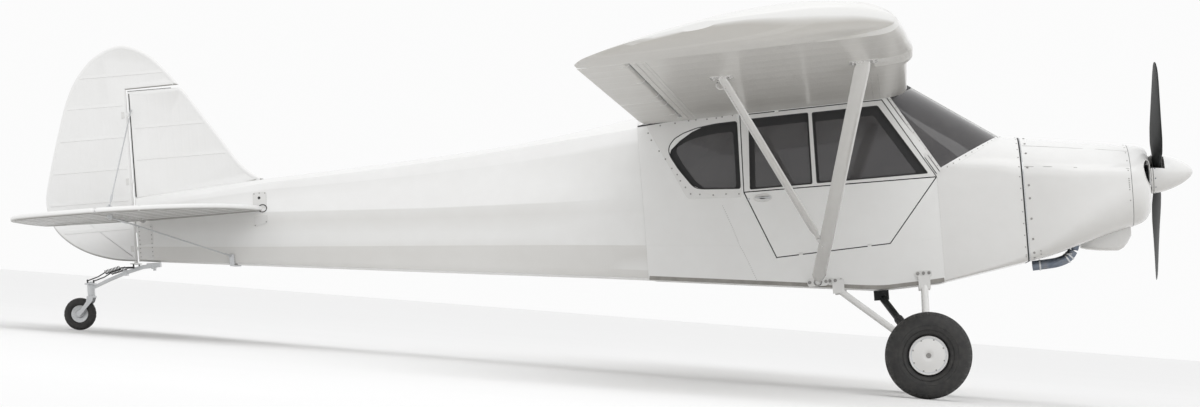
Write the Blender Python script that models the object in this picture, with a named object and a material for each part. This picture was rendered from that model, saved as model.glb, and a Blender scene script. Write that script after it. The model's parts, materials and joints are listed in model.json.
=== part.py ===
"""A high-winged, two-seat light aircraft with a tail wheel, parked on its gear.

Everything is modelled in the aircraft's own level frame: the wing root's leading
edge is at the origin, +X is forward, +Y is to port and +Z is up.  An empty called
stance holds the whole aircraft.  It is turned nose up by the angle at which the
three tyres stand on the ground, and moved so that the ground is at z = 0.
"""

import math

import bmesh
import bpy
from mathutils import Matrix, Vector

# Fits between pieces
GAP = 0.0003
PIN_GAP = 0.0006
SEAM = 0.0065
STARBOARD, PORT = -1, 1

# Wheels and the stance
MAIN_RADIUS, MAIN_WIDTH, MAIN_TRACK = 0.258, 0.190, 1.86
MAIN_AXLE = (0.0, -1.627)
RIM_RADIUS = 0.117
AXLE_INNER_Y = 0.720
TAIL_RADIUS, TAIL_WIDTH = 0.102, 0.062
TAIL_AXLE = (-5.280, -0.967)
TAIL_RIM = 0.054

# Fuselage: the side view's lines, as (x, z), and the plan's half widths
BELLY = [(-4.872, -0.668), (-4.77, -0.680), (-3.207, -0.862), (-1.963, -1.004),
         (-0.694, -1.159), (-0.258, -1.211), (0.108, -1.197), (0.66, -1.105)]
DECK = [(-4.872, -0.262), (-4.70, -0.2511), (-4.40, -0.232), (-4.0, -0.211), (-3.58, -0.194),
        (-3.20, -0.178), (-2.83, -0.158), (-2.456, -0.132), (-2.168, -0.098), (-1.90, -0.060),
        (-1.66, -0.020)]
HALF_WIDTH = [(-4.872, 0.030), (-4.40, 0.088), (-4.00, 0.136), (-3.18, 0.215),
              (-2.168, 0.305), (-1.66, 0.335), (-1.00, 0.355), (0.66, 0.355)]
SHELL = 0.020
CABIN_REAR, DOOR_FRONT, FIREWALL = -1.660, 0.140, 0.660
FLOOR_Z = -1.000
BOWL_SEAM, BOWL_FRONT = 1.310, 1.439
THRUST_Z = -0.628
WINDSHIELD_BASE = ((0.164, -0.500), (0.533, -0.322))
WINDSHIELD_TOP_SIDE, WINDSHIELD_TOP_CENTRE = (-0.135, -0.048), (0.0, 0.040)

# Wing: its flat underside is a plane that rises forward, and slightly towards the tips
CHORD, WING_SLOPE, WING_RISE, WING_ROOT_Z = 1.622, 0.0272, 0.0035, -0.0460
INCIDENCE = math.atan(WING_SLOPE)
WING_ROOT, WING_LAST_RIB = 0.3553, 4.79
COVE_X, HINGE_X = -1.362, -1.4005
FLAP_SPAN, AILERON_SPAN = (0.60, 2.10), (2.10, 4.76)
# Upper and lower surfaces in percent of the chord
UPPER = [(0, 2.9), (1.25, 5.1), (2.5, 6.2), (5, 7.7), (10, 9.6), (15, 10.7), (22, 11.5),
         (30, 11.7), (40, 11.3), (52, 10.1), (64, 8.2), (76, 5.8), (84, 4.1), (92, 2.2),
         (100, 0.35)]
LOWER = [(0, 2.9), (1.25, 1.3), (2.5, 0.75), (5, 0.3), (10, 0.0), (30, 0.0), (60, 0.0),
         (84, 0.0), (100, 0.0)]

# Lift struts
STRUT_TOP_Y = 3.25
FRONT_STRUT_TOP_X, REAR_STRUT_TOP_X = -0.232, -0.985
STRUT_FOOT = (-0.629, 0.372, -1.128)
REAR_STRUT_FOOT_RATIO = 0.168
REAR_STRUT_SEAT = 0.205
FRONT_STRUT_CHORD, FRONT_STRUT_THICK = 0.084, 0.036
REAR_STRUT_CHORD, REAR_STRUT_THICK = 0.048, 0.024

# Tail
RUDDER_HINGE_X = -4.900
FIN_REAR_X = -4.879
FIN_TOP_Z = 0.408
ELEVATOR_HINGE_X, STAB_Z = -4.830, -0.402
STAB_REAR_X = -4.806
STAB_THICK, FIN_THICK = 0.034, 0.030
TAILWHEEL_PIVOT_X = -5.200

# Propeller
PROP_X, PROP_RADIUS, PROP_ROLL = 1.484, 0.93, math.radians(47.0)
SPINNER_BASE_X, SPINNER_TIP_X, SPINNER_RADIUS = 1.4445, 1.707, 0.119


def value_at(table, x):
    """Reads a straight-line table of (x, value) pairs at x."""
    rows = sorted(table)
    if x <= rows[0][0]:
        return rows[0][1]
    for (x0, v0), (x1, v1) in zip(rows, rows[1:]):
        if x <= x1:
            return v0 + (v1 - v0) * (x - x0) / (x1 - x0)
    return rows[-1][1]


def smooth(t):
    """An ease from 0 to 1."""
    t = min(1.0, max(0.0, t))
    return t * t * (3.0 - 2.0 * t)


# Making objects

def clear_scene():
    for obj in list(bpy.data.objects):
        bpy.data.objects.remove(obj)


def make_material(name, colour, roughness=0.5, metallic=0.0, alpha=1.0):
    material = bpy.data.materials.new(name)
    material.use_nodes = True
    shader = material.node_tree.nodes["Principled BSDF"]
    shader.inputs["Base Color"].default_value = (*colour, 1.0)
    shader.inputs["Roughness"].default_value = roughness
    shader.inputs["Metallic"].default_value = metallic
    shader.inputs["Alpha"].default_value = alpha
    material.diffuse_color = (*colour, alpha)
    return material


class Pivot:
    """An empty on a joint's axis, which carries the pieces that turn about it."""

    def __init__(self, name, point, parent=None):
        self.point = Vector(point)
        self.empty = bpy.data.objects.new(name, None)
        bpy.context.collection.objects.link(self.empty)
        if parent:
            self.empty.parent = parent.empty
            self.empty.location = self.point - parent.point


def put(name, points, faces, material, pivot, smooth_angle=None):
    """Makes a mesh object from points in the aircraft's frame, hung on a pivot."""
    mesh = bpy.data.meshes.new(name)
    local = [tuple(Vector(point) - pivot.point) for point in points]
    mesh.from_pydata(local, [], faces)
    bm = bmesh.new()
    bm.from_mesh(mesh)
    bmesh.ops.remove_doubles(bm, verts=bm.verts, dist=1e-6)
    bmesh.ops.recalc_face_normals(bm, faces=bm.faces)
    bm.to_mesh(mesh)
    bm.free()
    mesh.materials.append(material)
    obj = bpy.data.objects.new(name, mesh)
    bpy.context.collection.objects.link(obj)
    obj.parent = pivot.empty
    if smooth_angle:
        mesh.shade_smooth()
        mesh.set_sharp_from_angle(angle=math.radians(smooth_angle))
    return obj


def combine(obj, other, operation):
    """Adds a Boolean modifier, and keeps the other mesh as a guide only."""
    modifier = obj.modifiers.new(other.name, "BOOLEAN")
    modifier.operation = operation
    modifier.object = other
    modifier.solver = "EXACT"
    other.hide_render = True
    other.display_type = "WIRE"
    return obj


def cut(obj, *cutters):
    for cutter in cutters:
        combine(obj, cutter, "DIFFERENCE")
    return obj


def fuse(obj, *others):
    for other in others:
        combine(obj, other, "UNION")
    return obj


# Mesh shapes, each returned as (points, faces)

def loft(rings):
    """A closed body through rings of equal length, with flat ends."""
    count = len(rings[0])
    points = [point for ring in rings for point in ring]
    faces = []
    for row in range(len(rings) - 1):
        base = row * count
        for i in range(count):
            j = (i + 1) % count
            faces.append((base + i, base + j, base + count + j, base + count + i))
    faces.append(tuple(range(count)))
    faces.append(tuple(range(len(points) - count, len(points))))
    return points, faces


def pipe(outer, inner):
    """A hollow body, open at both ends, between outer and inner rings."""
    count, rows = len(outer[0]), len(outer)
    points = [point for ring in outer for point in ring]
    points += [point for ring in inner for point in ring]
    offset = count * rows
    faces = []
    for row in range(rows - 1):
        for i in range(count):
            j = (i + 1) % count
            a, b = row * count + i, row * count + j
            faces.append((a, b, b + count, a + count))
            faces.append((offset + a, offset + a + count, offset + b + count, offset + b))
    for row in (0, rows - 1):
        for i in range(count):
            j = (i + 1) % count
            a, b = row * count + i, row * count + j
            faces.append((a, b, offset + b, offset + a))
    return points, faces


def sheet(front, back):
    """A solid between two grids of points of the same size."""
    rows, columns = len(front), len(front[0])
    points = [p for row in front for p in row] + [p for row in back for p in row]
    offset = rows * columns
    faces = []
    for r in range(rows - 1):
        for c in range(columns - 1):
            a = r * columns + c
            quad = (a, a + 1, a + columns + 1, a + columns)
            faces.append(quad)
            faces.append(tuple(offset + i for i in reversed(quad)))
    edge = [c for c in range(columns)]
    edge += [r * columns + columns - 1 for r in range(1, rows)]
    edge += [(rows - 1) * columns + c for c in range(columns - 2, -1, -1)]
    edge += [r * columns for r in range(rows - 2, 0, -1)]
    for i, a in enumerate(edge):
        b = edge[(i + 1) % len(edge)]
        faces.append((a, b, offset + b, offset + a))
    return points, faces


def prism_y(outline, y0, y1):
    """An (x, z) outline drawn out from y0 to y1."""
    return loft([[(x, y, z) for x, z in outline] for y in (y0, y1)])


def box(x0, x1, y0, y1, z0, z1):
    return prism_y([(x0, z0), (x1, z0), (x1, z1), (x0, z1)], y0, y1)


def basis(direction):
    """Two unit vectors square to a direction, and the direction."""
    d = Vector(direction).normalized()
    helper = Vector((0, 0, 1)) if abs(d.z) < 0.9 else Vector((1, 0, 0))
    a = helper.cross(d).normalized()
    return a, d.cross(a).normalized(), d


def circle(centre, direction, radius, sides=16, squash=1.0, turn=0.0):
    a, b, _ = basis(direction)
    centre = Vector(centre)
    ring = []
    for i in range(sides):
        angle = 2 * math.pi * i / sides + turn
        ring.append(tuple(centre + a * radius * math.cos(angle)
                          + b * radius * squash * math.sin(angle)))
    return ring


def rod(start, end, radius, sides=16, end_radius=None):
    direction = Vector(end) - Vector(start)
    last = radius if end_radius is None else end_radius
    return loft([circle(start, direction, radius, sides), circle(end, direction, last, sides)])


def tube(path, radius, sides=12):
    """A round bar along a path of points."""
    path = [Vector(p) for p in path]
    rings = []
    for i, point in enumerate(path):
        before = path[max(0, i - 1)]
        after = path[min(len(path) - 1, i + 1)]
        rings.append(circle(point, after - before, radius, sides))
    return loft(rings)


def lathe(profile, centre, direction, sides=32, closed=False):
    """Turns (radius, along) points round an axis; radius 0 makes a pole."""
    a, b, d = basis(direction)
    centre = Vector(centre)
    points, rows = [], []
    for radius, along in profile:
        row = []
        if radius == 0:
            row = [len(points)] * sides
            points.append(tuple(centre + d * along))
        else:
            for i in range(sides):
                angle = 2 * math.pi * i / sides
                row.append(len(points))
                points.append(tuple(centre + d * along + a * radius * math.cos(angle)
                                    + b * radius * math.sin(angle)))
        rows.append(row)
    faces = []
    pairs = list(zip(rows, rows[1:]))
    if closed:
        pairs.append((rows[-1], rows[0]))
    for low, high in pairs:
        for i in range(sides):
            j = (i + 1) % sides
            corners = (low[i], low[j], high[j], high[i])
            face = tuple(dict.fromkeys(corners))
            if len(face) > 2:
                faces.append(face)
    return points, faces


def resample(curve, count):
    """Points at even steps along a smooth curve through the given points."""
    pts = [Vector(p) for p in curve]
    fine = []
    for i in range(len(pts) - 1):
        p0, p1 = pts[max(0, i - 1)], pts[i]
        p2, p3 = pts[i + 1], pts[min(len(pts) - 1, i + 2)]
        for k in range(12):
            t = k / 12
            fine.append(0.5 * ((2 * p1) + (p2 - p0) * t
                               + (2 * p0 - 5 * p1 + 4 * p2 - p3) * t * t
                               + (3 * p1 - p0 - 3 * p2 + p3) * t ** 3))
    fine.append(pts[-1])
    lengths = [0.0]
    for a, b in zip(fine, fine[1:]):
        lengths.append(lengths[-1] + (b - a).length)
    out = []
    for k in range(count):
        target = lengths[-1] * k / (count - 1)
        i = max(1, next((n for n, d in enumerate(lengths) if d >= target - 1e-9), len(fine) - 1))
        span = lengths[i] - lengths[i - 1]
        t = (target - lengths[i - 1]) / span if span else 0.0
        out.append(tuple(fine[i - 1].lerp(fine[i], t)))
    return out


# Fuselage sections

def hull_ring(x, top, bottom, half, shoulder, corner, inset=0.0):
    """A rounded section: flat bottom, round lower corners, upright sides and a dome."""
    half, top, bottom = half - inset, top - inset, bottom + inset
    corner = max(corner - inset, 0.003)
    right = [(0.0, bottom)]
    for i in range(5):
        angle = -math.pi / 2 + math.pi / 2 * i / 4
        right.append((half - corner + corner * math.cos(angle),
                      bottom + corner + corner * math.sin(angle)))
    right.append((half, (bottom + corner + shoulder) / 2))
    for i in range(9):
        angle = math.pi / 2 * i / 8
        right.append((half * math.cos(angle) if i < 8 else 0.0,
                      shoulder + (top - shoulder) * math.sin(angle)))
    left = [(-y, z) for y, z in reversed(right[1:-1])]
    return [(x, y, z) for y, z in right + left]


# x, top, bottom, half width, shoulder, lower corner radius
BOOT_STATIONS = [(0.140, -0.306, -1.1917, 0.355, -0.4968, 0.012),
                 (0.400, -0.314, -1.1483, 0.355, -0.535, 0.020),
                 (0.533, -0.322, -1.1262, 0.355, -0.560, 0.030),
                 (0.6547, -0.3387, -1.1059, 0.355, -0.600, 0.045)]
COWL_STATIONS = [(0.6653, -0.340, -1.1037, 0.356, -0.602, 0.045),
                 (0.815, -0.362, -1.075, 0.385, -0.612, 0.090),
                 (0.98, -0.386, -1.028, 0.405, -0.630, 0.150),
                 (1.15, -0.412, -0.979, 0.400, -0.640, 0.200),
                 (1.310, -0.438, -0.938, 0.365, -0.655, 0.225)]


def boot_plane_z(x):
    """Height of the flat cut along which the windshield stands on the boot cowl."""
    (x0, z0), (x1, z1) = WINDSHIELD_BASE
    return z0 + (x - x0) * (z1 - z0) / (x1 - x0)


def boot_edge_point(turn, inset=0.0):
    """A point of the boot cowl's skin on the windshield's base line, by its turn."""
    tops = [(s[0], s[1]) for s in BOOT_STATIONS]
    shoulders = [(s[0], s[4]) for s in BOOT_STATIONS]
    low, high = 0.10, 0.60
    for _ in range(40):
        x = (low + high) / 2
        shoulder = value_at(shoulders, x)
        height = shoulder + (value_at(tops, x) - inset - shoulder) * math.sin(turn)
        if boot_plane_z(x) < height:
            low = x
        else:
            high = x
    half = value_at(HALF_WIDTH, x) - inset
    return Vector((x, half * math.cos(turn), boot_plane_z(x)))


def tail_ring(x, inset=0.0):
    """The fabric-covered rear fuselage: longerons and stringers under taut cloth."""
    half = value_at(HALF_WIDTH, x) - inset
    top = value_at(DECK, x) - inset
    bottom = value_at(BELLY, x) + inset
    # Three longerons along each side part its facets, and stringers carry the deck
    upper = value_at([(-4.872, -0.320), (-4.0, -0.242), (-3.58, -0.232), (-3.20, -0.216),
                      (-2.83, -0.196), (-2.168, -0.147), (-1.66, -0.108)], x)
    mid = value_at([(-4.872, -0.385), (-4.0, -0.430), (-2.986, -0.490), (-2.168, -0.522),
                    (-1.66, -0.537)], x)
    low = value_at([(-4.872, -0.576), (-4.149, -0.638), (-2.878, -0.733), (-1.66, -0.826)], x)
    # The widths ease to the cabin's upright sides over the last bay
    ease = smooth((x + 2.456) / 0.796)
    wide_upper, wide_mid = 0.95 + 0.035 * ease, 1.03 - 0.03 * ease
    wide_low, wide_bottom = 1.02 - 0.02 * ease, 0.93 + 0.055 * ease
    right = [(0.0, bottom), (wide_bottom * half, bottom + 0.012), (wide_low * half, low),
             (wide_mid * half, mid), (wide_upper * half, upper),
             (0.62 * half, top - 0.25 * (top - upper)), (0.25 * half, top - 0.02 * (top - upper)),
             (0.0, top)]
    left = [(-y, z) for y, z in reversed(right[1:-1])]
    return [(x, y, z) for y, z in right + left]


def tail_half_at(x, z):
    """Half width of the rear fuselage at a point of its side."""
    ring = [(p[1], p[2]) for p in tail_ring(x) if p[1] >= 0]
    for (y0, z0), (y1, z1) in zip(ring, ring[1:]):
        if z0 <= z <= z1 and z1 > z0:
            return y0 + (y1 - y0) * (z - z0) / (z1 - z0)
    return 0.0


# Wing

def surface(table, percent):
    return value_at(table, percent) / 100.0


def wing_point(percent, upper):
    """A point (x, z) of the root's section, turned by the incidence."""
    height = surface(UPPER if upper else LOWER, percent) * CHORD
    along = percent / 100.0 * CHORD
    x = -along * math.cos(INCIDENCE) + height * math.sin(INCIDENCE)
    z = -along * math.sin(INCIDENCE) + height * math.cos(INCIDENCE)
    return x, z + WING_ROOT_Z


def rise_at(y):
    """How far the wing has risen at a distance from the centreline."""
    return WING_RISE * (abs(y) - WING_ROOT)


def raised(shape):
    """Lifts a shape with the wing, which rises slightly towards its tips."""
    points, faces = shape
    return [(x, y, z + rise_at(y)) for x, y, z in points], faces


def wing_top_z(x):
    percent = min(100.0, max(0.0, -x / CHORD * 100.0))
    return wing_point(percent, True)[1]


def wing_bottom_z(x, y=WING_ROOT):
    return WING_ROOT_Z + x * WING_SLOPE + rise_at(y)


PERCENTS_UP = [p for p, _ in UPPER]
PERCENTS_LOW = [p for p, _ in LOWER]

# The tip bow seen from above: y, leading x, trailing x, share of the way to the bow
TIP = [(4.90, -0.100, -1.620, 0.18), (5.04, -0.225, -1.585, 0.40), (5.13, -0.385, -1.542, 0.58),
       (5.215, -0.575, -1.462, 0.75), (5.29, -0.705, -1.355, 0.87), (5.335, -0.790, -1.255, 0.94),
       (5.37, -0.900, -1.075, 1.0)]


def tip_section(y, lead, trail, share):
    """A section of the rounded tip, drawn in to the bow at its ends and outward."""
    ring = []
    power = 3.2 - 1.2 * share
    outward = math.sqrt(1.0 - (0.985 * share) ** 2)
    for upper, percents in ((True, PERCENTS_UP), (False, list(reversed(PERCENTS_LOW[1:-1])))):
        for percent in percents:
            along = lead + (trail - lead) * percent / 100.0
            full = min(100.0, max(0.0, -along / CHORD * 100.0))
            top, bottom = wing_point(full, True)[1], wing_point(full, False)[1]
            bow = bottom + 0.62 * (top - bottom)
            ends = abs(percent / 50.0 - 1.0)
            thick = (1.0 - ends ** power) ** (1.0 / power) * outward
            if upper:
                z = bow + (top - bow) * thick + 0.004
            else:
                z = bow + (bottom - bow) * thick - 0.004
            ring.append((along, y, z))
    return ring


def wing_ring(y):
    """A section of the straight wing, with the landing light's swelling in the nose."""
    bulge = 0.032 * smooth((y - 2.45) / 0.35) * smooth((4.15 - y) / 0.9)
    sweep = -0.040 * (max(0.0, y - 4.0) / 0.79) ** 1.5
    ring = []
    for upper, percents in ((True, PERCENTS_UP), (False, list(reversed(PERCENTS_LOW[1:-1])))):
        for percent in percents:
            x, z = wing_point(percent, upper)
            near = max(0.0, 1.0 - percent / 12.0)
            ring.append((x + (bulge + sweep) * near, y, z))
    return ring


def build_wing(side, pivot, paint, name):
    stations = [WING_ROOT, 1.2, 2.2, 2.45, 2.62, 2.80, 3.25, 3.7, 4.15, 4.45, WING_LAST_RIB]
    rings = [wing_ring(y) for y in stations]
    rings += [tip_section(*row) for row in TIP]
    rings = [[(x, side * y, z) for x, y, z in ring] for ring in rings]
    wing = put(name, *raised(loft(rings)), paint, pivot, 40)
    bay = [(COVE_X, -0.30), (-1.75, -0.30), (-1.75, 0.20), (COVE_X, 0.20)]
    span = sorted((side * FLAP_SPAN[0], side * AILERON_SPAN[1]))
    cutter = put(name + "_bay", *prism_y(bay, *span), paint, pivot)
    return cut(wing, cutter)


def trailing_section(y):
    """The section of a flap or aileron: a round nose on the hinge line and a thin tail."""
    top = wing_top_z(HINGE_X)
    bottom = wing_bottom_z(HINGE_X)
    centre_z, radius = (top + bottom) / 2, (top - bottom) / 2
    ring = []
    for i in range(9):
        angle = -math.pi / 2 + math.pi * i / 8
        ring.append((HINGE_X + radius * math.cos(angle), y, centre_z + radius * math.sin(angle)))
    tail = wing_point(100, False)
    ring.append((-1.52, y, wing_top_z(-1.52)))
    ring.append((tail[0], y, tail[1] + 0.0065))
    ring.append((tail[0], y, tail[1] + 0.0005))
    ring.append((-1.52, y, wing_bottom_z(-1.52)))
    return ring


HINGE_Z = (wing_top_z(HINGE_X) + wing_bottom_z(HINGE_X)) / 2
SURFACE_RADIUS = (wing_top_z(HINGE_X) - wing_bottom_z(HINGE_X)) / 2


def lug_y(name, pivot, y, x_from, axis_x, axis_z, radius, half, paint, height=None):
    """A hinge lug: a plate from a rear face, with a round eye on a spanwise hinge line."""
    height = radius if height is None else height
    outline = [(x_from, axis_z - height), (x_from, axis_z + height)]
    for i in range(9):
        angle = math.pi / 2 + math.pi * i / 8
        outline.append((axis_x + radius * math.cos(angle), axis_z + radius * math.sin(angle)))
    return put(name, *prism_y(outline, y - half, y + half), paint, pivot)


def build_trailing(side, span, hinges, name, pivot, paint):
    """A flap or aileron with a slot in its nose for each hinge lug."""
    y0, y1 = span[0] + SEAM, span[1] - SEAM
    stations = sorted((side * y0, side * y1))
    rings = [trailing_section(y) for y in stations]
    obj = put(name, *raised(loft(rings)), paint, pivot, 40)
    for k, y in enumerate(hinges):
        half = HINGE_HALF + PIN_GAP
        slot = put(f"{name}_slot{k}",
                   *box(HINGE_X - 0.060, HINGE_X + 0.06, side * y - half, side * y + half,
                        HINGE_Z - 0.06, HINGE_Z + 0.06), paint, pivot)
        cut(obj, slot)
        pin = put(f"{name}_pin{k}",
                  *raised(rod((HINGE_X, side * y - 0.03, HINGE_Z),
                              (HINGE_X, side * y + 0.03, HINGE_Z), 0.0055, 12)), paint, pivot)
        fuse(obj, pin)
    return obj


HINGE_HALF = 0.012
FLAP_HINGES, AILERON_HINGES = (0.95, 1.75), (2.45, 3.50, 4.55)


def wing_lugs(wing, side, paint, pivot):
    """The hinge brackets that stand out of the wing's rear face, with bored eyes."""
    for k, y in enumerate(FLAP_HINGES + AILERON_HINGES):
        lug = lug_y(f"{wing.name}_lug{k}", pivot, side * y, COVE_X + 0.006, HINGE_X,
                    HINGE_Z + rise_at(y), 0.016, HINGE_HALF, paint, 0.016)
        bore = put(f"{wing.name}_eye{k}",
                   *raised(rod((HINGE_X, side * y - 0.05, HINGE_Z),
                               (HINGE_X, side * y + 0.05, HINGE_Z), 0.0055 + PIN_GAP, 12)),
                   paint, pivot)
        cut(lug, bore)
        fuse(wing, lug)


# Struts and gear

def streamline(centre, chord_dir, thick_dir, chord, thick):
    """A streamlined bar's section: round nose, fine tail."""
    shape = [(0.50, 0.0), (0.42, 0.32), (0.22, 0.50), (-0.05, 0.47), (-0.32, 0.25), (-0.50, 0.04),
             (-0.50, -0.04), (-0.32, -0.25), (-0.05, -0.47), (0.22, -0.50), (0.42, -0.32)]
    centre, c, t = Vector(centre), Vector(chord_dir), Vector(thick_dir)
    return [tuple(centre + c * chord * a + t * thick * b) for a, b in shape]


def build_strut(name, foot, top, chord, thick, pivot, paint):
    """A lift strut between two points, its ends cut level with the wing."""
    foot, top = Vector(foot), Vector(top)
    along = (top - foot).normalized()
    thick_dir = along.cross(Vector((1, 0, 0))).normalized()
    chord_dir = thick_dir.cross(along).normalized()
    if chord_dir.x < 0:
        chord_dir = -chord_dir
    rings = [streamline(foot, chord_dir, thick_dir, chord * 0.55, thick * 0.8),
             streamline(foot + along * 0.10, chord_dir, thick_dir, chord, thick),
             streamline(top - along * 0.10, chord_dir, thick_dir, chord, thick)]
    flat = []
    for point in streamline(top, chord_dir, thick_dir, chord * 0.85, thick * 0.9):
        end = Vector(point)
        for _ in range(3):
            limit = wing_bottom_z(end.x, end.y) - GAP
            end = end + along * ((limit - end.z) / along.z)
        flat.append(tuple(end))
    rings.append(flat)
    return put(name, *loft(rings), paint, pivot, 40)


def main():
    clear_scene()
    white = make_material("paint_white", (0.86, 0.86, 0.84), 0.28)
    fabric = make_material("paint_on_fabric", (0.84, 0.84, 0.82), 0.36)
    glass = make_material("glass_tinted", (0.10, 0.10, 0.11), 0.08, 0.0, 0.5)
    tyre_rubber = make_material("tyre", (0.035, 0.034, 0.034), 0.85)
    steel = make_material("steel_blued", (0.20, 0.22, 0.27), 0.42, 0.8)
    alloy = make_material("aluminium", (0.66, 0.67, 0.68), 0.35, 0.9)
    black = make_material("black_paint", (0.03, 0.03, 0.03), 0.45)
    iron = make_material("engine_iron", (0.18, 0.18, 0.18), 0.6, 0.6)
    hide = make_material("seat_leather", (0.10, 0.09, 0.085), 0.55)

    stance = Pivot("stance", (0, 0, 0))
    root = stance

    build_cabin(root, white, fabric, glass, black, hide)
    build_nose(root, white, steel, iron, alloy, black)
    build_rear(root, fabric, white)
    for side, word in ((STARBOARD, "right"), (PORT, "left")):
        build_side(side, word, stance, white, fabric, alloy, tyre_rubber, steel)
    build_gear_centre(root, black, steel)
    build_tail(stance, white, fabric, alloy, black, steel)
    build_tailwheel(stance, alloy, tyre_rubber, steel, black)
    build_propeller(stance, black, white)
    build_doors(stance, white, glass)
    stand(stance)


# Cabin

def side_stations(x0, x1, columns):
    """Even steps along the cabin's side, with one at the bend of its plan."""
    bend = -1.0
    stations = []
    for a, b in ((x0, bend), (bend, x1)):
        steps = max(1, round(columns * (b - a) / (x1 - x0)))
        stations += [a + (b - a) * k / steps for k in range(steps)]
    return stations + [x1]


def side_panel(side, name, pivot, paint):
    """One side of the cabin, from the boot cowl to the rear fuselage."""
    outer, inner = [], []
    for x in side_stations(CABIN_REAR + GAP, DOOR_FRONT - GAP, 12):
        half = value_at(HALF_WIDTH, x)
        low = value_at(BELLY, x)
        high = min(roof_side_z(x), post_limit_z(x) - 0.002)
        outer.append([(x, side * half, low), (x, side * half, high)])
        inner.append([(x, side * (half - SHELL), low), (x, side * (half - SHELL), high)])
    return put(name, *sheet(outer, inner), paint, pivot)


def roof_side_z(x):
    """Top edge of the cabin's side, just under the top of the wing's root."""
    if x > WINDSHIELD_TOP_SIDE[0]:
        return WINDSHIELD_TOP_SIDE[1] + 0.02
    ease = smooth((WINDSHIELD_TOP_SIDE[0] - x) / 0.30)
    return -0.030 + (wing_top_z(x) - 0.012 + 0.030) * ease


def post_limit_z(x):
    """Height of the windshield's side edge over the side panel's front part."""
    (x0, z0), (x1, z1) = WINDSHIELD_TOP_SIDE, WINDSHIELD_BASE[0]
    if x <= x0:
        return 9.0
    return z0 + (x - x0) * (z1 - z0) / (x1 - x0)


DOOR_TOP = ((-1.022, -0.0835), (-0.158, -0.0605))
DOOR_BOTTOM = ((-0.867, -0.962), (-0.175, -0.931))
DOOR_UPPER = [(-1.034, -0.5490), (0.134, -0.5490), DOOR_TOP[1], DOOR_TOP[0]]
DOOR_LOWER = [(-1.032, -0.5555), (0.131, -0.5555), DOOR_BOTTOM[1], DOOR_BOTTOM[0]]
WINDOW_REAR = [(-0.999, -0.539), (-0.616, -0.535), (-0.609, -0.098), (-0.974, -0.108)]
WINDOW_FRONT = [(-0.590, -0.533), (0.090, -0.527), (-0.184, -0.090), (-0.586, -0.100)]
QUARTER = [(-1.304, -0.507), (-1.056, -0.530), (-1.046, -0.118), (-1.150, -0.114),
           (-1.243, -0.127), (-1.326, -0.158), (-1.403, -0.205), (-1.463, -0.257),
           (-1.483, -0.317), (-1.468, -0.385), (-1.400, -0.462)]
LONG_PANE = [(-1.012, -0.5455), (0.104, -0.5410), (-0.187, -0.078), (-0.986, -0.094)]
# The door hinges' places along the cabin, and the axes' depth inside the door's outer edge
UPPER_HINGES, LOWER_HINGES = (-0.30, -0.80), (-0.30, -0.72)
DOOR_AXIS_INSET, DOOR_AXIS_Y = 0.002, -0.353


def door_axis(edge, x, inward):
    """A point of a door's hinge axis, a little inside its outer edge."""
    return Vector((x, DOOR_AXIS_Y, value_at(edge, x) + inward * DOOR_AXIS_INSET))


def door_hinge_rod(edge, x, inward, half, radius):
    start = door_axis(edge, x - half, inward)
    return rod(start, door_axis(edge, x + half, inward), radius, 12)


def grow(outline, margin):
    """Moves each edge of a convex outline outward by a margin."""
    area = sum(a[0] * b[1] - b[0] * a[1] for a, b in zip(outline, outline[1:] + outline[:1]))
    turn = 1.0 if area > 0 else -1.0
    count, out = len(outline), []
    for i in range(count):
        p0, p1, p2 = (Vector(outline[(i + k) % count]) for k in (-1, 0, 1))
        d1, d2 = (p1 - p0).normalized(), (p2 - p1).normalized()
        n1 = Vector((d1.y, -d1.x)) * turn
        n2 = Vector((d2.y, -d2.x)) * turn
        bisector = (n1 + n2).normalized()
        out.append(tuple(p1 + bisector * margin / max(0.3, bisector.dot(n1))))
    return out


def pane(name, side, outline, pivot, glass, offset):
    """A flat pane that lies against the inside of the skin, over an opening."""
    outer, inner = [], []
    for x, z in outline:
        half = value_at(HALF_WIDTH, x) - offset
        outer.append((x, side * half, z))
        inner.append((x, side * (half - 0.004), z))
    return put(name, *loft([outer, inner]), glass, pivot)


def build_cabin(root, white, fabric, glass, black, hide):
    # Belly: a slab from the bottom skin up to the flat floor, and the footwell's floor
    edge = SHELL + GAP
    outline = [(DOOR_FRONT - GAP, FLOOR_Z - 0.020), (0.630, FLOOR_Z - 0.020), (0.630, FLOOR_Z),
               (-1.0, FLOOR_Z), (CABIN_REAR + GAP, FLOOR_Z),
               (CABIN_REAR + GAP, value_at(BELLY, CABIN_REAR)), (-1.0, value_at(BELLY, -1.0)),
               (-0.694, -1.159), (-0.258, -1.211), (0.108, -1.197),
               (DOOR_FRONT - GAP, value_at(BELLY, DOOR_FRONT))]
    rings = [[(x, sign * (value_at(HALF_WIDTH, x) - edge), z) for x, z in outline]
             for sign in (-1, 1)]
    put("cabin_floor", *loft(rings), white, root)

    for side, word in ((STARBOARD, "right"), (PORT, "left")):
        panel = side_panel(side, "cabin_side_" + word, root, fabric)
        reach = sorted((side * 0.25, side * 0.45))
        if side == STARBOARD:
            door = [DOOR_TOP[0], DOOR_TOP[1], (0.134, -0.552), DOOR_BOTTOM[1], DOOR_BOTTOM[0],
                    (-1.034, -0.552)]
            holes = [grow(door, SEAM), QUARTER]
        else:
            holes = [WINDOW_REAR, WINDOW_FRONT, QUARTER]
        for k, hole in enumerate(holes):
            cutter = put(f"hole_{word}_{k}", *prism_y(hole, *reach), fabric, root)
            cut(panel, cutter)
        if side == STARBOARD:
            door_lugs(panel, root, fabric)
        pane(f"quarter_glass_{word}", side, grow(QUARTER, 0.012), root, glass, SHELL + GAP)
    pane("side_glass_left", PORT, LONG_PANE, root, glass, SHELL + GAP)

    build_roof(root, white, glass)
    build_boot(root, white, glass, black)
    build_seats(root, hide, black)


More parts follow.
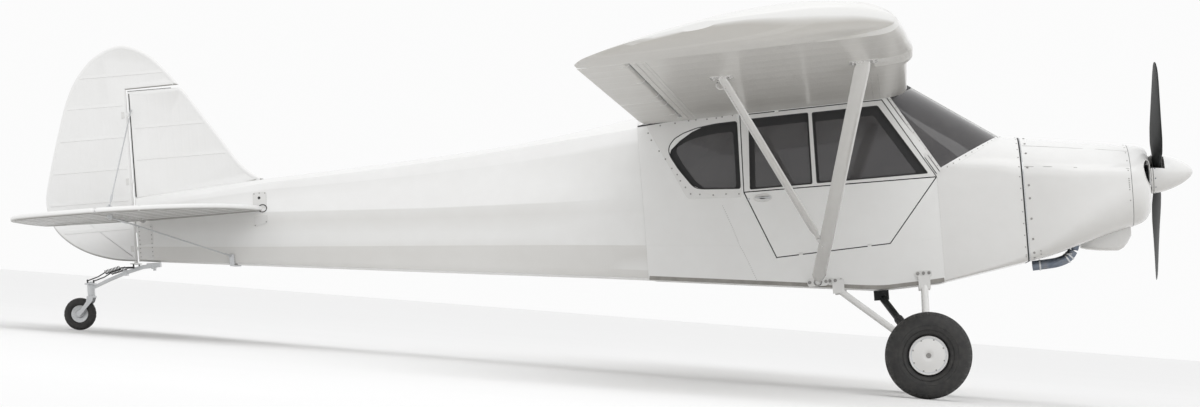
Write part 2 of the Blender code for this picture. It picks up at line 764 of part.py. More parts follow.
def door_lugs(panel, root, paint):
    """The fixed halves of the door hinges: bored eyes on arms from the opening's edge."""
    for edge, places, inward in ((DOOR_TOP, UPPER_HINGES, -1), (DOOR_BOTTOM, LOWER_HINGES, 1)):
        for x in places:
            axis_z = door_axis(edge, x, inward).z
            z0, z1 = sorted((axis_z, axis_z - inward * 0.012))
            eye = put(f"door_eye{inward}{x}", *door_hinge_rod(edge, x, inward, 0.012, 0.0045),
                      paint, root)
            arm = put(f"door_arm{inward}{x}", *box(x - 0.0118, x + 0.0118, -0.3545, -0.3490, z0, z1),
                      paint, root)
            bore = put(f"door_bore{inward}{x}", *door_hinge_rod(edge, x, inward, 0.04, 0.0025),
                       paint, root)
            fuse(eye, arm)
            cut(eye, bore)
            fuse(panel, eye)


def roof_z(x, y):
    """Outer surface of the cabin roof between the wing roots."""
    reach = value_at(HALF_WIDTH, x)
    crown = 0.034 * (1.0 - (y / reach) ** 2)
    front = top_edge(y)
    body = wing_top_z(x) - 0.012 + crown
    ease = smooth((front.x - x) / 0.30)
    return front.z + (body - front.z) * ease


def top_edge(y):
    """The windshield's top edge, which is also the roof's front edge."""
    ratio = abs(y) / 0.355
    (xs, zs), (xc, zc) = WINDSHIELD_TOP_SIDE, WINDSHIELD_TOP_CENTRE
    ease = ratio ** 2
    return Vector((xc + (xs - xc) * ease, y, zc + (zs - zc) * ease))


def build_roof(root, white, glass):
    columns = [-1.0, -0.8, -0.55, -0.28, 0.0, 0.28, 0.55, 0.8, 1.0]
    steps = [0.0, 0.05, 0.11, 0.18, 0.27, 0.40, 0.55, 0.72, 0.87, 1.0]
    front, back = [], []
    for t in steps:
        row_top, row_low = [], []
        for c in columns:
            y_guess = c * (0.355 - SHELL - GAP)
            start = top_edge(y_guess).x - 0.0015
            x = start + (CABIN_REAR + GAP - start) * t
            y = c * (value_at(HALF_WIDTH, x) - SHELL - GAP)
            z = roof_z(x, y)
            row_top.append((x, y, z))
            row_low.append((x, y, z - 0.024))
        front.append(row_top)
        back.append(row_low)
    roof = put("cabin_roof", *sheet(front, back), white, root, 40)
    opening = put("skylight_opening", *box(-1.30, -0.46, -0.235, 0.235, -0.30, 0.40), white, root)
    cut(roof, opening)
    # Skylight: a curved pane that fills the opening
    front, back = [], []
    for k in range(7):
        x = -0.461 - 0.838 * k / 6
        ys = [-0.234 + 0.468 * c / 6 for c in range(7)]
        front.append([(x, y, roof_z(x, y) - 0.004) for y in ys])
        back.append([(x, y, roof_z(x, y) - 0.009) for y in ys])
    put("skylight", *sheet(front, back), glass, root)


def build_boot(root, white, glass, black):
    outer = [hull_ring(*station) for station in BOOT_STATIONS]
    inner = [hull_ring(*station, inset=0.010) for station in BOOT_STATIONS]
    boot = put("boot_cowl", *pipe(outer, inner), white, root, 40)
    x0, x1 = 0.10, 0.5395
    outline = [(x0, boot_plane_z(x0)), (x1, boot_plane_z(x1)), (x1, 0.0), (x0, 0.0)]
    cut(boot, put("boot_opening", *prism_y(outline, -0.5, 0.5), white, root))
    # Firewall
    station = (FIREWALL, -0.3395, -1.105, 0.3555, -0.601, 0.045)
    rings = [[(x, y, z) for _, y, z in hull_ring(*station)] for x in (0.6550, 0.6650)]
    put("firewall", *loft(rings), white, root)
    # Windshield: straight lines from the boot cowl's edge to the roof's front edge
    count = 24
    outer, inner = [], []
    for k in range(count + 1):
        turn = math.pi * k / count
        across = math.cos(turn)
        rows = []
        for inset in (0.001, 0.006):
            base = boot_edge_point(turn, inset)
            base.z += GAP
            top = top_edge(across * (0.355 - SHELL - 0.001 - inset))
            top.x += 0.0065 - inset
            rows.append((base, top))
        outer.append([tuple(rows[0][0]), tuple(rows[0][0].lerp(rows[0][1], 0.5)),
                      tuple(rows[0][1])])
        inner.append([tuple(rows[1][0]), tuple(rows[1][0].lerp(rows[1][1], 0.5)),
                      tuple(rows[1][1])])
    put("windshield", *sheet(outer, inner), glass, root, 40)
    # Instrument panel
    outline = []
    wide = 0.355 - 0.010 - GAP
    for y, z in ((-wide, -0.66), (wide, -0.66), (wide, -0.535), (0.26, -0.455), (0.13, -0.425),
                 (-0.13, -0.425), (-0.26, -0.455), (-wide, -0.535)):
        outline.append((0.200, y, z))
    back = [(0.220, y, z) for _, y, z in outline]
    put("instrument_panel", *loft([outline, back]), black, root)


def build_seats(root, hide, black):
    for name, x in (("front_seat", -0.42), ("rear_seat", -1.24)):
        cushion = put(name, *prism_y([(x - 0.24, -0.80), (x + 0.24, -0.76), (x + 0.24, -0.72),
                                      (x - 0.20, -0.70), (x - 0.31, -0.28), (x - 0.37, -0.28),
                                      (x - 0.30, -0.74)], -0.22, 0.22), hide, root)
        for side in (STARBOARD, PORT):
            y0, y1 = sorted((side * 0.100, side * 0.165))
            fuse(cushion, put(f"{name}_leg{side}", *box(x - 0.20, x + 0.16, y0, y1, FLOOR_Z + GAP,
                                                        -0.76), black, root))
    column = put("control_sticks", *box(-0.92, -0.02, -0.02, 0.02, FLOOR_Z + GAP, FLOOR_Z + 0.03),
                 black, root)
    for k, x in enumerate((-0.06, -0.88)):
        stick = put(f"stick{k}", *rod((x, 0, FLOOR_Z + 0.01), (x - 0.04, 0, -0.50), 0.012, 10,
                                      0.016), black, root)
        fuse(column, stick)


# Nose

def build_nose(root, white, steel, iron, alloy, black):
    outer = [hull_ring(*station) for station in COWL_STATIONS]
    inner = [hull_ring(*station, inset=0.007) for station in COWL_STATIONS]
    cowl = put("engine_cowl", *pipe(outer, inner), white, root, 40)
    well = put("exhaust_well", *loft([circle((0.915, -0.125, -1.20), (0, 0, 1), 0.050, 16, 1.9),
                                      circle((0.915, -0.125, -0.90), (0, 0, 1), 0.050, 16, 1.9)]),
               white, root)
    cut(cowl, well)

    seam = (BOWL_SEAM + GAP, -0.438, -0.938, 0.365, -0.655, 0.225)
    base = hull_ring(*seam)
    centre = Vector((0, 0, THRUST_Z))

    def bowl_ring(x, blend, inset):
        ring = []
        for _, y, z in base:
            spot = Vector((0, y, z)) - centre
            reach = spot.length
            radius = reach + (0.112 - reach) * blend - inset
            ring.append((x, *(centre + spot.normalized() * radius)[1:]))
        return ring

    shape = [(seam[0], 0.0), (1.345, 0.035), (1.380, 0.115), (1.408, 0.26), (1.427, 0.48),
             (BOWL_FRONT, 1.0)]
    outer = [bowl_ring(x, blend, 0.0) for x, blend in shape]
    inner = [bowl_ring(x - (0.0 if i == 0 else 0.0075), blend, 0.0065)
             for i, (x, blend) in enumerate(shape)]
    inner[-1] = bowl_ring(BOWL_FRONT - 0.008, 1.0, 0.0)
    bowl = put("nose_bowl", *pipe(outer, inner), white, root, 40)
    for side in (-1, 1):
        mouth = put(f"inlet_{side}", *loft([circle((x, side * 0.232, -0.628), (1, 0, 0), 0.092, 18,
                                                   0.90) for x in (1.30, 1.50)]), white, root)
        cut(bowl, mouth)

    # Engine: a plain block on its mount, with two cylinders each side
    engine = put("engine_block", *box(0.76, 1.36, -0.14, 0.14, -0.80, -0.50), iron, root)
    mount = put("engine_mount", *box(0.6655 + GAP, 0.80, -0.20, 0.20, -0.86, -0.46), iron, root)
    shaft = put("crankshaft", *rod((1.30, 0, THRUST_Z), (SPINNER_BASE_X - 0.0008, 0, THRUST_Z),
                                   0.060, 20), iron, root)
    fuse(engine, mount, shaft)
    for k, (x, side) in enumerate(((1.22, -1), (1.18, 1), (0.97, -1), (0.93, 1))):
        cylinder = put(f"cylinder{k}", *rod((x, side * 0.10, -0.62), (x, side * 0.300, -0.62),
                                            0.070, 16), iron, root)
        fuse(engine, cylinder)
    sump = put("sump", *box(0.84, 1.16, -0.09, 0.09, -0.90, -0.75), iron, root)
    fuse(engine, sump)

    # Air scoop under the cowl, hollow at its mouth
    stations = [(0.985, -1.0445, 0.060), (1.06, -1.0630, 0.095), (1.215, -1.079, 0.105),
                (1.296, -0.995, 0.105)]
    rings = []
    for x, bottom, half in stations:
        top = value_at([(s[0], s[2]) for s in COWL_STATIONS], x) - GAP
        lift = 0.012
        rings.append([(x, -half, top), (x, -half, bottom + lift), (x, -half + 0.02, bottom),
                      (x, half - 0.02, bottom), (x, half, bottom + lift), (x, half, top)])
    scoop = put("air_scoop", *loft(rings), white, root)
    mouth = put("scoop_mouth", *box(1.13, 1.40, -0.085, 0.085, -1.055, -0.992), white, root)
    cut(scoop, mouth)

    # Exhaust: a bent pipe from the engine's underside to an open end facing aft
    path = [(0.960, -0.125, -0.8018), (0.955, -0.125, -0.93), (0.945, -0.125, -1.03),
            (0.905, -0.125, -1.095), (0.840, -0.125, -1.122), (0.760, -0.125, -1.130),
            (0.680, -0.125, -1.134)]
    path = [Vector(p) for p in resample(path, 11)]
    outer, inner = [], []
    for i, point in enumerate(path):
        run = path[min(i + 1, len(path) - 1)] - path[max(i - 1, 0)]
        outer.append(circle(point, run, 0.030, 14))
        inner.append(circle(point, run, 0.025, 14))
    put("exhaust_pipe", *pipe(outer, inner), steel, root, 50)


# Rear fuselage and tail

def build_rear(root, fabric, white):
    xs = [-1.6603, -1.90, -2.168, -2.456, -2.83, -3.20, -3.58, -4.0, -4.40, -4.70, -4.872]
    fuselage = put("rear_fuselage", *loft([tail_ring(x) for x in xs]), fabric, root)
    slot = put("elevator_slot", *rod((ELEVATOR_HINGE_X, -0.4, STAB_Z),
                                     (ELEVATOR_HINGE_X, 0.4, STAB_Z), 0.026, 16), fabric, root)
    cut(fuselage, slot)
    return fuselage


def outline_plate(name, outline, thick, plane, offset, pivot, paint, bevel=0.010):
    """A flat plate from an outline, with a rounded rim.  plane is xz or xy."""
    inner = shrink(outline, bevel)
    rings = []
    for pts, t in ((inner, -thick / 2), (outline, -thick / 2 + bevel * 0.75),
                   (outline, thick / 2 - bevel * 0.75), (inner, thick / 2)):
        if plane == "xz":
            rings.append([(a, offset + t, b) for a, b in pts])
        else:
            rings.append([(a, b, offset + t) for a, b in pts])
    return put(name, *loft(rings), paint, pivot, 40)


def shrink(outline, margin):
    """Moves each edge of an outline inward by a margin."""
    area = sum(a[0] * b[1] - b[0] * a[1] for a, b in zip(outline, outline[1:] + outline[:1]))
    turn = 1.0 if area > 0 else -1.0
    count, out = len(outline), []
    for i in range(count):
        p0, p1, p2 = (Vector(outline[(i + k) % count]) for k in (-1, 0, 1))
        d1, d2 = (p1 - p0).normalized(), (p2 - p1).normalized()
        n1 = Vector((-d1.y, d1.x)) * turn
        n2 = Vector((-d2.y, d2.x)) * turn
        bisector = (n1 + n2)
        if bisector.length < 1e-6:
            bisector = n1
        bisector.normalize()
        out.append(tuple(p1 + bisector * margin / max(0.45, bisector.dot(n1))))
    return out


def arc_points(points, count):
    """An outline's curved run, smoothed through its points."""
    return [(p[0], p[1]) for p in resample([(a, b, 0.0) for a, b in points], count)]


def lug_z(name, pivot, z, x_from, axis_x, y, radius, half, paint):
    """A hinge lug on an upright hinge line."""
    outline = [(x_from, y - radius), (x_from, y + radius)]
    for i in range(9):
        angle = math.pi / 2 + math.pi * i / 8
        outline.append((axis_x + radius * math.cos(angle), y + radius * math.sin(angle)))
    rings = [[(a, b, level) for a, b in outline] for level in (z - half, z + half)]
    return put(name, *loft(rings), paint, pivot)


RUDDER_HINGES = (0.26, -0.16, -0.585)
ELEVATOR_HINGES = (0.35, 1.05)


def build_tail(stance, white, fabric, alloy, black, steel):
    root = stance
    # Fin: forward of the rudder, on the fuselage's deck
    lead = arc_points([(-4.05, -0.2120), (-4.125, -0.165), (-4.20, -0.090), (-4.30, 0.060),
                       (-4.42, 0.240), (-4.512, 0.376), (-4.545, FIN_TOP_Z)], 12)
    base = [(x, value_at(DECK, x) + GAP + 0.0006) for x in (-4.872, -4.70, -4.40, -4.20)]
    outline = lead + [(FIN_REAR_X, FIN_TOP_Z)] + base
    fin = outline_plate("fin", outline, FIN_THICK, "xz", 0.0, root, fabric, 0.009)
    post = put("fin_post", *box(FIN_REAR_X - 0.0, FIN_REAR_X + 0.0075, -0.013, 0.013, -0.668,
                                FIN_TOP_Z - 0.01), fabric, root)
    cut(post, put("post_trim", *box(-4.8722, -4.80, -0.1, 0.1, -0.75, -0.2605), fabric, root))
    fuse(fin, post)
    for k, z in enumerate(RUDDER_HINGES):
        lug = lug_z(f"fin_lug{k}", root, z, FIN_REAR_X + 0.003, RUDDER_HINGE_X, 0.0, 0.0095, 0.011,
                    white)
        cut(lug, put(f"fin_eye{k}", *rod((RUDDER_HINGE_X, 0, z - 0.04), (RUDDER_HINGE_X, 0, z + 0.04),
                                         0.0045, 12), white, root))
        fuse(fin, lug)

    # Rudder: a balance horn over the fin, and the rounded blade
    rudder_pivot = Pivot("rudder_axis", (RUDDER_HINGE_X, 0.0, 0.0), stance)
    nose_x = RUDDER_HINGE_X + 0.0125
    curve = arc_points([(-4.548, 0.424), (-4.62, 0.520), (-4.74, 0.638), (-4.90, 0.704),
                        (-5.06, 0.655), (-5.18, 0.545), (-5.27, 0.390), (-5.35, 0.150),
                        (-5.425, -0.120), (-5.448, -0.250), (-5.430, -0.360), (-5.385, -0.450),
                        (-5.295, -0.535), (-5.18, -0.600), (-5.04, -0.645), (-4.915, -0.664)], 34)
    outline = curve + [(nose_x, -0.664), (nose_x, 0.4185)]
    rudder = outline_plate("rudder", outline, FIN_THICK, "xz", 0.0, rudder_pivot, fabric, 0.009)
    for k, z in enumerate(RUDDER_HINGES):
        cut(rudder, put(f"rudder_slot{k}", *box(RUDDER_HINGE_X - 0.022, RUDDER_HINGE_X + 0.03, -0.05,
                                                0.05, z - 0.011 - PIN_GAP, z + 0.011 + PIN_GAP),
                        white, rudder_pivot))
        fuse(rudder, put(f"rudder_pin{k}", *rod((RUDDER_HINGE_X, 0, z - 0.025),
                                                (RUDDER_HINGE_X, 0, z + 0.025), 0.0038, 12),
                         white, rudder_pivot))
    boss = put("rudder_boss", *rod((RUDDER_HINGE_X, 0, -0.6840), (RUDDER_HINGE_X, 0, -0.6600),
                                   0.012, 16), white, rudder_pivot)
    horn = put("rudder_horn", *box(RUDDER_HINGE_X - 0.018, RUDDER_HINGE_X + 0.016, -HORN_ARM - 0.012,
                                   HORN_ARM + 0.012, -0.6835, -0.6770), white, rudder_pivot)
    fuse(rudder, boss, horn)

    # Tailplane: fixed stabiliser halves, and the elevator in one piece
    for side, word in ((STARBOARD, "right"), (PORT, "left")):
        lead = arc_points([(-4.052, 0.150), (-4.085, 0.42), (-4.16, 0.76), (-4.28, 1.05),
                           (-4.46, 1.29), (-4.64, 1.42), (-4.80, 1.470)], 14)
        root_edge = [(STAB_REAR_X, 1.472)]
        inner = []
        for x in (STAB_REAR_X, -4.70, -4.40, -4.20, -4.052):
            inner.append((x, max(tail_half_at(x, STAB_Z - 0.02), tail_half_at(x, STAB_Z + 0.02),
                                 tail_half_at(x, STAB_Z)) + 0.0008))
        lead[0] = (-4.052, inner[-1][1])
        outline = lead[:-1] + root_edge + inner[:-1]
        outline = [(x, side * y) for x, y in outline]
        stab = outline_plate("stabiliser_" + word, outline, STAB_THICK, "xy", STAB_Z, root, fabric,
                             0.010)
        for k, y in enumerate(ELEVATOR_HINGES):
            lug = lug_y(f"stab_lug_{word}{k}", root, side * y, STAB_REAR_X + 0.003,
                        ELEVATOR_HINGE_X, STAB_Z, 0.0100, 0.011, white)
            cut(lug, put(f"stab_eye_{word}{k}",
                         *rod((ELEVATOR_HINGE_X, side * y - 0.04, STAB_Z),
                              (ELEVATOR_HINGE_X, side * y + 0.04, STAB_Z), 0.0045, 12), white, root))
            fuse(stab, lug)

    elevator_pivot = Pivot("elevator_axis", (ELEVATOR_HINGE_X, 0.0, STAB_Z), stance)
    elevator = put("elevator", *rod((ELEVATOR_HINGE_X, -0.30, STAB_Z), (ELEVATOR_HINGE_X, 0.30, STAB_Z),
                                    0.0155, 14), white, elevator_pivot)
    nose_x = ELEVATOR_HINGE_X + 0.0150
    for side, word in ((STARBOARD, "right"), (PORT, "left")):
        curve = arc_points([(ELEVATOR_HINGE_X - 0.005, 1.477), (-4.95, 1.475), (-5.15, 1.455),
                            (-5.30, 1.385), (-5.375, 1.24), (-5.39, 1.05), (-5.40, 0.80),
                            (-5.395, 0.52), (-5.385, 0.36)], 20)
        outline = [(nose_x, 1.463)] + curve + [(-5.345, 0.325), (-4.985, 0.140), (-4.860, 0.092),
                                               (nose_x, 0.086)]
        outline = [(x, side * y) for x, y in outline]
        half = outline_plate("elevator_half_" + word, outline, STAB_THICK, "xy", STAB_Z,
                             elevator_pivot, fabric, 0.010)
        for k, y in enumerate(ELEVATOR_HINGES):
            spot = side * y
            cut(half, put(f"elevator_slot_{word}{k}",
                          *box(ELEVATOR_HINGE_X - 0.022, ELEVATOR_HINGE_X + 0.03,
                               spot - 0.011 - PIN_GAP, spot + 0.011 + PIN_GAP, STAB_Z - 0.05,
                               STAB_Z + 0.05), white, elevator_pivot))
            fuse(half, put(f"elevator_pin_{word}{k}", *rod((ELEVATOR_HINGE_X, spot - 0.025, STAB_Z),
                                                           (ELEVATOR_HINGE_X, spot + 0.025, STAB_Z),
                                                           0.0038, 12), white, elevator_pivot))
        fuse(elevator, half)
    # Bracing wires: two above the tailplane through the fin, two below to a keel strap
    wire, foot_x, foot_y = 0.0045, -4.790, 1.150
    fin_x, fin_z = -4.860, 0.285
    keel_x, keel_half, keel_z = -4.27, value_at(HALF_WIDTH, -4.27), value_at(BELLY, -4.27)
    for level, name in ((1, "tail_wires_upper"), (-1, "tail_wires_lower")):
        if level > 0:
            start = Vector((fin_x, FIN_THICK / 2 + 0.010, fin_z))
            middle = rod((fin_x, -0.030, fin_z), (fin_x, 0.030, fin_z), 0.006, 10)
        else:
            start = Vector((keel_x, keel_half + 0.006, -0.683))
            middle = box(keel_x - 0.015, keel_x + 0.015, -keel_half - 0.010, keel_half + 0.010,
                         keel_z - 0.0065, keel_z - 0.0032)
        wires = put(name, *middle, steel, root)
        for side in (STARBOARD, PORT):
            top = STAB_Z + level * (STAB_THICK / 2 + 0.0008)
            foot = (foot_x, side * foot_y, top + level * 0.012)
            spot = (start.x, side * start.y, start.z)
            fuse(wires, put(f"{name}_run{side}", *rod(spot, foot, wire, 8), steel, root))
            z0, z1 = sorted((top, top + level * 0.018))
            fuse(wires, put(f"{name}_foot{side}",
                            *box(foot_x - 0.015, foot_x + 0.015, side * foot_y - 0.012,
                                 side * foot_y + 0.012, z0, z1), steel, root))
            if level < 0:
                y0, y1 = sorted((side * (keel_half + 0.0035), side * (keel_half + 0.0095)))
                fuse(wires, put(f"{name}_strap{side}",
                                *box(keel_x - 0.015, keel_x + 0.015, y0, y1, keel_z - 0.0065,
                                     -0.672), steel, root))
        if level > 0:
            cut(fin, put("wire_hole", *rod((fin_x, -0.05, fin_z), (fin_x, 0.05, fin_z), 0.0066, 10),
                         white, root))


HORN_ARM = 0.085
LINK_Z, LINK_REAR_Z = -0.7025, -0.7655


def build_tailwheel(stance, alloy, tyre_rubber, steel, black):
    root = stance
    # Leaf spring under the tail post, with the pivot's housing at its end
    path = [(-4.765, -0.7000), (-4.86, -0.704), (-4.97, -0.731), (-5.08, -0.768), (-5.184, -0.808)]
    rings = []
    pts = [Vector((x, 0, z)) for x, z in path]
    for i, p in enumerate(pts):
        run = (pts[min(i + 1, len(pts) - 1)] - pts[max(i - 1, 0)]).normalized()
        up = Vector((-run.z, 0, run.x))
        if up.z < 0:
            up = -up
        thick = 0.013 - 0.0012 * i
        rings.append([tuple(p + Vector((0, s, 0)) + up * t) for s, t in
                      ((-0.020, -thick), (0.020, -thick), (0.020, thick), (-0.020, thick))])
    spring = put("tail_spring", *loft(rings), alloy, root)
    housing = put("spring_housing", *rod((TAILWHEEL_PIVOT_X, 0, -0.858), (TAILWHEEL_PIVOT_X, 0, -0.790),
                                         0.024, 16), alloy, root)
    seat = put("spring_seat", *box(-4.83, -4.745, -0.024, 0.024, -0.712, -0.6833), black, root)
    fuse(spring, housing, seat)
    bore = put("housing_bore", *rod((TAILWHEEL_PIVOT_X, 0, -0.95), (TAILWHEEL_PIVOT_X, 0, -0.70),
                                    0.0092, 14), alloy, root)
    cut(spring, bore)

    # Fork: turns about an upright pivot parallel to the rudder's hinge line
    fork_pivot = Pivot("tailwheel_fork_axis", (TAILWHEEL_PIVOT_X, 0.0, -0.85), stance)
    fork = put("tailwheel_fork", *rod((TAILWHEEL_PIVOT_X, 0, -0.872), (TAILWHEEL_PIVOT_X, 0, -0.8590),
                                      0.026, 16), alloy, fork_pivot)
    pin = put("fork_pin", *rod((TAILWHEEL_PIVOT_X, 0, -0.870), (TAILWHEEL_PIVOT_X, 0, -0.7894),
                               0.0085, 14), alloy, fork_pivot)
    cap = put("fork_cap", *rod((TAILWHEEL_PIVOT_X, 0, -0.7894), (TAILWHEEL_PIVOT_X, 0, -0.770),
                               0.014, 14), alloy, fork_pivot)
    arm = put("fork_arm", *box(TAILWHEEL_PIVOT_X - 0.017, TAILWHEEL_PIVOT_X + 0.017,
                               -HORN_ARM - 0.012, HORN_ARM + 0.012, -0.7880, -0.7800), alloy,
              fork_pivot)
    fuse(fork, pin, cap, arm)
    side_y = TAIL_WIDTH / 2 + 0.008
    for side in (STARBOARD, PORT):
        outline = [(TAILWHEEL_PIVOT_X - 0.022, -0.862), (TAILWHEEL_PIVOT_X + 0.022, -0.862),
                   (TAILWHEEL_PIVOT_X + 0.010, -0.895), (TAIL_AXLE[0] + 0.014, -0.975),
                   (TAIL_AXLE[0], -0.984), (TAIL_AXLE[0] - 0.015, -0.972),
                   (TAILWHEEL_PIVOT_X - 0.028, -0.895)]
        y0, y1 = sorted((side * side_y, side * (side_y + 0.007)))
        fuse(fork, put(f"fork_leg{side}", *prism_y(outline, y0, y1), alloy, fork_pivot))
    bridge = put("fork_bridge", *box(TAILWHEEL_PIVOT_X - 0.022, TAILWHEEL_PIVOT_X + 0.022,
                                     -side_y - 0.007, side_y + 0.007, -0.872, -0.8600), alloy,
                 fork_pivot)
    axle = put("fork_axle", *rod((TAIL_AXLE[0], -side_y - 0.008, TAIL_AXLE[1]),
                                 (TAIL_AXLE[0], side_y + 0.008, TAIL_AXLE[1]), 0.0070, 12), alloy,
               fork_pivot)
    fuse(fork, bridge, axle)

    wheel_pivot = Pivot("tailwheel_axle", (TAIL_AXLE[0], 0.0, TAIL_AXLE[1]), fork_pivot)
    build_wheel("tailwheel", (TAIL_AXLE[0], 0.0, TAIL_AXLE[1]), TAIL_RADIUS, TAIL_WIDTH, TAIL_RIM,
                0.0075, wheel_pivot, tyre_rubber, alloy, None)

    # Steering links: they stay parallel to the centreline as rudder and fork turn together
    for side, word in ((STARBOARD, "right"), (PORT, "left")):
        front = Vector((RUDDER_HINGE_X, side * HORN_ARM, LINK_Z))
        rear = Vector((TAILWHEEL_PIVOT_X, side * HORN_ARM, LINK_REAR_Z))
        link_pivot = Pivot("steering_link_axis_" + word, front, stance)
        y = side * HORN_ARM
        bar = [front, (-4.985, y, -0.700), (-5.085, y, -0.722), (-5.13, y, -0.745), rear]
        link = put("steering_link_" + word, *tube(bar, 0.0045, 8), steel, link_pivot)
        coil = put(f"steering_coil{side}", *rod((-4.985, y, -0.700), (-5.085, y, -0.722), 0.013, 12),
                   black, link_pivot)
        stud = put(f"steering_stud{side}", *rod(front - Vector((0, 0, 0.0100)),
                                                front + Vector((0, 0, 0.0177)), 0.0050, 10), steel,
                   link_pivot)
        tail = put(f"steering_tail{side}", *rod(rear + Vector((0, 0, 0.0080)),
                                                rear - Vector((0, 0, 0.0136)), 0.0050, 10), steel,
                   link_pivot)
        fuse(link, coil, stud, tail)


# Wheels

def build_wheel(word, centre, radius, width, rim, bore, pivot, tyre_rubber, alloy, face):
    """A balloon tyre on a hub with a bore; face is the side of its cover disc."""
    half = width / 2
    deep = radius - rim
    profile = [(rim, -0.30 * width), (rim + 0.10 * deep, -0.42 * width),
               (rim + 0.45 * deep, -half), (rim + 0.72 * deep, -0.46 * width),
               (rim + 0.90 * deep, -0.36 * width), (radius, -0.20 * width),
               (radius, 0.20 * width), (rim + 0.90 * deep, 0.36 * width),
               (rim + 0.72 * deep, 0.46 * width), (rim + 0.45 * deep, half),
               (rim + 0.10 * deep, 0.42 * width), (rim, 0.30 * width)]
    sides = 36 if radius > 0.2 else 22
    put(f"{word}_tyre", *lathe(profile, centre, (0, 1, 0), sides, True), tyre_rubber, pivot, 40)
    outer = rim - GAP
    if face is None:
        profile = [(bore, -0.42 * width), (0.4 * rim, -0.42 * width), (0.5 * rim, -0.20 * width),
                   (outer - 0.008, -0.26 * width), (outer, -0.29 * width), (outer, 0.29 * width),
                   (outer - 0.008, 0.26 * width), (0.5 * rim, 0.20 * width),
                   (0.4 * rim, 0.42 * width), (bore, 0.42 * width)]
        put(f"{word}_hub", *lathe(profile, centre, (0, 1, 0), sides, True), alloy, pivot, 40)
        return
    profile = [(bore, -0.34 * width), (0.5 * rim, -0.34 * width), (0.62 * rim, -0.22 * width),
               (outer, -0.27 * width), (outer, 0.415 * width), (outer - 0.004, 0.440 * width),
               (outer - 0.020, 0.440 * width), (outer - 0.028, 0.425 * width),
               (0.018, 0.450 * width), (0.0, 0.450 * width), (0.0, 0.36 * width),
               (bore, 0.36 * width)]
    direction = (0, face, 0)
    put(f"{word}_hub", *lathe(profile, centre, direction, sides, True), alloy, pivot, 40)


# One side of the aircraft: wing, surfaces, struts, gear and wheel

def build_side(side, word, stance, white, fabric, alloy, tyre_rubber, steel):
    root = stance
    wing = build_wing(side, root, fabric, "wing_" + word)
    wing_lugs(wing, side, white, root)
    flap_pivot = Pivot("flap_axis_" + word, (HINGE_X, 0.0, HINGE_Z), stance)
    build_trailing(side, FLAP_SPAN, FLAP_HINGES, "flap_" + word, flap_pivot, fabric)
    aileron_pivot = Pivot("aileron_axis_" + word, (HINGE_X, 0.0, HINGE_Z), stance)
    build_trailing(side, AILERON_SPAN, AILERON_HINGES, "aileron_" + word, aileron_pivot, fabric)

    foot = Vector((STRUT_FOOT[0], side * STRUT_FOOT[1], STRUT_FOOT[2]))
    top = Vector((FRONT_STRUT_TOP_X, side * STRUT_TOP_Y,
                  wing_bottom_z(FRONT_STRUT_TOP_X, STRUT_TOP_Y)))
    front = build_strut("strut_front_" + word, foot, top, FRONT_STRUT_CHORD, FRONT_STRUT_THICK,
                        root, white)
    fitting = put("strut_fitting_" + word,
                  *box(-0.672, -0.588, min(side * 0.3553, side * 0.392), max(side * 0.3553, side * 0.392),
                       -1.158, -1.108), white, root)
    fuse(front, fitting)
    joint = foot.lerp(top, REAR_STRUT_FOOT_RATIO)
    rear_top = Vector((REAR_STRUT_TOP_X, side * STRUT_TOP_Y,
                       wing_bottom_z(REAR_STRUT_TOP_X, STRUT_TOP_Y)))
    run = (rear_top - joint).normalized()
    # The rear strut's foot meets a lug that stands back from the front strut
    lug_dir = run.cross(Vector((1, 0, 0))).normalized()
    wide_dir = lug_dir.cross(run).normalized()
    rings = [[tuple(joint + run * reach + wide_dir * a + lug_dir * b) for a, b in
              ((-0.014, -0.005), (0.014, -0.005), (0.014, 0.005), (-0.014, 0.005))]
             for reach in (0.0, REAR_STRUT_SEAT)]
    fuse(front, put("strut_lug_" + word, *loft(rings), white, root))
    rear_foot = joint + run * (REAR_STRUT_SEAT + GAP)
    build_strut("strut_rear_" + word, rear_foot, rear_top, REAR_STRUT_CHORD, REAR_STRUT_THICK, root,
                white)

    # Gear legs: an upright front tube and a slanting rear tube that meet at the axle
    x, z = MAIN_AXLE
    wheel_y = side * MAIN_TRACK / 2
    knee = Vector((x, side * 0.790, z))
    legs = put("gear_legs_" + word, *rod((0.014, side * 0.352, -1.2125), knee, 0.021, 14), white, root)
    rear = put("gear_rear_" + word, *rod((-0.490, side * 0.352, -1.2070), knee, 0.020, 14), white, root)
    axle = put("axle_" + word, *rod((x, side * AXLE_INNER_Y, z), (x, wheel_y + side * 0.055, z), 0.019, 16),
               steel, root)
    flange = put("flange_" + word, *rod((x, side * 0.800, z), (x, side * 0.822, z), 0.045, 18), steel,
                 root)
    fuse(legs, rear, axle, flange)
    for k, (fx, fz) in enumerate(((0.014, -1.165), (-0.508, -1.150))):
        y0, y1 = sorted((side * 0.3553, side * 0.372))
        low = fz - 0.062
        plate = put(f"gear_lug_{word}{k}", *box(fx - 0.036, fx + 0.036, y0, y1, low, fz + 0.022), white,
                    root)
        fuse(legs, plate)

    wheel_pivot = Pivot("wheel_axis_" + word, (x, wheel_y, z), stance)
    build_wheel("wheel_" + word, (x, wheel_y, z), MAIN_RADIUS, MAIN_WIDTH, RIM_RADIUS, 0.0195,
                wheel_pivot, tyre_rubber, alloy, side)


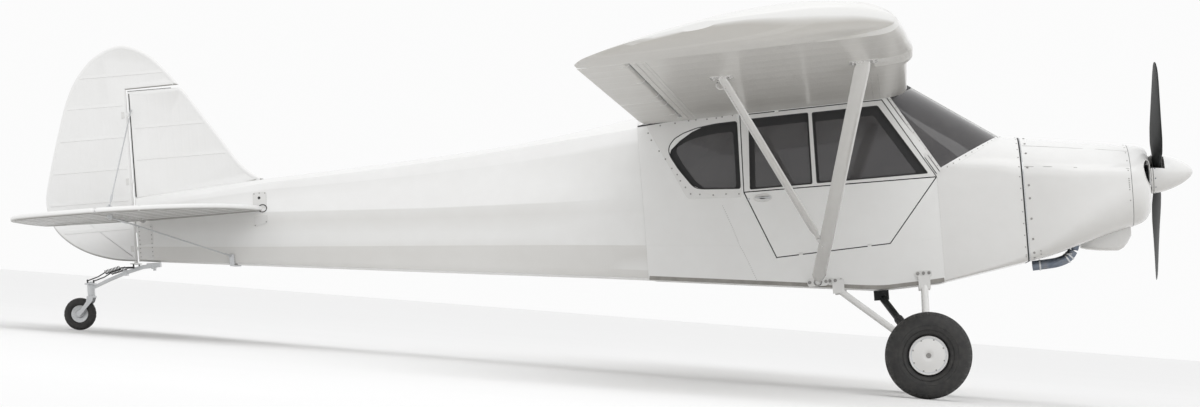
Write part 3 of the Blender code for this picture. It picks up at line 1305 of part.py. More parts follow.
def build_gear_centre(root, black, steel):
    """The shock struts, from a bracket under the belly to the inner ends of the axles."""
    belly = value_at(BELLY, -0.254)
    centre = put("gear_shock_struts", *box(-0.300, -0.208, -0.060, 0.060, belly - 0.060,
                                           belly - 0.0004), black, root)
    for side in (STARBOARD, PORT):
        start = Vector((-0.254, side * 0.030, belly - 0.040))
        end = Vector((-0.010, side * (AXLE_INNER_Y - 0.030), MAIN_AXLE[1]))
        y0, y1 = sorted((side * (AXLE_INNER_Y - 0.048), side * (AXLE_INNER_Y - GAP)))
        fuse(centre, put(f"shock_eye{side}", *box(-0.016, 0.014, y0, y1, MAIN_AXLE[1] - 0.014,
                                                  MAIN_AXLE[1] + 0.014), steel, root))
        run = (end - start).normalized()
        fuse(centre, put(f"shock_{side}", *rod(start, end, 0.022, 14), steel, root))
        fuse(centre, put(f"shock_sleeve{side}", *rod(start + run * 0.30, start + run * 0.62, 0.029, 14),
                         steel, root))


# Propeller

def build_propeller(stance, black, white):
    axis = Vector((1, 0, 0))
    pivot = Pivot("propeller_axis", (PROP_X, 0.0, THRUST_Z), stance)
    centre = Vector((PROP_X, 0.0, THRUST_Z))
    span = Vector((0, -math.sin(PROP_ROLL), math.cos(PROP_ROLL)))
    tangent = axis.cross(span)
    table = [(0.0, 0.060, 0.046, 90.0), (0.060, 0.062, 0.040, 55.0), (0.125, 0.082, 0.028, 34.0),
             (0.22, 0.120, 0.024, 33.0), (0.34, 0.134, 0.020, 29.0), (0.50, 0.136, 0.016, 22.0),
             (0.66, 0.126, 0.013, 17.5), (0.80, 0.108, 0.011, 15.0), (0.88, 0.086, 0.009, 13.8),
             (0.918, 0.055, 0.007, 13.2), (PROP_RADIUS, 0.018, 0.004, 13.0)]
    rows = [(-r, c, t, 180.0 - p) for r, c, t, p in reversed(table[1:])] + table
    rings = []
    for radius, chord, thick, pitch in rows:
        angle = math.radians(pitch)
        chord_dir = tangent * math.cos(angle) + axis * math.sin(angle)
        thick_dir = span.cross(chord_dir)
        rings.append(streamline(centre + span * radius, chord_dir, thick_dir, chord, thick))
    blade = put("propeller", *loft(rings), black, pivot, 50)
    hub = put("propeller_hub", *rod((SPINNER_BASE_X, 0, THRUST_Z), (1.515, 0, THRUST_Z), 0.060, 24),
              black, pivot)
    fuse(blade, hub)

    profile = [(0.0, SPINNER_BASE_X), (SPINNER_RADIUS - 0.004, SPINNER_BASE_X),
               (SPINNER_RADIUS, SPINNER_BASE_X + 0.004), (0.117, 1.475), (0.108, 1.530),
               (0.092, 1.585), (0.068, 1.640), (0.040, 1.682), (0.016, 1.702), (0.0, SPINNER_TIP_X)]
    profile = [(r, a - PROP_X) for r, a in profile]
    spinner = put("spinner", *lathe(profile, centre, axis, 32), white, pivot, 40)
    pocket = put("hub_pocket", *rod((1.40, 0, THRUST_Z), (1.5153, 0, THRUST_Z), 0.0603, 24), white,
                 pivot)
    ring = []
    for radius in (-0.2, 0.2):
        spot = centre + span * radius
        ring.append([tuple(spot + tangent * a + axis * b) for a, b in
                     ((-0.052, -0.050), (0.052, -0.050), (0.052, 0.048), (-0.052, 0.048))])
    window = put("blade_window", *loft(ring), white, pivot)
    cut(spinner, pocket, window)


# Doors

def door_hinge(door, edge, x, inward, pivot, paint):
    """The moving half of a door hinge: a slot round the fixed eye, and a pin across it."""
    axis = door_axis(edge, x, inward)
    z0, z1 = sorted((axis.z + inward * 0.0065, axis.z - inward * 0.02))
    half = 0.012 + PIN_GAP
    cut(door, put(f"{door.name}_slot{x}", *box(x - half, x + half, -0.40, -0.3465, z0, z1), paint,
                  pivot))
    fuse(door, put(f"{door.name}_pin{x}", *door_hinge_rod(edge, x, inward, 0.020, 0.0019), paint,
                   pivot))


def build_doors(stance, white, glass):
    skin = 0.355
    upper_pivot = Pivot("door_upper_axis", door_axis(DOOR_TOP, -0.59, -1), stance)
    frame = put("door_upper_frame", *prism_y(DOOR_UPPER, -skin, -(skin - 0.015)), white, upper_pivot)
    for k, window in enumerate((WINDOW_REAR, WINDOW_FRONT)):
        cut(frame, put(f"door_window{k}", *prism_y(window, -0.5, -0.2), white, upper_pivot))
    for x in UPPER_HINGES:
        door_hinge(frame, DOOR_TOP, x, -1, upper_pivot, white)
    pane_y = -(skin - 0.015 - GAP)
    put("door_upper_glass", *prism_y(LONG_PANE, pane_y, pane_y + 0.004), glass, upper_pivot)
    lower_pivot = Pivot("door_lower_axis", door_axis(DOOR_BOTTOM, -0.521, 1), stance)
    lower = put("door_lower", *prism_y(DOOR_LOWER, -skin, -(skin - SHELL)), white, lower_pivot)
    for x in LOWER_HINGES:
        door_hinge(lower, DOOR_BOTTOM, x, 1, lower_pivot, white)
    print("door axes", [round(v, 5) for v in (*upper_pivot.point, *lower_pivot.point)])


def stand(stance):
    """Turns the aircraft to its parked angle and sets it on the ground, centred."""
    dx = MAIN_AXLE[0] - TAIL_AXLE[0]
    dz = TAIL_AXLE[1] - MAIN_AXLE[1]
    reach = math.hypot(dx, dz)
    angle = math.atan2(dz, dx) + math.asin((MAIN_RADIUS - TAIL_RADIUS) / reach)
    stance.empty.rotation_euler = (0.0, -angle, 0.0)
    bpy.context.view_layer.update()
    depsgraph = bpy.context.evaluated_depsgraph_get()
    low, high = Vector((1e9,) * 3), Vector((-1e9,) * 3)
    for obj in bpy.data.objects:
        if obj.type != "MESH" or obj.hide_render:
            continue
        mesh = obj.evaluated_get(depsgraph).to_mesh()
        matrix = obj.matrix_world
        for vertex in mesh.vertices:
            point = matrix @ vertex.co
            low = Vector(map(min, low, point))
            high = Vector(map(max, high, point))
    stance.empty.location = (-(low.x + high.x) / 2, 0.0, -low.z)
    print("ground angle", round(math.degrees(angle), 5))
    print("hinge z", round(HINGE_Z, 6))
    print("propeller x", PROP_X)
    print("stance location", [round(v, 5) for v in stance.empty.location])
    print("box", [round(v, 4) for v in high - low])


main()
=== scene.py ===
# %% [markdown]
# A high-winged light aircraft with a tail wheel, dressed over its CAD frame.
#
# Lengths are in metres. Pieces are drawn in the aircraft's own level frame, where the
# wing root's leading edge is the origin, +X is forward, +Y is to port and +Z is up.
# Each piece is then turned into the parked stance with its points baked in, so that it
# lies on the CAD frame without any fitting.

# %% Setup
import json
import math

import bmesh
import bpy
import numpy as np
from mathutils import Matrix, Vector

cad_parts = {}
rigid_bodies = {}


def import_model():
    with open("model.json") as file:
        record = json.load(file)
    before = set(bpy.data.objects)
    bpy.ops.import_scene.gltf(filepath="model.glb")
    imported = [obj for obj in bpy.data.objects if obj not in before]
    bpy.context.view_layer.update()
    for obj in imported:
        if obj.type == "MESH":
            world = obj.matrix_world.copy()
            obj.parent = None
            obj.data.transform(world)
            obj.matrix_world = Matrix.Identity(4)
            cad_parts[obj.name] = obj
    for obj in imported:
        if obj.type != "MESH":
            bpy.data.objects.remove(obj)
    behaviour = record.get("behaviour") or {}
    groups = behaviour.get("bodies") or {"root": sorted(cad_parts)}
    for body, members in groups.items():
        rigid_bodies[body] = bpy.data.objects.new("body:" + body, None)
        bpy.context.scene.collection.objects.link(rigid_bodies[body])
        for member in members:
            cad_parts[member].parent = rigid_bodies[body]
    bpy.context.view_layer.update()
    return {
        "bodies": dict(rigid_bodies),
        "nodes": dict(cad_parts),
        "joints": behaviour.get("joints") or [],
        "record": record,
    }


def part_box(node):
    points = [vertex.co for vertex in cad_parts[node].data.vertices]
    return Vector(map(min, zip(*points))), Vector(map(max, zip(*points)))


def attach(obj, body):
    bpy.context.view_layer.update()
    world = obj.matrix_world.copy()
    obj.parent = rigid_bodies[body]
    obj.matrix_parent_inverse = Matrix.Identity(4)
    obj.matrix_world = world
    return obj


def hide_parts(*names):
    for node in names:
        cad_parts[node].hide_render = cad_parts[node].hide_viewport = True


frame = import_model()
NODES = frame["nodes"]
STARBOARD, PORT = -1, 1
SIDES = ((STARBOARD, "right"), (PORT, "left"))

# The stance comes from the two wheels' middles: where they are level, and where they stand
MAIN_LEVEL, TAIL_LEVEL = (0.0, -1.627), (-5.280, -0.967)


def middle(node):
    low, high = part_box(node)
    return (low + high) / 2


main_hub, tail_hub = middle("wheel_right_tyre"), middle("tailwheel_tyre")
level_slope = math.atan2(MAIN_LEVEL[1] - TAIL_LEVEL[1], MAIN_LEVEL[0] - TAIL_LEVEL[0])
stood_slope = math.atan2(main_hub.z - tail_hub.z, main_hub.x - tail_hub.x)
NOSE_UP = stood_slope - level_slope
COS, SIN = math.cos(NOSE_UP), math.sin(NOSE_UP)
BASE_X = main_hub.x - (MAIN_LEVEL[0] * COS - MAIN_LEVEL[1] * SIN)
BASE_Z = main_hub.z - (MAIN_LEVEL[0] * SIN + MAIN_LEVEL[1] * COS)
STANCE = Matrix.Translation((BASE_X, 0, BASE_Z)) @ Matrix.Rotation(-NOSE_UP, 4, "Y")
print("nodes", len(NODES), "nose up", round(math.degrees(NOSE_UP), 3), "base", round(BASE_X, 4),
      round(BASE_Z, 4))

# %% [markdown]
# The camera comes first. The photograph was taken from far off the starboard side with a
# long lens held low, so the wing is seen from below and its tip comes close to the lens.
# The numbers are the viewing point and aim in the aircraft's level frame.

# %% Camera
FOCAL_PIXELS, IMAGE_WIDTH = 3557.0, 1200.0
EYE = Vector((-0.1279, -22.06, -1.4838))
PAN, TILT, LEAN = 4.898, 2.085, 4.4


def place_camera():
    pan, tilt = math.radians(PAN), math.radians(TILT)
    forward = Vector((-math.sin(pan) * math.cos(tilt), math.cos(pan) * math.cos(tilt), math.sin(tilt)))
    right = Vector((math.cos(pan), math.sin(pan), 0.0))
    up = right.cross(forward)
    lean = Matrix.Rotation(math.radians(LEAN), 3, "Y")
    columns = Matrix((lean @ right, lean @ up, lean @ -forward)).transposed().to_4x4()
    columns.translation = EYE
    data = bpy.data.cameras.new("camera")
    data.sensor_width = 36.0
    data.lens = FOCAL_PIXELS / IMAGE_WIDTH * 36.0
    data.clip_end = 500.0
    camera = bpy.data.objects.new("camera", data)
    bpy.context.scene.collection.objects.link(camera)
    camera.matrix_world = STANCE @ columns
    bpy.context.scene.camera = camera
    return camera


camera = place_camera()
print("camera", [round(v, 3) for v in camera.matrix_world.translation], "lens", round(camera.data.lens, 2))

# %% [markdown]
# Shader maths reads like plain arithmetic through one small class. It wraps a socket, and
# adding or multiplying two of them adds the Math node. One method makes any other node.

# %% Shader arithmetic
class Field:
    """A varying value in a material, with arithmetic that adds nodes."""

    def __init__(self, tree, socket):
        self.tree, self.socket = tree, socket

    def node(self, kind, output=0, inputs=None, stops=(), **settings):
        """Any node: its settings and a ramp's stops first, then its sockets' values or links."""
        made = self.tree.nodes.new(kind)
        for key, value in settings.items():
            setattr(made, key, value)
        if stops:
            elements = made.color_ramp.elements
            while len(elements) < len(stops):
                elements.new(0.5)
            for element, (position, colour) in zip(elements, stops):
                element.position = position
                element.color = (*colour, 1.0)
        for key, value in (inputs or {}).items():
            if isinstance(value, Field):
                self.tree.links.new(value.socket, made.inputs[key])
            else:
                made.inputs[key].default_value = value
        return Field(self.tree, made.outputs[output])

    def math(self, operation, *others, clamp=False):
        inputs = {0: self}
        for i, other in enumerate(others):
            inputs[i + 1] = other
        return self.node("ShaderNodeMath", inputs=inputs, operation=operation, use_clamp=clamp)

    def __add__(self, other):
        return self.math("ADD", other)

    __radd__ = __add__

    def __mul__(self, other):
        return self.math("MULTIPLY", other)

    __rmul__ = __mul__

    def __sub__(self, other):
        return self.math("SUBTRACT", other)

    def __rsub__(self, other):
        return (self * -1.0) + other

    def over(self, edge, soft):
        """0 below the edge and 1 above it, with a soft step."""
        return ((self - edge) * (0.5 / soft) + 0.5).math("MULTIPLY", 1.0, clamp=True)

    def under(self, edge, soft):
        return 1.0 - self.over(edge, soft)

    def stripes(self, spacing, width, soft, offset=0.0):
        """1 in bands of a width about every multiple of a spacing."""
        distance = (self - (offset - spacing / 2)).math("FLOORED_MODULO", spacing) - spacing / 2
        return distance.math("ABSOLUTE").under(width / 2, soft)

    def noise(self, scale, detail=3.0, rough=0.5, stretch=(1, 1, 1)):
        moved = self.node("ShaderNodeMapping", inputs={0: self, 3: stretch})
        return self.node("ShaderNodeTexNoise", 0, {"Vector": moved, "Scale": scale, "Detail": detail,
                                                  "Roughness": rough})

    def ramp(self, *stops):
        """A colour for each (position, colour) stop."""
        return self.node("ShaderNodeValToRGB", inputs={0: self}, stops=stops)

    def mix(self, first, second):
        """The first colour where this is 0, and the second where it is 1."""
        low, high = (value if isinstance(value, Field) else (*value, 1.0) for value in (first, second))
        return self.node("ShaderNodeMix", 2, {0: self, 6: low, 7: high}, data_type="RGBA")


class Place:
    """Where a shaded point is in the aircraft's level frame, and how far its face looks up."""

    def __init__(self, tree):
        bare = Field(tree, None)
        start = bare.node("ShaderNodeTexCoord", "Object")
        self.point = start.node("ShaderNodeMapping", inputs={0: start, 1: (BASE_X, 0.0, BASE_Z),
                                                             2: (0.0, -NOSE_UP, 0.0)}, vector_type="TEXTURE")
        parts = self.point.node("ShaderNodeSeparateXYZ", inputs={0: self.point}).socket.node.outputs
        self.x, self.y, self.z = (Field(tree, socket) for socket in parts)
        normal = bare.node("ShaderNodeNewGeometry", "Normal")
        self.up = normal.node("ShaderNodeSeparateXYZ", 2, {0: normal})
        self.wide = self.y.math("ABSOLUTE")


def material(name, recipe, bump=0.001, **uniform):
    """A Principled material. The recipe returns what varies; the rest is set on its sockets."""
    made = bpy.data.materials.new(name)
    made.use_nodes = True
    tree = made.node_tree
    shader = tree.nodes["Principled BSDF"]
    for key, value in uniform.items():
        shader.inputs[key.replace("_", " ")].default_value = value
    for key, value in recipe(Place(tree)).items():
        if key == "Height":
            height = value.node("ShaderNodeBump", inputs={"Height": value, "Strength": 1.0, "Distance": bump})
            tree.links.new(height.socket, shader.inputs["Normal"])
        else:
            tree.links.new(value.socket, shader.inputs[key])
    return made


# %% [markdown]
# The paints. White enamel lies smooth on the metal nose and with a faint weave, ribs and
# stitched tapes on the fabric of the wings and tail. Shade is painted in: the paint is
# darker where a face looks down, and on the metal, the fuselage's cloth and the tail it is
# painted paler where a face looks up, as painted light. Grime gathers in soft patches.

# %% Paints
RIB_SPACING, RIB_START = 0.3695, 0.3553


def grime(p, scale=1.6):
    return p.point.noise(scale, 4.0, 0.6) * 0.7 + p.point.noise(scale * 7, 3.0, 0.5) * 0.3


def metal_paint(p):
    # Grime darkens the paint in soft patches, and painted shade darkens faces that look down.
    darkening = grime(p).over(0.60, 0.30) * 0.22 + p.up.under(-0.30, 0.45) * 0.60
    # Painted light: faces that look up are painted a paler white than the sides.
    white_with_painted_light = p.up.over(0.45, 0.50).mix((0.755, 0.752, 0.742), (0.90, 0.90, 0.895))
    colour = darkening.mix(white_with_painted_light, (0.50, 0.485, 0.455))
    peel = p.point.noise(260.0, 2.0)
    return {"Base Color": colour, "Roughness": 0.17 + grime(p, 3.0) * 0.14,
            "Height": peel * 0.25 + p.point.noise(9.0, 2.0) * 0.6}


def fabric_paint(p):
    # Grime darkens the cloth in soft patches; painted shade darkens the facets that look a little down, and
    # the belly more.
    darkening = grime(p).over(0.60, 0.30) * 0.20 + p.up.under(-0.035, 0.02) * 0.36 + p.up.under(-0.60, 0.35) * 0.15
    # Painted light: the facets that look a little up are painted a paler white.
    white_with_painted_light = p.up.over(0.03, 0.02).mix((0.80, 0.80, 0.79), (0.885, 0.885, 0.88))
    colour = darkening.mix(white_with_painted_light, (0.52, 0.50, 0.465))
    weave = p.point.noise(420.0, 1.0)
    return {"Base Color": colour, "Roughness": 0.24 + grime(p, 2.5) * 0.16,
            "Height": weave * 0.35 + p.point.noise(5.0, 2.0) * 0.7}


def wing_paint(p):
    tape = p.wide.stripes(RIB_SPACING, 0.050, 0.006, RIB_START)
    stitches = p.wide.stripes(RIB_SPACING, 0.006, 0.003, RIB_START) * p.x.stripes(0.065, 0.012, 0.006)
    sag = p.wide.math("SUBTRACT", RIB_START).math("MULTIPLY", 2 * math.pi / RIB_SPACING).math("COSINE")
    # Painted shade: the underside is painted a darker beige grey, in both the clean and the grimy tone.
    underside_shade = p.up.under(-0.45, 0.30)
    darkening = grime(p, 0.9).over(0.52, 0.35) * 0.35
    plain = underside_shade.mix((0.82, 0.82, 0.81), (0.520, 0.503, 0.470))
    worn = underside_shade.mix((0.74, 0.73, 0.71), (0.400, 0.385, 0.355))
    colour = darkening.mix(plain, worn)
    # Under the wing the tapes and stitches are painted paler than the painted shade on the cloth between
    # them.
    underside_tapes = (tape * 0.28 + stitches * 0.2) * underside_shade
    return {"Base Color": underside_tapes.mix(colour, (0.62, 0.605, 0.575)), "Roughness": 0.26 + grime(p, 2.0) * 0.16,
            "Height": tape * 0.45 + stitches * 0.8 + sag * 0.9 + p.point.noise(420.0, 1.0) * 0.2}


PAINT_METAL = material("paint_metal", metal_paint, 0.0006, Coat_Weight=0.5, Coat_Roughness=0.08)
PAINT_FABRIC = material("paint_fabric", fabric_paint, 0.0008, Coat_Weight=0.35, Coat_Roughness=0.12)
PAINT_WING = material("paint_wing", wing_paint, 0.0011, Coat_Weight=0.30, Coat_Roughness=0.14)

print("paints", len(bpy.data.materials))

# %% [markdown]
# The other stuffs: tinted acrylic, tyre rubber, blued steel, bare alloy, flat black paint,
# engine iron, seat leather, seal strips, worn rivet heads and the black bands on the windows,
# which are painted shade. Most wear in spots, so one noise varies colour and roughness
# together. The cabin's walls and floor are white cloth outside and a grey lining or matting
# inside.

# %% Other materials
def speckled(grain, stops, roughness, height=0.0, fine=None, fine_height=0.0):
    """A recipe in which one noise varies colour, roughness and, if asked, height."""
    def recipe(p):
        spots = p.point.noise(*grain)
        varied = {"Base Color": spots.ramp(*stops), "Roughness": roughness[0] + spots * roughness[1]}
        heights = [p.point.noise(*fine) * fine_height] if fine else []
        if height:
            heights.append(spots * height)
        if heights:
            varied["Height"] = heights[0] if len(heights) == 1 else heights[0] + heights[1]
        return varied
    return recipe


def glass_recipe(p):
    smear = p.point.noise(6.0, 4.0, 0.6)
    return {"Base Color": smear.ramp((0.3, (0.052, 0.049, 0.052)), (0.75, (0.074, 0.070, 0.071))),
            "Roughness": 0.03 + smear.over(0.55, 0.2) * 0.05,
            "Alpha": 0.80 + smear * 0.10}


def leather_recipe(p):
    cells = p.point.node("ShaderNodeTexVoronoi", 0, {"Vector": p.point, "Scale": 420.0})
    folds = p.point.noise(9.0, 4.0)
    return {"Base Color": folds.ramp((0.3, (0.050, 0.044, 0.040)), (0.8, (0.105, 0.092, 0.084))),
            "Roughness": 0.42 + folds * 0.22, "Height": cells * 0.7 + folds * 0.8}


def lined(p, share, dark, pale):
    """White cloth, with a napped lining over it where share is 1."""
    skin = fabric_paint(p)
    lining = p.point.noise(300.0, 3.0).ramp((0.3, dark), (0.8, pale))
    skin["Base Color"] = share.mix(skin["Base Color"], lining)
    skin["Roughness"] = skin["Roughness"] + share * 0.4
    return skin


def cabin_recipe(p):
    taper = (p.x + 1.0).math("MINIMUM", 0.0) * 0.0303
    inside = (p.wide - taper).under(0.3450, 0.0030) * p.up.under(0.30, 0.10)
    return lined(p, inside, (0.150, 0.145, 0.140), (0.23, 0.225, 0.22))


def floor_recipe(p):
    return lined(p, p.up.over(-0.30, 0.10), (0.060, 0.058, 0.056), (0.115, 0.110, 0.106))


RUBBER_STOPS = ((0.35, (0.017, 0.017, 0.017)), (0.85, (0.050, 0.047, 0.044)))
STEEL_STOPS = ((0.25, (0.10, 0.125, 0.17)), (0.55, (0.21, 0.235, 0.275)), (0.85, (0.30, 0.27, 0.24)))
ALLOY_STOPS = ((0.3, (0.50, 0.51, 0.52)), (0.7, (0.68, 0.69, 0.70)))
BLACK_STOPS = ((0.35, (0.012, 0.013, 0.013)), (0.85, (0.040, 0.042, 0.042)))
IRON_STOPS = ((0.3, (0.05, 0.055, 0.06)), (0.8, (0.16, 0.165, 0.17)))
SEAL_STOPS = ((0.3, (0.016, 0.016, 0.017)), (0.9, (0.050, 0.049, 0.048)))
HEADS_STOPS = ((0.3, (0.24, 0.235, 0.225)), (0.8, (0.38, 0.37, 0.355)))
SHADE_BAND_STOPS = ((0.3, (0.010, 0.010, 0.011)), (0.9, (0.022, 0.021, 0.021)))
EDGE_STOPS = ((0.3, (0.235, 0.225, 0.205)), (0.8, (0.36, 0.345, 0.32)))

GLASS = material("tinted_acrylic", glass_recipe, Coat_Weight=0.6, Coat_Roughness=0.03, IOR=1.49)
RUBBER = material("tyre_rubber", speckled((28.0, 5.0, 0.65), RUBBER_STOPS, (0.46, 0.25), 0.3, (320.0, 3.0),
                                          0.5),
                  0.0009)
STEEL = material("blued_steel", speckled((14.0, 4.0, 0.6), STEEL_STOPS, (0.32, 0.25), fine=(180.0,),
                                         fine_height=0.5), 0.0004, Metallic=0.85)
ALLOY = material("bare_alloy", speckled((90.0, 3.0, 0.6, (1.0, 1.0, 9.0)), ALLOY_STOPS, (0.26, 0.22), 0.4),
                 0.0003, Metallic=0.9)
BLACK = material("black_enamel", speckled((11.0, 5.0, 0.6), BLACK_STOPS, (0.34, 0.22), fine=(240.0,),
                                          fine_height=0.4), 0.0004, Specular_IOR_Level=0.22)
IRON = material("engine_iron", speckled((40.0, 4.0), IRON_STOPS, (0.45, 0.25), 0.8), 0.0010, Metallic=0.6)
LEATHER = material("seat_hide", leather_recipe, 0.0008)
SEAL = material("seal_strip", speckled((60.0, 3.0), SEAL_STOPS, (0.55, 0.25), 0.4), 0.0004)
PAINT_GREY = material("worn_heads", speckled((70.0, 3.0), HEADS_STOPS, (0.35, 0.25), 0.3), 0.0003)
# The black window bands are painted shade: they stand for the cabin's shadowed inside.
SHADE_BAND = material("window_shade_band", speckled((25.0, 3.0), SHADE_BAND_STOPS, (0.45, 0.2)))
DARK_EDGE_PAINT = material("dark_edge_strip", speckled((12.0, 4.0, 0.6), EDGE_STOPS, (0.35, 0.25), 0.3), 0.0003)
BELLY_PAINT = material("belly_and_matting", floor_recipe, 0.0006)
PAINT_CABIN = material("paint_cabin", cabin_recipe, 0.0008, Coat_Weight=0.2, Coat_Roughness=0.12)
print("materials", len(bpy.data.materials))


def dress(node, stuff):
    """Gives a CAD node a better material in every slot it has."""
    obj = NODES[node]
    if not obj.data.materials:
        obj.data.materials.append(stuff)
    for i in range(len(obj.data.materials)):
        obj.data.materials[i] = stuff


# %% [markdown]
# The stage is a plain pale floor under a white surround, with a soft key light from high
# on the camera's side and a wide fill, as on an open apron under a bright sky.

# %% Stage and light
def make_stage():
    floor_mesh = bpy.data.meshes.new("floor")
    reach = 220.0
    floor_mesh.from_pydata([(-reach, -reach, 0), (reach, -reach, 0), (reach, reach, 0), (-reach, reach, 0)],
                           [], [(0, 1, 2, 3)])
    floor = bpy.data.objects.new("floor", floor_mesh)
    bpy.context.scene.collection.objects.link(floor)
    floor_mesh.materials.append(material("floor_pale", lambda p: {
        "Base Color": p.point.noise(0.6, 2.0).ramp((0.3, (0.895, 0.895, 0.895)),
                                                   (0.7, (0.905, 0.905, 0.905)))},
        Roughness=0.9))
    world = bpy.data.worlds.new("surround")
    bpy.context.scene.world = world
    world.use_nodes = True
    background = world.node_tree.nodes["Background"]
    background.inputs["Color"].default_value = (1.0, 1.0, 1.0, 1.0)
    background.inputs["Strength"].default_value = 0.97


def area_light(name, place, aim, size, watts):
    data = bpy.data.lights.new(name, "AREA")
    data.shape, data.size, data.size_y = "RECTANGLE", size[0], size[1]
    data.energy = watts
    lamp = bpy.data.objects.new(name, data)
    bpy.context.scene.collection.objects.link(lamp)
    lamp.location = place
    lamp.rotation_euler = (Vector(aim) - Vector(place)).to_track_quat("-Z", "Y").to_euler()
    return lamp


make_stage()
area_light("key", (4.0, -9.0, 13.0), (0.0, 0.0, 1.0), (12.0, 8.0), 380.0)
bpy.context.scene.view_settings.view_transform = "Standard"
print("stage made")

# %% [markdown]
# Every CAD node first gets the material of its kind.

# %% Nodes' materials
KINDS = (("tyre", RUBBER), ("glass", GLASS), ("windshield", GLASS), ("skylight", GLASS),
         ("engine_block", IRON),
         ("exhaust", STEEL), ("propeller", BLACK), ("seat", LEATHER), ("wing_", PAINT_WING),
         ("flap", PAINT_WING),
         ("aileron", PAINT_WING), ("stab", PAINT_FABRIC), ("elevator", PAINT_FABRIC), ("fin", PAINT_FABRIC),
         ("rudder", PAINT_FABRIC), ("fuselage", PAINT_FABRIC), ("cabin_side", PAINT_CABIN),
         ("cabin_floor", BELLY_PAINT), ("cabin_roof", PAINT_CABIN), ("door_lower", PAINT_CABIN),
         ("door_upper_frame", PAINT_METAL), ("instrument", BLACK), ("control_sticks", BLACK),
         ("shock", BLACK),
         ("tail_spring", ALLOY), ("tailwheel_fork", ALLOY), ("hub", ALLOY), ("tail_wires", ALLOY),
         ("steering", STEEL), ("firewall", ALLOY))


def base_materials():
    for name in NODES:
        stuff = next((made for key, made in KINDS if key in name), PAINT_METAL)
        dress(name, stuff)


base_materials()
print("nodes dressed", len(NODES))

# %% [markdown]
# Each piece is drawn point by point from a few simple forms: lofts, bars, turned shapes,
# rivet heads and flat strips. A Shape collects them, and its last call makes the mesh,
# turns it into the stance and lets it ride on its CAD body.

# %% Shapes
def value_at(table, x):
    """Reads a straight-line table of (x, value) pairs at x."""
    rows = sorted(table)
    return float(np.interp(x, [r[0] for r in rows], [r[1] for r in rows]))


def smooth(t):
    t = min(1.0, max(0.0, t))
    return t * t * (3.0 - 2.0 * t)


def basis(direction):
    d = Vector(direction).normalized()
    helper = Vector((0, 0, 1)) if abs(d.z) < 0.9 else Vector((1, 0, 0))
    a = helper.cross(d).normalized()
    return a, d.cross(a).normalized(), d


def circle(centre, direction, radius, sides=16, squash=1.0):
    a, b, _ = basis(direction)
    turns = [2 * math.pi * i / sides for i in range(sides)]
    return [Vector(centre) + a * radius * math.cos(t) + b * radius * squash * math.sin(t) for t in turns]


def resample(curve, count):
    """Even steps along a smooth curve through the given points."""
    pts = [Vector(p) for p in curve]
    fine = []
    for i in range(len(pts) - 1):
        p0, p1, p2, p3 = pts[max(0, i - 1)], pts[i], pts[i + 1], pts[min(len(pts) - 1, i + 2)]
        for k in range(12):
            t = k / 12
            fine.append(0.5 * (2 * p1 + (p2 - p0) * t + (2 * p0 - 5 * p1 + 4 * p2 - p3) * t * t
                               + (3 * p1 - p0 - 3 * p2 + p3) * t ** 3))
    fine.append(pts[-1])
    runs = np.cumsum([0.0] + [(b - a).length for a, b in zip(fine, fine[1:])])
    goals = np.linspace(0.0, runs[-1], count)
    columns = [np.interp(goals, runs, [p[axis] for p in fine]) for axis in range(3)]
    return [Vector(p) for p in zip(*columns)]


def streamline(centre, chord_dir, thick_dir, chord, thick):
    """A streamlined bar's section: round nose, fine tail."""
    half = [(0.5, 0.0), (0.48, 0.16), (0.42, 0.32), (0.33, 0.44), (0.22, 0.50), (0.08, 0.50), (-0.05, 0.47),
            (-0.20, 0.37), (-0.32, 0.25), (-0.42, 0.13), (-0.50, 0.03)]
    shape = half + [(a, -b) for a, b in reversed(half[1:])]
    return [Vector(centre) + chord_dir * chord * a + thick_dir * thick * b for a, b in shape]


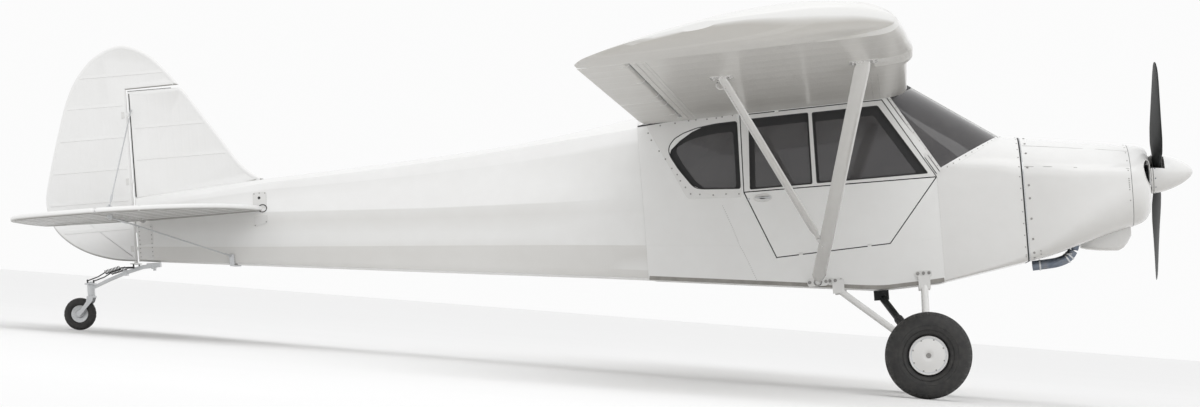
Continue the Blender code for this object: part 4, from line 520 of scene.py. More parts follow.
class Shape:
    """Simple forms gathered into one mesh, in the level frame."""

    def __init__(self):
        self.points, self.faces = [], []

    def add(self, points, faces):
        base = len(self.points)
        self.points += [tuple(p) for p in points]
        self.faces += [tuple(base + i for i in face) for face in faces]
        return self

    def loft(self, rings, ends=True, closed=True):
        count = len(rings[0])
        faces = []
        for row in range(len(rings) - 1):
            for i in range(count if closed else count - 1):
                a, b = row * count + i, row * count + (i + 1) % count
                faces.append((a, b, b + count, a + count))
        if ends:
            faces.append(tuple(range(count)))
            faces.append(tuple(range((len(rings) - 1) * count, len(rings) * count)))
        return self.add([p for ring in rings for p in ring], faces)

    def rod(self, start, end, radius, sides=12):
        run = Vector(end) - Vector(start)
        return self.loft([circle(start, run, radius, sides), circle(end, run, radius, sides)])

    def tube(self, path, radius, sides=12):
        path = [Vector(p) for p in path]
        rings = []
        for i, point in enumerate(path):
            run = path[min(len(path) - 1, i + 1)] - path[max(0, i - 1)]
            size = radius(i / (len(path) - 1)) if callable(radius) else radius
            rings.append(circle(point, run, size, sides))
        return self.loft(rings)

    def lathe(self, profile, centre, direction, sides=48, closed=False):
        a, b, d = basis(direction)
        rings = []
        for radius, along in profile:
            turns = [2 * math.pi * i / sides for i in range(sides)]
            rings.append([Vector(centre) + d * along + (a * math.cos(t) + b * math.sin(t)) * radius
                          for t in turns])
        if closed:
            rings.append(rings[0])
        return self.loft(rings, ends=not closed)

    def box(self, x0, x1, y0, y1, z0, z1):
        ring = [(x0, z0), (x1, z0), (x1, z1), (x0, z1)]
        return self.loft([[(x, y, z) for x, z in ring] for y in (y0, y1)])

    def plate(self, outline, normal, thick):
        """A flat plate from an outline, its face pushed out along a normal."""
        push = Vector(normal).normalized() * thick
        return self.loft([[Vector(p) for p in outline], [Vector(p) + push for p in outline]])

    def rivet(self, point, normal, radius=0.0035, height=0.0016, sides=8):
        a, b, d = basis(normal)
        start = Vector(point)
        rings = []
        for share, rise in ((1.0, -0.2), (1.0, 0.25), (0.72, 0.8), (0.3, 1.0)):
            turns = [2 * math.pi * i / sides for i in range(sides)]
            rings.append([start + d * height * rise + (a * math.cos(t) + b * math.sin(t)) * radius * share
                          for t in turns])
        return self.loft(rings)

    def bolt(self, point, normal, radius=0.008, height=0.006):
        self.rod(Vector(point) - Vector(normal).normalized() * 0.002,
                 Vector(point) + Vector(normal).normalized() * height * 0.3, radius * 1.5, 18)
        return self.rod(point, Vector(point) + Vector(normal).normalized() * height, radius, 6)

    def strip(self, path, across, half, normal, thick):
        """A flat strip along a path, with its width along one direction."""
        rings = []
        for p, side, push in zip(path, across, normal):
            p, side, push = Vector(p), Vector(side).normalized() * half, Vector(push).normalized() * thick
            rings.append([p - side - push, p + side - push, p + side * 0.94 + push, p - side * 0.94 + push])
        return self.loft(rings)

    def piece(self, name, body, stuff, slot, angle=32.0, replaces=(), flip=None):
        mesh = bpy.data.meshes.new(name)
        a = np.array(self.points, float)
        if flip == STARBOARD:
            a[:, 1] *= -1.0
        world = np.stack([a[:, 0] * COS - a[:, 2] * SIN + BASE_X, a[:, 1],
                          a[:, 0] * SIN + a[:, 2] * COS + BASE_Z], axis=1)
        mesh.from_pydata(world.tolist(), [], self.faces)
        bm = bmesh.new()
        bm.from_mesh(mesh)
        bmesh.ops.remove_doubles(bm, verts=bm.verts, dist=1e-6)
        bmesh.ops.dissolve_degenerate(bm, dist=1e-7, edges=bm.edges)
        bmesh.ops.recalc_face_normals(bm, faces=bm.faces)
        bm.to_mesh(mesh)
        bm.free()
        mesh.materials.append(stuff)
        obj = bpy.data.objects.new(name, mesh)
        bpy.context.scene.collection.objects.link(obj)
        mesh.shade_smooth()
        mesh.set_sharp_from_angle(angle=math.radians(angle))
        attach(obj, body)
        if replaces:
            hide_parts(*replaces)
        pieces_made.append((name, len(mesh.polygons)))
        return obj


pieces_made = []

# %% [markdown]
# The wing is a fabric skin over ribs. Its section is smoothed through the same points as
# the CAD wing, its tip is drawn in to a rounded bow, and a swelling in the nose holds the
# landing light. Behind the rear spar the skin stops, where the flap and aileron hang.

# %% Wing
CHORD, WING_SLOPE, WING_RISE, WING_ROOT_Z = 1.622, 0.0272, 0.0035, -0.0460
INCIDENCE = math.atan(WING_SLOPE)
WING_ROOT, WING_LAST_RIB = 0.3553, 4.79
COVE_X, HINGE_X = -1.362, -1.4005
FLAP_SPAN, AILERON_SPAN = (0.60, 2.10), (2.10, 4.76)
FLAP_HINGES, AILERON_HINGES = (0.95, 1.75), (2.45, 3.50, 4.55)
STRUT_TOP_Y, FRONT_SPAR_X, REAR_SPAR_X = 3.25, -0.232, -0.985
UPPER = [(0, 2.9), (1.25, 5.1), (2.5, 6.2), (5, 7.7), (10, 9.6), (15, 10.7), (22, 11.5), (30, 11.7),
         (40, 11.3), (52, 10.1), (64, 8.2), (76, 5.8), (84, 4.1), (92, 2.2), (100, 0.35)]
LOWER = [(0, 2.9), (1.25, 1.3), (2.5, 0.75), (5, 0.3), (10, 0.0), (30, 0.0), (60, 0.0), (84, 0.0), (100, 0.0)]
TIP = [(4.90, -0.100, -1.620, 0.18), (5.04, -0.225, -1.585, 0.40), (5.13, -0.385, -1.542, 0.58),
       (5.215, -0.575, -1.462, 0.75), (5.29, -0.705, -1.355, 0.87), (5.335, -0.790, -1.255, 0.94),
       (5.37, -0.900, -1.075, 1.0)]


def eased_table(table, percents):
    """Smooths a table between its points without leaving its shape near the nose."""
    roots = [math.sqrt(p) for p, _ in table]
    curve = resample([(r, v, 0.0) for r, (_, v) in zip(roots, table)], 400)
    return [float(np.interp(math.sqrt(p), [c.x for c in curve], [c.y for c in curve])) for p in percents]


STEPS_UP = [100.0 * (1 - math.cos(math.pi / 2 * k / 40)) for k in range(41)]
STEPS_LOW = list(reversed(STEPS_UP[1:-1]))
HEIGHT_UP, HEIGHT_LOW = eased_table(UPPER, STEPS_UP), eased_table(LOWER, STEPS_LOW)


def wing_point(percent, height):
    along, rise = percent / 100.0 * CHORD, height / 100.0 * CHORD
    return (-along * math.cos(INCIDENCE) + rise * math.sin(INCIDENCE),
            -along * math.sin(INCIDENCE) + rise * math.cos(INCIDENCE) + WING_ROOT_Z)


def rise_at(y):
    return WING_RISE * (abs(y) - WING_ROOT)


def wing_top_z(x):
    percent = min(100.0, max(0.0, -x / CHORD * 100.0))
    return wing_point(percent, float(np.interp(percent, STEPS_UP, HEIGHT_UP)))[1]


def wing_bottom_z(x, y=WING_ROOT):
    return WING_ROOT_Z + x * WING_SLOPE + rise_at(y)


def hinge_z(y):
    """Height of the flap's and aileron's hinge line."""
    return (wing_top_z(HINGE_X) + wing_bottom_z(HINGE_X)) / 2 + rise_at(y)


def light_bulge(y):
    """How far the nose swells forward round the landing light."""
    return 0.032 * smooth((y - 2.45) / 0.35) * smooth((4.15 - y) / 0.9)


def knuckle(flat_x, axis_x, axis_z, radius):
    """The outline of a hinge lug: flat in front and round behind its axis."""
    outline = [(flat_x, axis_z - radius), (flat_x, axis_z + radius)]
    return outline + [(axis_x + radius * math.cos(t), axis_z + radius * math.sin(t))
                      for t in np.linspace(math.pi / 2, 1.5 * math.pi, 9)]


def wing_ring(y, bay):
    bulge = light_bulge(y)
    sweep = -0.040 * (max(0.0, y - 4.0) / 0.79) ** 1.5
    ring = []
    for percents, heights in ((STEPS_UP, HEIGHT_UP), (STEPS_LOW, HEIGHT_LOW)):
        for percent, height in zip(percents, heights):
            x, z = wing_point(percent, height)
            x += (bulge + sweep) * max(0.0, 1.0 - percent / 12.0)
            if bay and x < COVE_X:
                top, low = wing_top_z(COVE_X), wing_bottom_z(COVE_X)
                share = 1.0 if percents is STEPS_UP else 0.0
                x, z = COVE_X, low + (top - low) * share
            ring.append((x, y, z + rise_at(y)))
    return ring


def tip_section(y, lead, trail, share):
    ring, power = [], 3.2 - 1.2 * share
    outward = math.sqrt(1.0 - (0.985 * share) ** 2)
    for upper, percents in ((True, STEPS_UP), (False, STEPS_LOW)):
        for percent in percents:
            along = lead + (trail - lead) * percent / 100.0
            full = min(100.0, max(0.0, -along / CHORD * 100.0))
            top = wing_point(full, float(np.interp(full, STEPS_UP, HEIGHT_UP)))[1]
            low = wing_point(full, float(np.interp(-full, [-s for s in STEPS_LOW], HEIGHT_LOW)))[1]
            bow = low + 0.62 * (top - low)
            thick = (1.0 - abs(percent / 50.0 - 1.0) ** power) ** (1.0 / power) * outward
            edge = (top - bow) * thick + 0.004 if upper else (low - bow) * thick - 0.004
            ring.append((along, y, bow + edge + rise_at(y)))
    return ring


def tip_rows():
    """Finer steps through the tip's table, on smooth curves."""
    first = (4.80, -0.055, -1.622, 0.02)
    rows = [first] + TIP
    path = resample([(r[0] * 3, r[1], r[2]) for r in rows], 26)
    shares = [float(np.interp(p.x / 3, [r[0] for r in rows], [r[3] for r in rows])) for p in path]
    return [(p.x / 3, p.y, p.z, s) for p, s in zip(path, shares)]


def wing_skin(side, word):
    shape = Shape()
    inner = [(WING_ROOT, False), (FLAP_SPAN[0], False), (FLAP_SPAN[0], True)]
    spans = [(FLAP_SPAN[0] + (AILERON_SPAN[1] - FLAP_SPAN[0]) * k / 60, True) for k in range(1, 61)]
    outer = [(AILERON_SPAN[1], False), (WING_LAST_RIB, False)]
    rings = [wing_ring(y, bay) for y, bay in inner + spans + outer]
    rings += [tip_section(*row) for row in tip_rows()]
    shape.loft(rings)
    for y in FLAP_HINGES + AILERON_HINGES:
        outline = knuckle(COVE_X + 0.006, HINGE_X, hinge_z(y), 0.016)
        shape.loft([[(x, yy, z) for x, z in outline] for yy in (y - 0.012, y + 0.012)])
    shape.piece("wing_skin_" + word, "airframe", PAINT_WING, "paint_fabric", 38, ["wing_" + word], side)


for side, word in SIDES:
    wing_skin(side, word)
print("wing skins", pieces_made)

# %% [markdown]
# Under the wing a metal strip with two rows of rivets runs along the rear spar, ahead of
# the slot at the flap and aileron, where a black sheet is painted shade. More rivets follow
# the front spar inboard, and the strut fittings sit on small doubler plates with bolts and a
# tie-down ring.

# %% Wing underside
def under(x, y, drop=0.0):
    return Vector((x, y, wing_bottom_z(x, y) - drop))


def wing_trim(side, word):
    down = (0, 0, -1)
    band, heads, dark = Shape(), Shape(), Shape()
    ys = [0.50 + (4.72 - 0.50) * k / 60 for k in range(61)]
    band.strip([under(-1.318, y) for y in ys], [(1, 0, 0)] * 61, 0.034, [down] * 61, 0.0016)
    for k in range(118):
        y = 0.52 + 4.18 * k / 117
        heads.rivet(under(-1.302 - 0.030 * (k % 2), y, 0.0014), down, 0.0046, 0.0018)
    for k in range(20):
        y = 0.44 + 1.9 * k / 19
        heads.rivet(under(-0.165, y, 0.0003), down, 0.0042, 0.0016)
        heads.rivet(under(-0.205, y + 0.05, 0.0003), down, 0.0042, 0.0016)
    # A black sheet stands in the slot ahead of the flap and aileron: painted shade between the skins.
    for y0, y1 in ((FLAP_SPAN[0] + 0.01, FLAP_SPAN[1] - 0.01),
                   (AILERON_SPAN[0] + 0.01, AILERON_SPAN[1] - 0.01)):
        ys = [y0 + (y1 - y0) * k / 20 for k in range(21)]
        front = [[(COVE_X - 0.0012, y, wing_bottom_z(COVE_X, y) + 0.002),
                  (COVE_X - 0.0012, y, wing_top_z(COVE_X) + rise_at(y) - 0.006)] for y in ys]
        back = [[(COVE_X + 0.001, p[0][1], p[0][2]), (COVE_X + 0.001, p[1][1], p[1][2])] for p in front]
        dark.loft([[f[0], f[1], b[1], b[0]] for f, b in zip(front, back)])
    # Strut fittings: doubler plates, bolts and rings
    fittings = Shape()
    for x, y, long in ((FRONT_SPAR_X, STRUT_TOP_Y, 0.150), (REAR_SPAR_X, STRUT_TOP_Y, 0.120)):
        corners = [(x - long / 2, y - 0.05), (x + long / 2, y - 0.05), (x + long / 2, y + 0.13),
                   (x - long / 2, y + 0.13)]
        fittings.plate([under(a, b) for a, b in corners], down, 0.0025)
        for dx in (-0.36, 0.0, 0.36):
            for dy in (-0.036, 0.10):
                fittings.bolt(under(x + dx * long, y + dy, 0.002), down, 0.0055, 0.005)
    for x, y in ((FRONT_SPAR_X, 3.17), (REAR_SPAR_X, 3.16)):
        loop = [under(x - 0.012 + 0.026 * math.cos(t), y - 0.030, 0.026 + 0.024 * math.sin(t))
                for t in np.linspace(0, 2 * math.pi, 17)]
        fittings.tube(loop, 0.0042, 8)
        fittings.box(x - 0.020, x + 0.004, y - 0.036, y - 0.022, wing_bottom_z(x, y) - 0.010,
                     wing_bottom_z(x, y))
    # The landing light's cover in the nose shows as ribs over a swelling, with screws behind
    lens = Shape()
    for k in range(9):
        y = 2.92 + 0.055 * k
        arc = []
        for percent in (0.4, 1.2, 2.4, 4.0, 6.0, 8.5, 11.0):
            height = float(np.interp(-percent, [-s for s in STEPS_LOW], HEIGHT_LOW))
            x, z = wing_point(percent, height)
            bulge = light_bulge(y)
            arc.append((x + bulge * max(0.0, 1.0 - percent / 12.0), y, z + rise_at(y) - 0.001))
        lens.tube(arc, 0.0022, 6)
        heads.rivet(under(-0.235, y, 0.0003), down, 0.0045, 0.0016)
    band.piece("wing_strip_" + word, "airframe", PAINT_WING, "paint_fabric", 32, (), side)
    heads.piece("wing_rivets_" + word, "airframe", PAINT_GREY, "aluminium", 60, (), side)
    dark.piece("wing_slot_shade_" + word, "airframe", SEAL, "propeller_black", 32, (), side)
    fittings.piece("strut_top_fittings_" + word, "airframe", PAINT_METAL, "paint_white", 32, (), side)
    lens.piece("landing_light_ribs_" + word, "airframe", PAINT_METAL, "paint_white", 60, (), side)


for side, word in SIDES:
    wing_trim(side, word)
print("wing details", len(pieces_made))

# %% [markdown]
# Flaps and ailerons keep the CAD outline, with a rounder nose and stitched rib tapes.

# %% Flaps and ailerons
def trailing_ring(y, slot):
    top, low = wing_top_z(HINGE_X), wing_bottom_z(HINGE_X)
    centre_z, radius = (top + low) / 2, (top - low) / 2
    ring = []
    for t in np.linspace(-math.pi / 2, math.pi / 2, 19):
        x, z = HINGE_X + radius * math.cos(t), centre_z + radius * math.sin(t)
        if slot:
            x = min(x, HINGE_X - 0.020)
        ring.append((x, y, z + rise_at(y)))
    tail_x, tail_z = wing_point(100, 0.0)
    for x in (-1.44, -1.48, -1.52, -1.56, -1.60):
        share = (x - HINGE_X) / (tail_x - HINGE_X)
        ring.append((x, y, top + (tail_z + 0.0065 - top) * share ** 1.08 + rise_at(y)))
    ring += [(tail_x, y, tail_z + 0.0060 + rise_at(y)), (tail_x - 0.0012, y, tail_z + 0.0035 + rise_at(y)),
             (tail_x, y, tail_z + 0.0005 + rise_at(y))]
    ring += [(x, y, wing_bottom_z(x, y)) for x in (-1.58, -1.52, -1.46)]
    return ring


def trailing_skin(side, span, hinges, name, body):
    shape = Shape()
    y0, y1 = span[0] + 0.0065, span[1] - 0.0065
    steps = [(y0 + (y1 - y0) * k / 24, False) for k in range(25)]
    for y in hinges:
        steps = [s for s in steps if abs(s[0] - y) > 0.0127]
        steps += [(y - 0.0127, False), (y - 0.0126, True), (y + 0.0126, True), (y + 0.0127, False)]
        middle_z = hinge_z(y)
        shape.rod((HINGE_X, y - 0.03, middle_z), (HINGE_X, y + 0.03, middle_z), 0.0054, 12)
    shape.loft([trailing_ring(y, slot) for y, slot in sorted(steps)])
    shape.piece(name + "_skin", body, PAINT_WING, "paint_fabric", 38, [name], side)


for side, word in SIDES:
    trailing_skin(side, FLAP_SPAN, FLAP_HINGES, "flap_" + word, "flap_" + word)
    trailing_skin(side, AILERON_SPAN, AILERON_HINGES, "aileron_" + word, "aileron_" + word)
print("pieces", len(pieces_made))

# %% [markdown]
# The rear fuselage is cloth drawn tight over longerons and stringers. Each facet is flat
# across with a trace of sag between its edges, and the edges are softly rounded.

# %% Rear fuselage
CABIN_HALF = 0.355
BELLY = [(-4.872, -0.668), (-4.77, -0.680), (-3.207, -0.862), (-1.963, -1.004), (-0.694, -1.159),
         (-0.258, -1.211), (0.108, -1.197), (0.66, -1.105)]
DECK = [(-4.872, -0.262), (-4.70, -0.2511), (-4.40, -0.232), (-4.0, -0.211), (-3.58, -0.194), (-3.20, -0.178),
        (-2.83, -0.158), (-2.456, -0.132), (-2.168, -0.098), (-1.90, -0.060), (-1.66, -0.020)]
HALF_WIDTH = [(-4.872, 0.030), (-4.40, 0.088), (-4.00, 0.136), (-3.18, 0.215), (-2.168, 0.305),
              (-1.66, 0.335), (-1.00, 0.355), (0.66, 0.355)]
UPPER_EDGE = [(-4.872, -0.320), (-4.0, -0.242), (-3.58, -0.232), (-3.20, -0.216), (-2.83, -0.196),
              (-2.168, -0.147), (-1.66, -0.108)]
MID_EDGE = [(-4.872, -0.385), (-4.0, -0.430), (-2.986, -0.490), (-2.168, -0.522), (-1.66, -0.537)]
LOW_EDGE = [(-4.872, -0.576), (-4.149, -0.638), (-2.878, -0.733), (-1.66, -0.826)]
STAB_Z, ELEVATOR_HINGE_X = -0.402, -4.830


def tail_side(x):
    """The right half of a section, from the belly's middle to the deck's."""
    half, top, bottom = value_at(HALF_WIDTH, x), value_at(DECK, x), value_at(BELLY, x)
    upper, mid, low = value_at(UPPER_EDGE, x), value_at(MID_EDGE, x), value_at(LOW_EDGE, x)
    ease = smooth((x + 2.456) / 0.796)
    return [(0.0, bottom), ((0.93 + 0.055 * ease) * half, bottom + 0.012), ((1.02 - 0.02 * ease) * half, low),
            ((1.03 - 0.03 * ease) * half, mid), ((0.95 + 0.035 * ease) * half, upper),
            (0.62 * half, top - 0.25 * (top - upper)), (0.25 * half, top - 0.02 * (top - upper)), (0.0, top)]


def soft_ring(corners, x, rounding=0.004, sag=0.0016):
    """Rounds a section's corners and lets its flats sink a little."""
    ring = []
    count = len(corners)
    for i, corner in enumerate(corners):
        here = Vector(corner)
        before, after = Vector(corners[i - 1]), Vector(corners[(i + 1) % count])
        back, ahead = (before - here), (after - here)
        cut_back = min(rounding, back.length * 0.3)
        cut_ahead = min(rounding, ahead.length * 0.3)
        start, end = here + back.normalized() * cut_back, here + ahead.normalized() * cut_ahead
        ring += [start, (start + end + here * 2) / 4, end]
        flat_end = after - ahead.normalized() * min(rounding, ahead.length * 0.3)
        normal = Vector((ahead.y, -ahead.x)).normalized()
        for share in (0.25, 0.5, 0.75):
            dip = sag * 4 * share * (1 - share) * min(1.0, ahead.length / 0.2)
            ring.append(end.lerp(flat_end, share) - normal * dip)
    return [(x, p.x, p.y) for p in ring]


def tail_ring(x):
    right = tail_side(x)
    return soft_ring(right + [(-y, z) for y, z in reversed(right[1:-1])], x)


def bored(obj, cutters, angle):
    """Cuts forms out of a piece, keeps the result as its mesh and smooths it up to an angle."""
    for shape in cutters:
        cutter = shape.piece("cutter", "airframe", SEAL, "propeller_black")
        modifier = obj.modifiers.new("cut", "BOOLEAN")
        modifier.operation, modifier.object, modifier.solver = "DIFFERENCE", cutter, "EXACT"
        bpy.context.view_layer.update()
        result = bpy.data.meshes.new_from_object(obj.evaluated_get(bpy.context.evaluated_depsgraph_get()))
        obj.modifiers.remove(modifier)
        stuff = obj.data.materials[0]
        obj.data = result
        result.materials.clear()
        result.materials.append(stuff)
        bpy.data.objects.remove(cutter)
    obj.data.shade_smooth()
    obj.data.set_sharp_from_angle(angle=math.radians(angle))
    return obj


def rear_fuselage():
    stations = [-1.6603, -1.80, -1.90, -2.03, -2.168, -2.31, -2.456, -2.64, -2.83, -3.01, -3.20, -3.39, -3.58,
                -3.79, -4.0, -4.20, -4.40, -4.55, -4.70, -4.77, -4.872]
    skin = Shape().loft([tail_ring(x) for x in stations])
    obj = skin.piece("rear_fuselage_skin", "airframe", PAINT_FABRIC, "paint_fabric", 24, ["rear_fuselage"])
    slot = Shape().rod((ELEVATOR_HINGE_X, -0.4, STAB_Z), (ELEVATOR_HINGE_X, 0.4, STAB_Z), 0.026, 32)
    bored(obj, [slot], 24)


rear_fuselage()
print("rear fuselage", len(pieces_made))

# %% [markdown]
# The nose is three sheet-metal pieces: the boot cowl round the windshield's foot, the
# engine cowl, and the bowl with its two cooling inlets. All are drawn from the same rings
# as the CAD, with many more points, and are hollow with turned-in edges.

# %% Nose skins
BOOT_STATIONS = [(0.140, -0.306, -1.1917, 0.355, -0.4968, 0.012),
                 (0.400, -0.314, -1.1483, 0.355, -0.535, 0.020),
                 (0.533, -0.322, -1.1262, 0.355, -0.560, 0.030),
                 (0.6547, -0.3387, -1.1059, 0.355, -0.600, 0.045)]
COWL_STATIONS = [(0.6653, -0.340, -1.1037, 0.356, -0.602, 0.045),
                 (0.815, -0.362, -1.075, 0.385, -0.612, 0.090),
                 (0.98, -0.386, -1.028, 0.405, -0.630, 0.150), (1.15, -0.412, -0.979, 0.400, -0.640, 0.200),
                 (1.310, -0.438, -0.938, 0.365, -0.655, 0.225)]
THRUST_Z, BOWL_SEAM, BOWL_FRONT = -0.628, 1.3103, 1.439
INLET_Y, BOWL_NOSE_RADIUS = 0.232, 0.112
WINDSHIELD_BASE = ((0.164, -0.500), (0.533, -0.322))
WINDSHIELD_TOP_SIDE, WINDSHIELD_TOP_CENTRE = (-0.135, -0.048), (0.0, 0.040)


def hull_ring(x, top, bottom, half, shoulder, corner, inset=0.0):
    half, top, bottom, corner = half - inset, top - inset, bottom + inset, max(corner - inset, 0.003)
    right = [(0.0, bottom), ((half - corner) * 0.5, bottom)]
    for t in np.linspace(-math.pi / 2, 0.0, 11):
        right.append((half - corner + corner * math.cos(t), bottom + corner + corner * math.sin(t)))
    low = bottom + corner
    right += [(half, low + (shoulder - low) * k / 4) for k in (1, 2, 3)]
    right += [(half * math.cos(t), shoulder + (top - shoulder) * math.sin(t))
              for t in np.linspace(0.0, math.pi / 2, 25)[:-1]]
    right.append((0.0, top))
    left = [(-y, z) for y, z in reversed(right[1:-1])]
    return [(x, y, z) for y, z in right + left]


def fine_stations(stations, count):
    xs = [s[0] for s in stations]
    columns = []
    for k in range(1, 6):
        curve = resample([(s[0], s[k], 0.0) for s in stations], 120)
        columns.append(([p.x for p in curve], [p.y for p in curve]))
    rows = []
    for x in np.linspace(xs[0], xs[-1], count):
        rows.append((float(x), *(float(np.interp(x, *column)) for column in columns)))
    return rows


def hollow(outer, inner):
    """Two nested skins joined at both ends."""
    shape = Shape()
    rings = list(outer) + list(reversed(inner))
    return shape.loft(rings + [rings[0]], ends=False)


def boot_plane_z(x):
    (x0, z0), (x1, z1) = WINDSHIELD_BASE
    return z0 + (x - x0) * (z1 - z0) / (x1 - x0)


def nose_skins():
    rows = fine_stations(BOOT_STATIONS, 24)
    boot = hollow([hull_ring(*r) for r in rows], [hull_ring(*r, inset=0.010) for r in rows])
    obj = boot.piece("boot_cowl_skin", "airframe", PAINT_METAL, "paint_white", 30, ["boot_cowl"])
    x0, x1 = 0.10, 0.5395
    outline = [(x0, boot_plane_z(x0)), (x1, boot_plane_z(x1)), (x1, 0.0), (x0, 0.0)]
    bored(obj, [Shape().loft([[(x, y, z) for x, z in outline] for y in (-0.5, 0.5)])], 30)
    rows = fine_stations(COWL_STATIONS, 40)
    cowl = hollow([hull_ring(*r) for r in rows], [hull_ring(*r, inset=0.007) for r in rows])
    obj = cowl.piece("engine_cowl_skin", "airframe", PAINT_METAL, "paint_white", 30, ["engine_cowl"])
    well = Shape().loft([circle((0.915, -0.125, z), (0, 0, 1), 0.050, 40, 1.9) for z in (-1.20, -0.90)])
    bored(obj, [well], 30)
    base = [Vector((0, y, z - THRUST_Z)) for _, y, z in hull_ring(BOWL_SEAM, *COWL_STATIONS[-1][1:])]
    table = resample([(BOWL_SEAM, 0.0, 0), (1.345, 0.035, 0), (1.380, 0.115, 0), (1.408, 0.26, 0),
                      (1.427, 0.48, 0),
                      (BOWL_FRONT - 0.002, 0.84, 0), (BOWL_FRONT, 1.0, 0)], 34)

    def bowl_ring(x, blend, inset):
        ring = []
        for spot in base:
            radius = spot.length + (BOWL_NOSE_RADIUS - spot.length) * blend - inset
            out = spot.normalized() * radius
            ring.append((x, out.y, out.z + THRUST_Z))
        return ring

    outer = [bowl_ring(p.x, p.y, 0.0) for p in table]
    inner = [bowl_ring(p.x - 0.0075 * min(1.0, k / 3), p.y, 0.0065 * (1.0 - smooth((p.y - 0.8) / 0.2)))
             for k, p in enumerate(table)]
    obj = hollow(outer, inner).piece("nose_bowl_skin", "airframe", PAINT_METAL, "paint_white", 34,
                                     ["nose_bowl"])
    mouths = [Shape().loft([circle((x, side * INLET_Y, THRUST_Z), (1, 0, 0), 0.092, 64, 0.90)
                            for x in (1.30, 1.50)])
              for side in (STARBOARD, PORT)]
    bored(obj, mouths, 34)
    # A rolled lip round each inlet, laid on the bowl's own surface
    lips = Shape()
    blends, xs = [p.y for p in table], [p.x for p in table]
    for side in (STARBOARD, PORT):
        path = []
        for t in np.linspace(0, 2 * math.pi, 49):
            y, z = side * (INLET_Y + 0.0905 * math.cos(t)), 0.0815 * math.sin(t)
            reach = math.hypot(y, z)
            aim = math.atan2(z, abs(y))
            far = float(np.interp(aim, *turn_table(base)))
            blend = (far - reach) / (far - BOWL_NOSE_RADIUS)
            path.append((float(np.interp(blend, blends, xs)) - 0.001, y, z + THRUST_Z))
        lips.tube(path, 0.0045, 10)
    lips.piece("inlet_lips", "airframe", PAINT_METAL, "paint_white", 60)


def turn_table(base):
    """How far the bowl's rear edge is from the thrust line, by angle, on one side."""
    rows = sorted((math.atan2(p.z, abs(p.y)), p.length) for p in base)
    return [r[0] for r in rows], [r[1] for r in rows]


nose_skins()
print("nose", len(pieces_made))

# %% [markdown]
# Sheet-metal details of the nose: rows of fasteners along the cowl's edges, dark strips in
# its seams painted as the shadow of the lapped edges, and the faint edges of its panels.

# %% Nose details
def hull_point(x, turn, lift=0.0):
    """A point and normal of the nose's skin: turn 0 is the shoulder, 1 the top, -1 low on the side."""
    rows = BOOT_STATIONS if x < 0.66 else COWL_STATIONS
    top, bottom, half, shoulder, corner = (value_at([(r[0], r[k]) for r in rows], x) for k in range(1, 6))
    if turn >= 0:
        a = turn * math.pi / 2
        point = Vector((x, -half * math.cos(a), shoulder + (top - shoulder) * math.sin(a)))
        normal = Vector((0, -math.cos(a) / half, math.sin(a) / (top - shoulder))).normalized()
    else:
        z = shoulder + (bottom + corner - shoulder) * min(1.0, -turn)
        point, normal = Vector((x, -half, z)), Vector((0, -1, 0))
        if turn < -1:
            a = (-turn - 1) * math.pi / 2
            point = Vector((x, -(half - corner) - corner * math.cos(a),
                            bottom + corner - corner * math.sin(a)))
            normal = Vector((0, -math.cos(a), -math.sin(a)))
    return point + normal * lift, normal


def mirrored(point, side):
    return Vector((point.x, point.y * -side, point.z))


def nose_details():
    heads, seams, creases = Shape(), Shape(), Shape()
    for side in (STARBOARD, PORT):
        for turn in (0.86, 0.62, 0.40, 0.16, -0.10, -0.28, -0.56, -0.84, -1.15, -1.6):
            point, normal = hull_point(0.690, turn, 0.0006)
            heads.rivet(mirrored(point, -side), mirrored(normal, -side), 0.0072, 0.0026, 14)
        for k in range(15):
            point, normal = hull_point(0.640, 0.92 - k * 0.152, 0.0006)
            heads.rivet(mirrored(point, -side), mirrored(normal, -side), 0.0040, 0.0016)
        for z in (-1.051, -1.072):
            heads.rivet((0.730, side * 0.367, z), (0, side, 0), 0.0045, 0.0018)
        for turn in np.linspace(0.9, -1.2, 12):
            point, normal = hull_point(1.292, float(turn), 0.0006)
            heads.rivet(mirrored(point, -side), mirrored(normal, -side), 0.0042, 0.0016)
    heads.piece("nose_fasteners", "airframe", PAINT_GREY, "aluminium", 60)
    # The cowl laps over the boot cowl and the bowl over the cowl; a dark strip behind each lapped edge, thin
    # at the bowl, is painted shadow.
    for rows, x0, x1, lift in ((BOOT_STATIONS, 0.6495, 0.6585, 0.0010),
                               (COWL_STATIONS, 1.3072, 1.3096, 0.0005)):
        sizes = [value_at([(r[0], r[k]) for r in rows], (x0 + x1) / 2) for k in range(1, 6)]
        rings = [hull_ring(x, *sizes, inset=inset)
                 for x, inset in ((x0, 0.0020), (x0, -lift), (x1, -lift), (x1, 0.0020), (x0, 0.0020))]
        seams.loft(rings, ends=False)
    seams.piece("nose_seam_shadows", "airframe", SEAL, "propeller_black", 40)
    # Panel edges pressed into the cowl as thin grey lines: the top cover's edge, and a crease along the side
    # whose shade is painted in.
    for side in (STARBOARD, PORT):
        for turn in (0.565, 0.17):
            path, out, across = [], [], []
            for x in np.linspace(0.672, 1.30, 24):
                point, normal = hull_point(float(x), turn, 0.0002)
                path.append(mirrored(point, -side))
                out.append(mirrored(normal, -side))
                across.append(mirrored(Vector((0, normal.z, -normal.y)), -side))
            creases.strip(path, across, 0.0016, out, 0.0005)
    creases.piece("cowl_panel_edges", "airframe", PAINT_GREY, "paint_white", 40)


nose_details()

# %% [markdown]
# The cabin's glazing. The windshield is one bent sheet drawn from the boot cowl's edge to
# the roof's. White posts stand along its sides, a riveted strip lies along its foot, and a
# black seal runs where it meets the wing.

# %% Windshield and posts
SHELL, GAP = 0.020, 0.0003


def top_edge(y):
    ease = (abs(y) / CABIN_HALF) ** 2
    (xs, zs), (xc, zc) = WINDSHIELD_TOP_SIDE, WINDSHIELD_TOP_CENTRE
    return Vector((xc + (xs - xc) * ease, y, zc + (zs - zc) * ease))


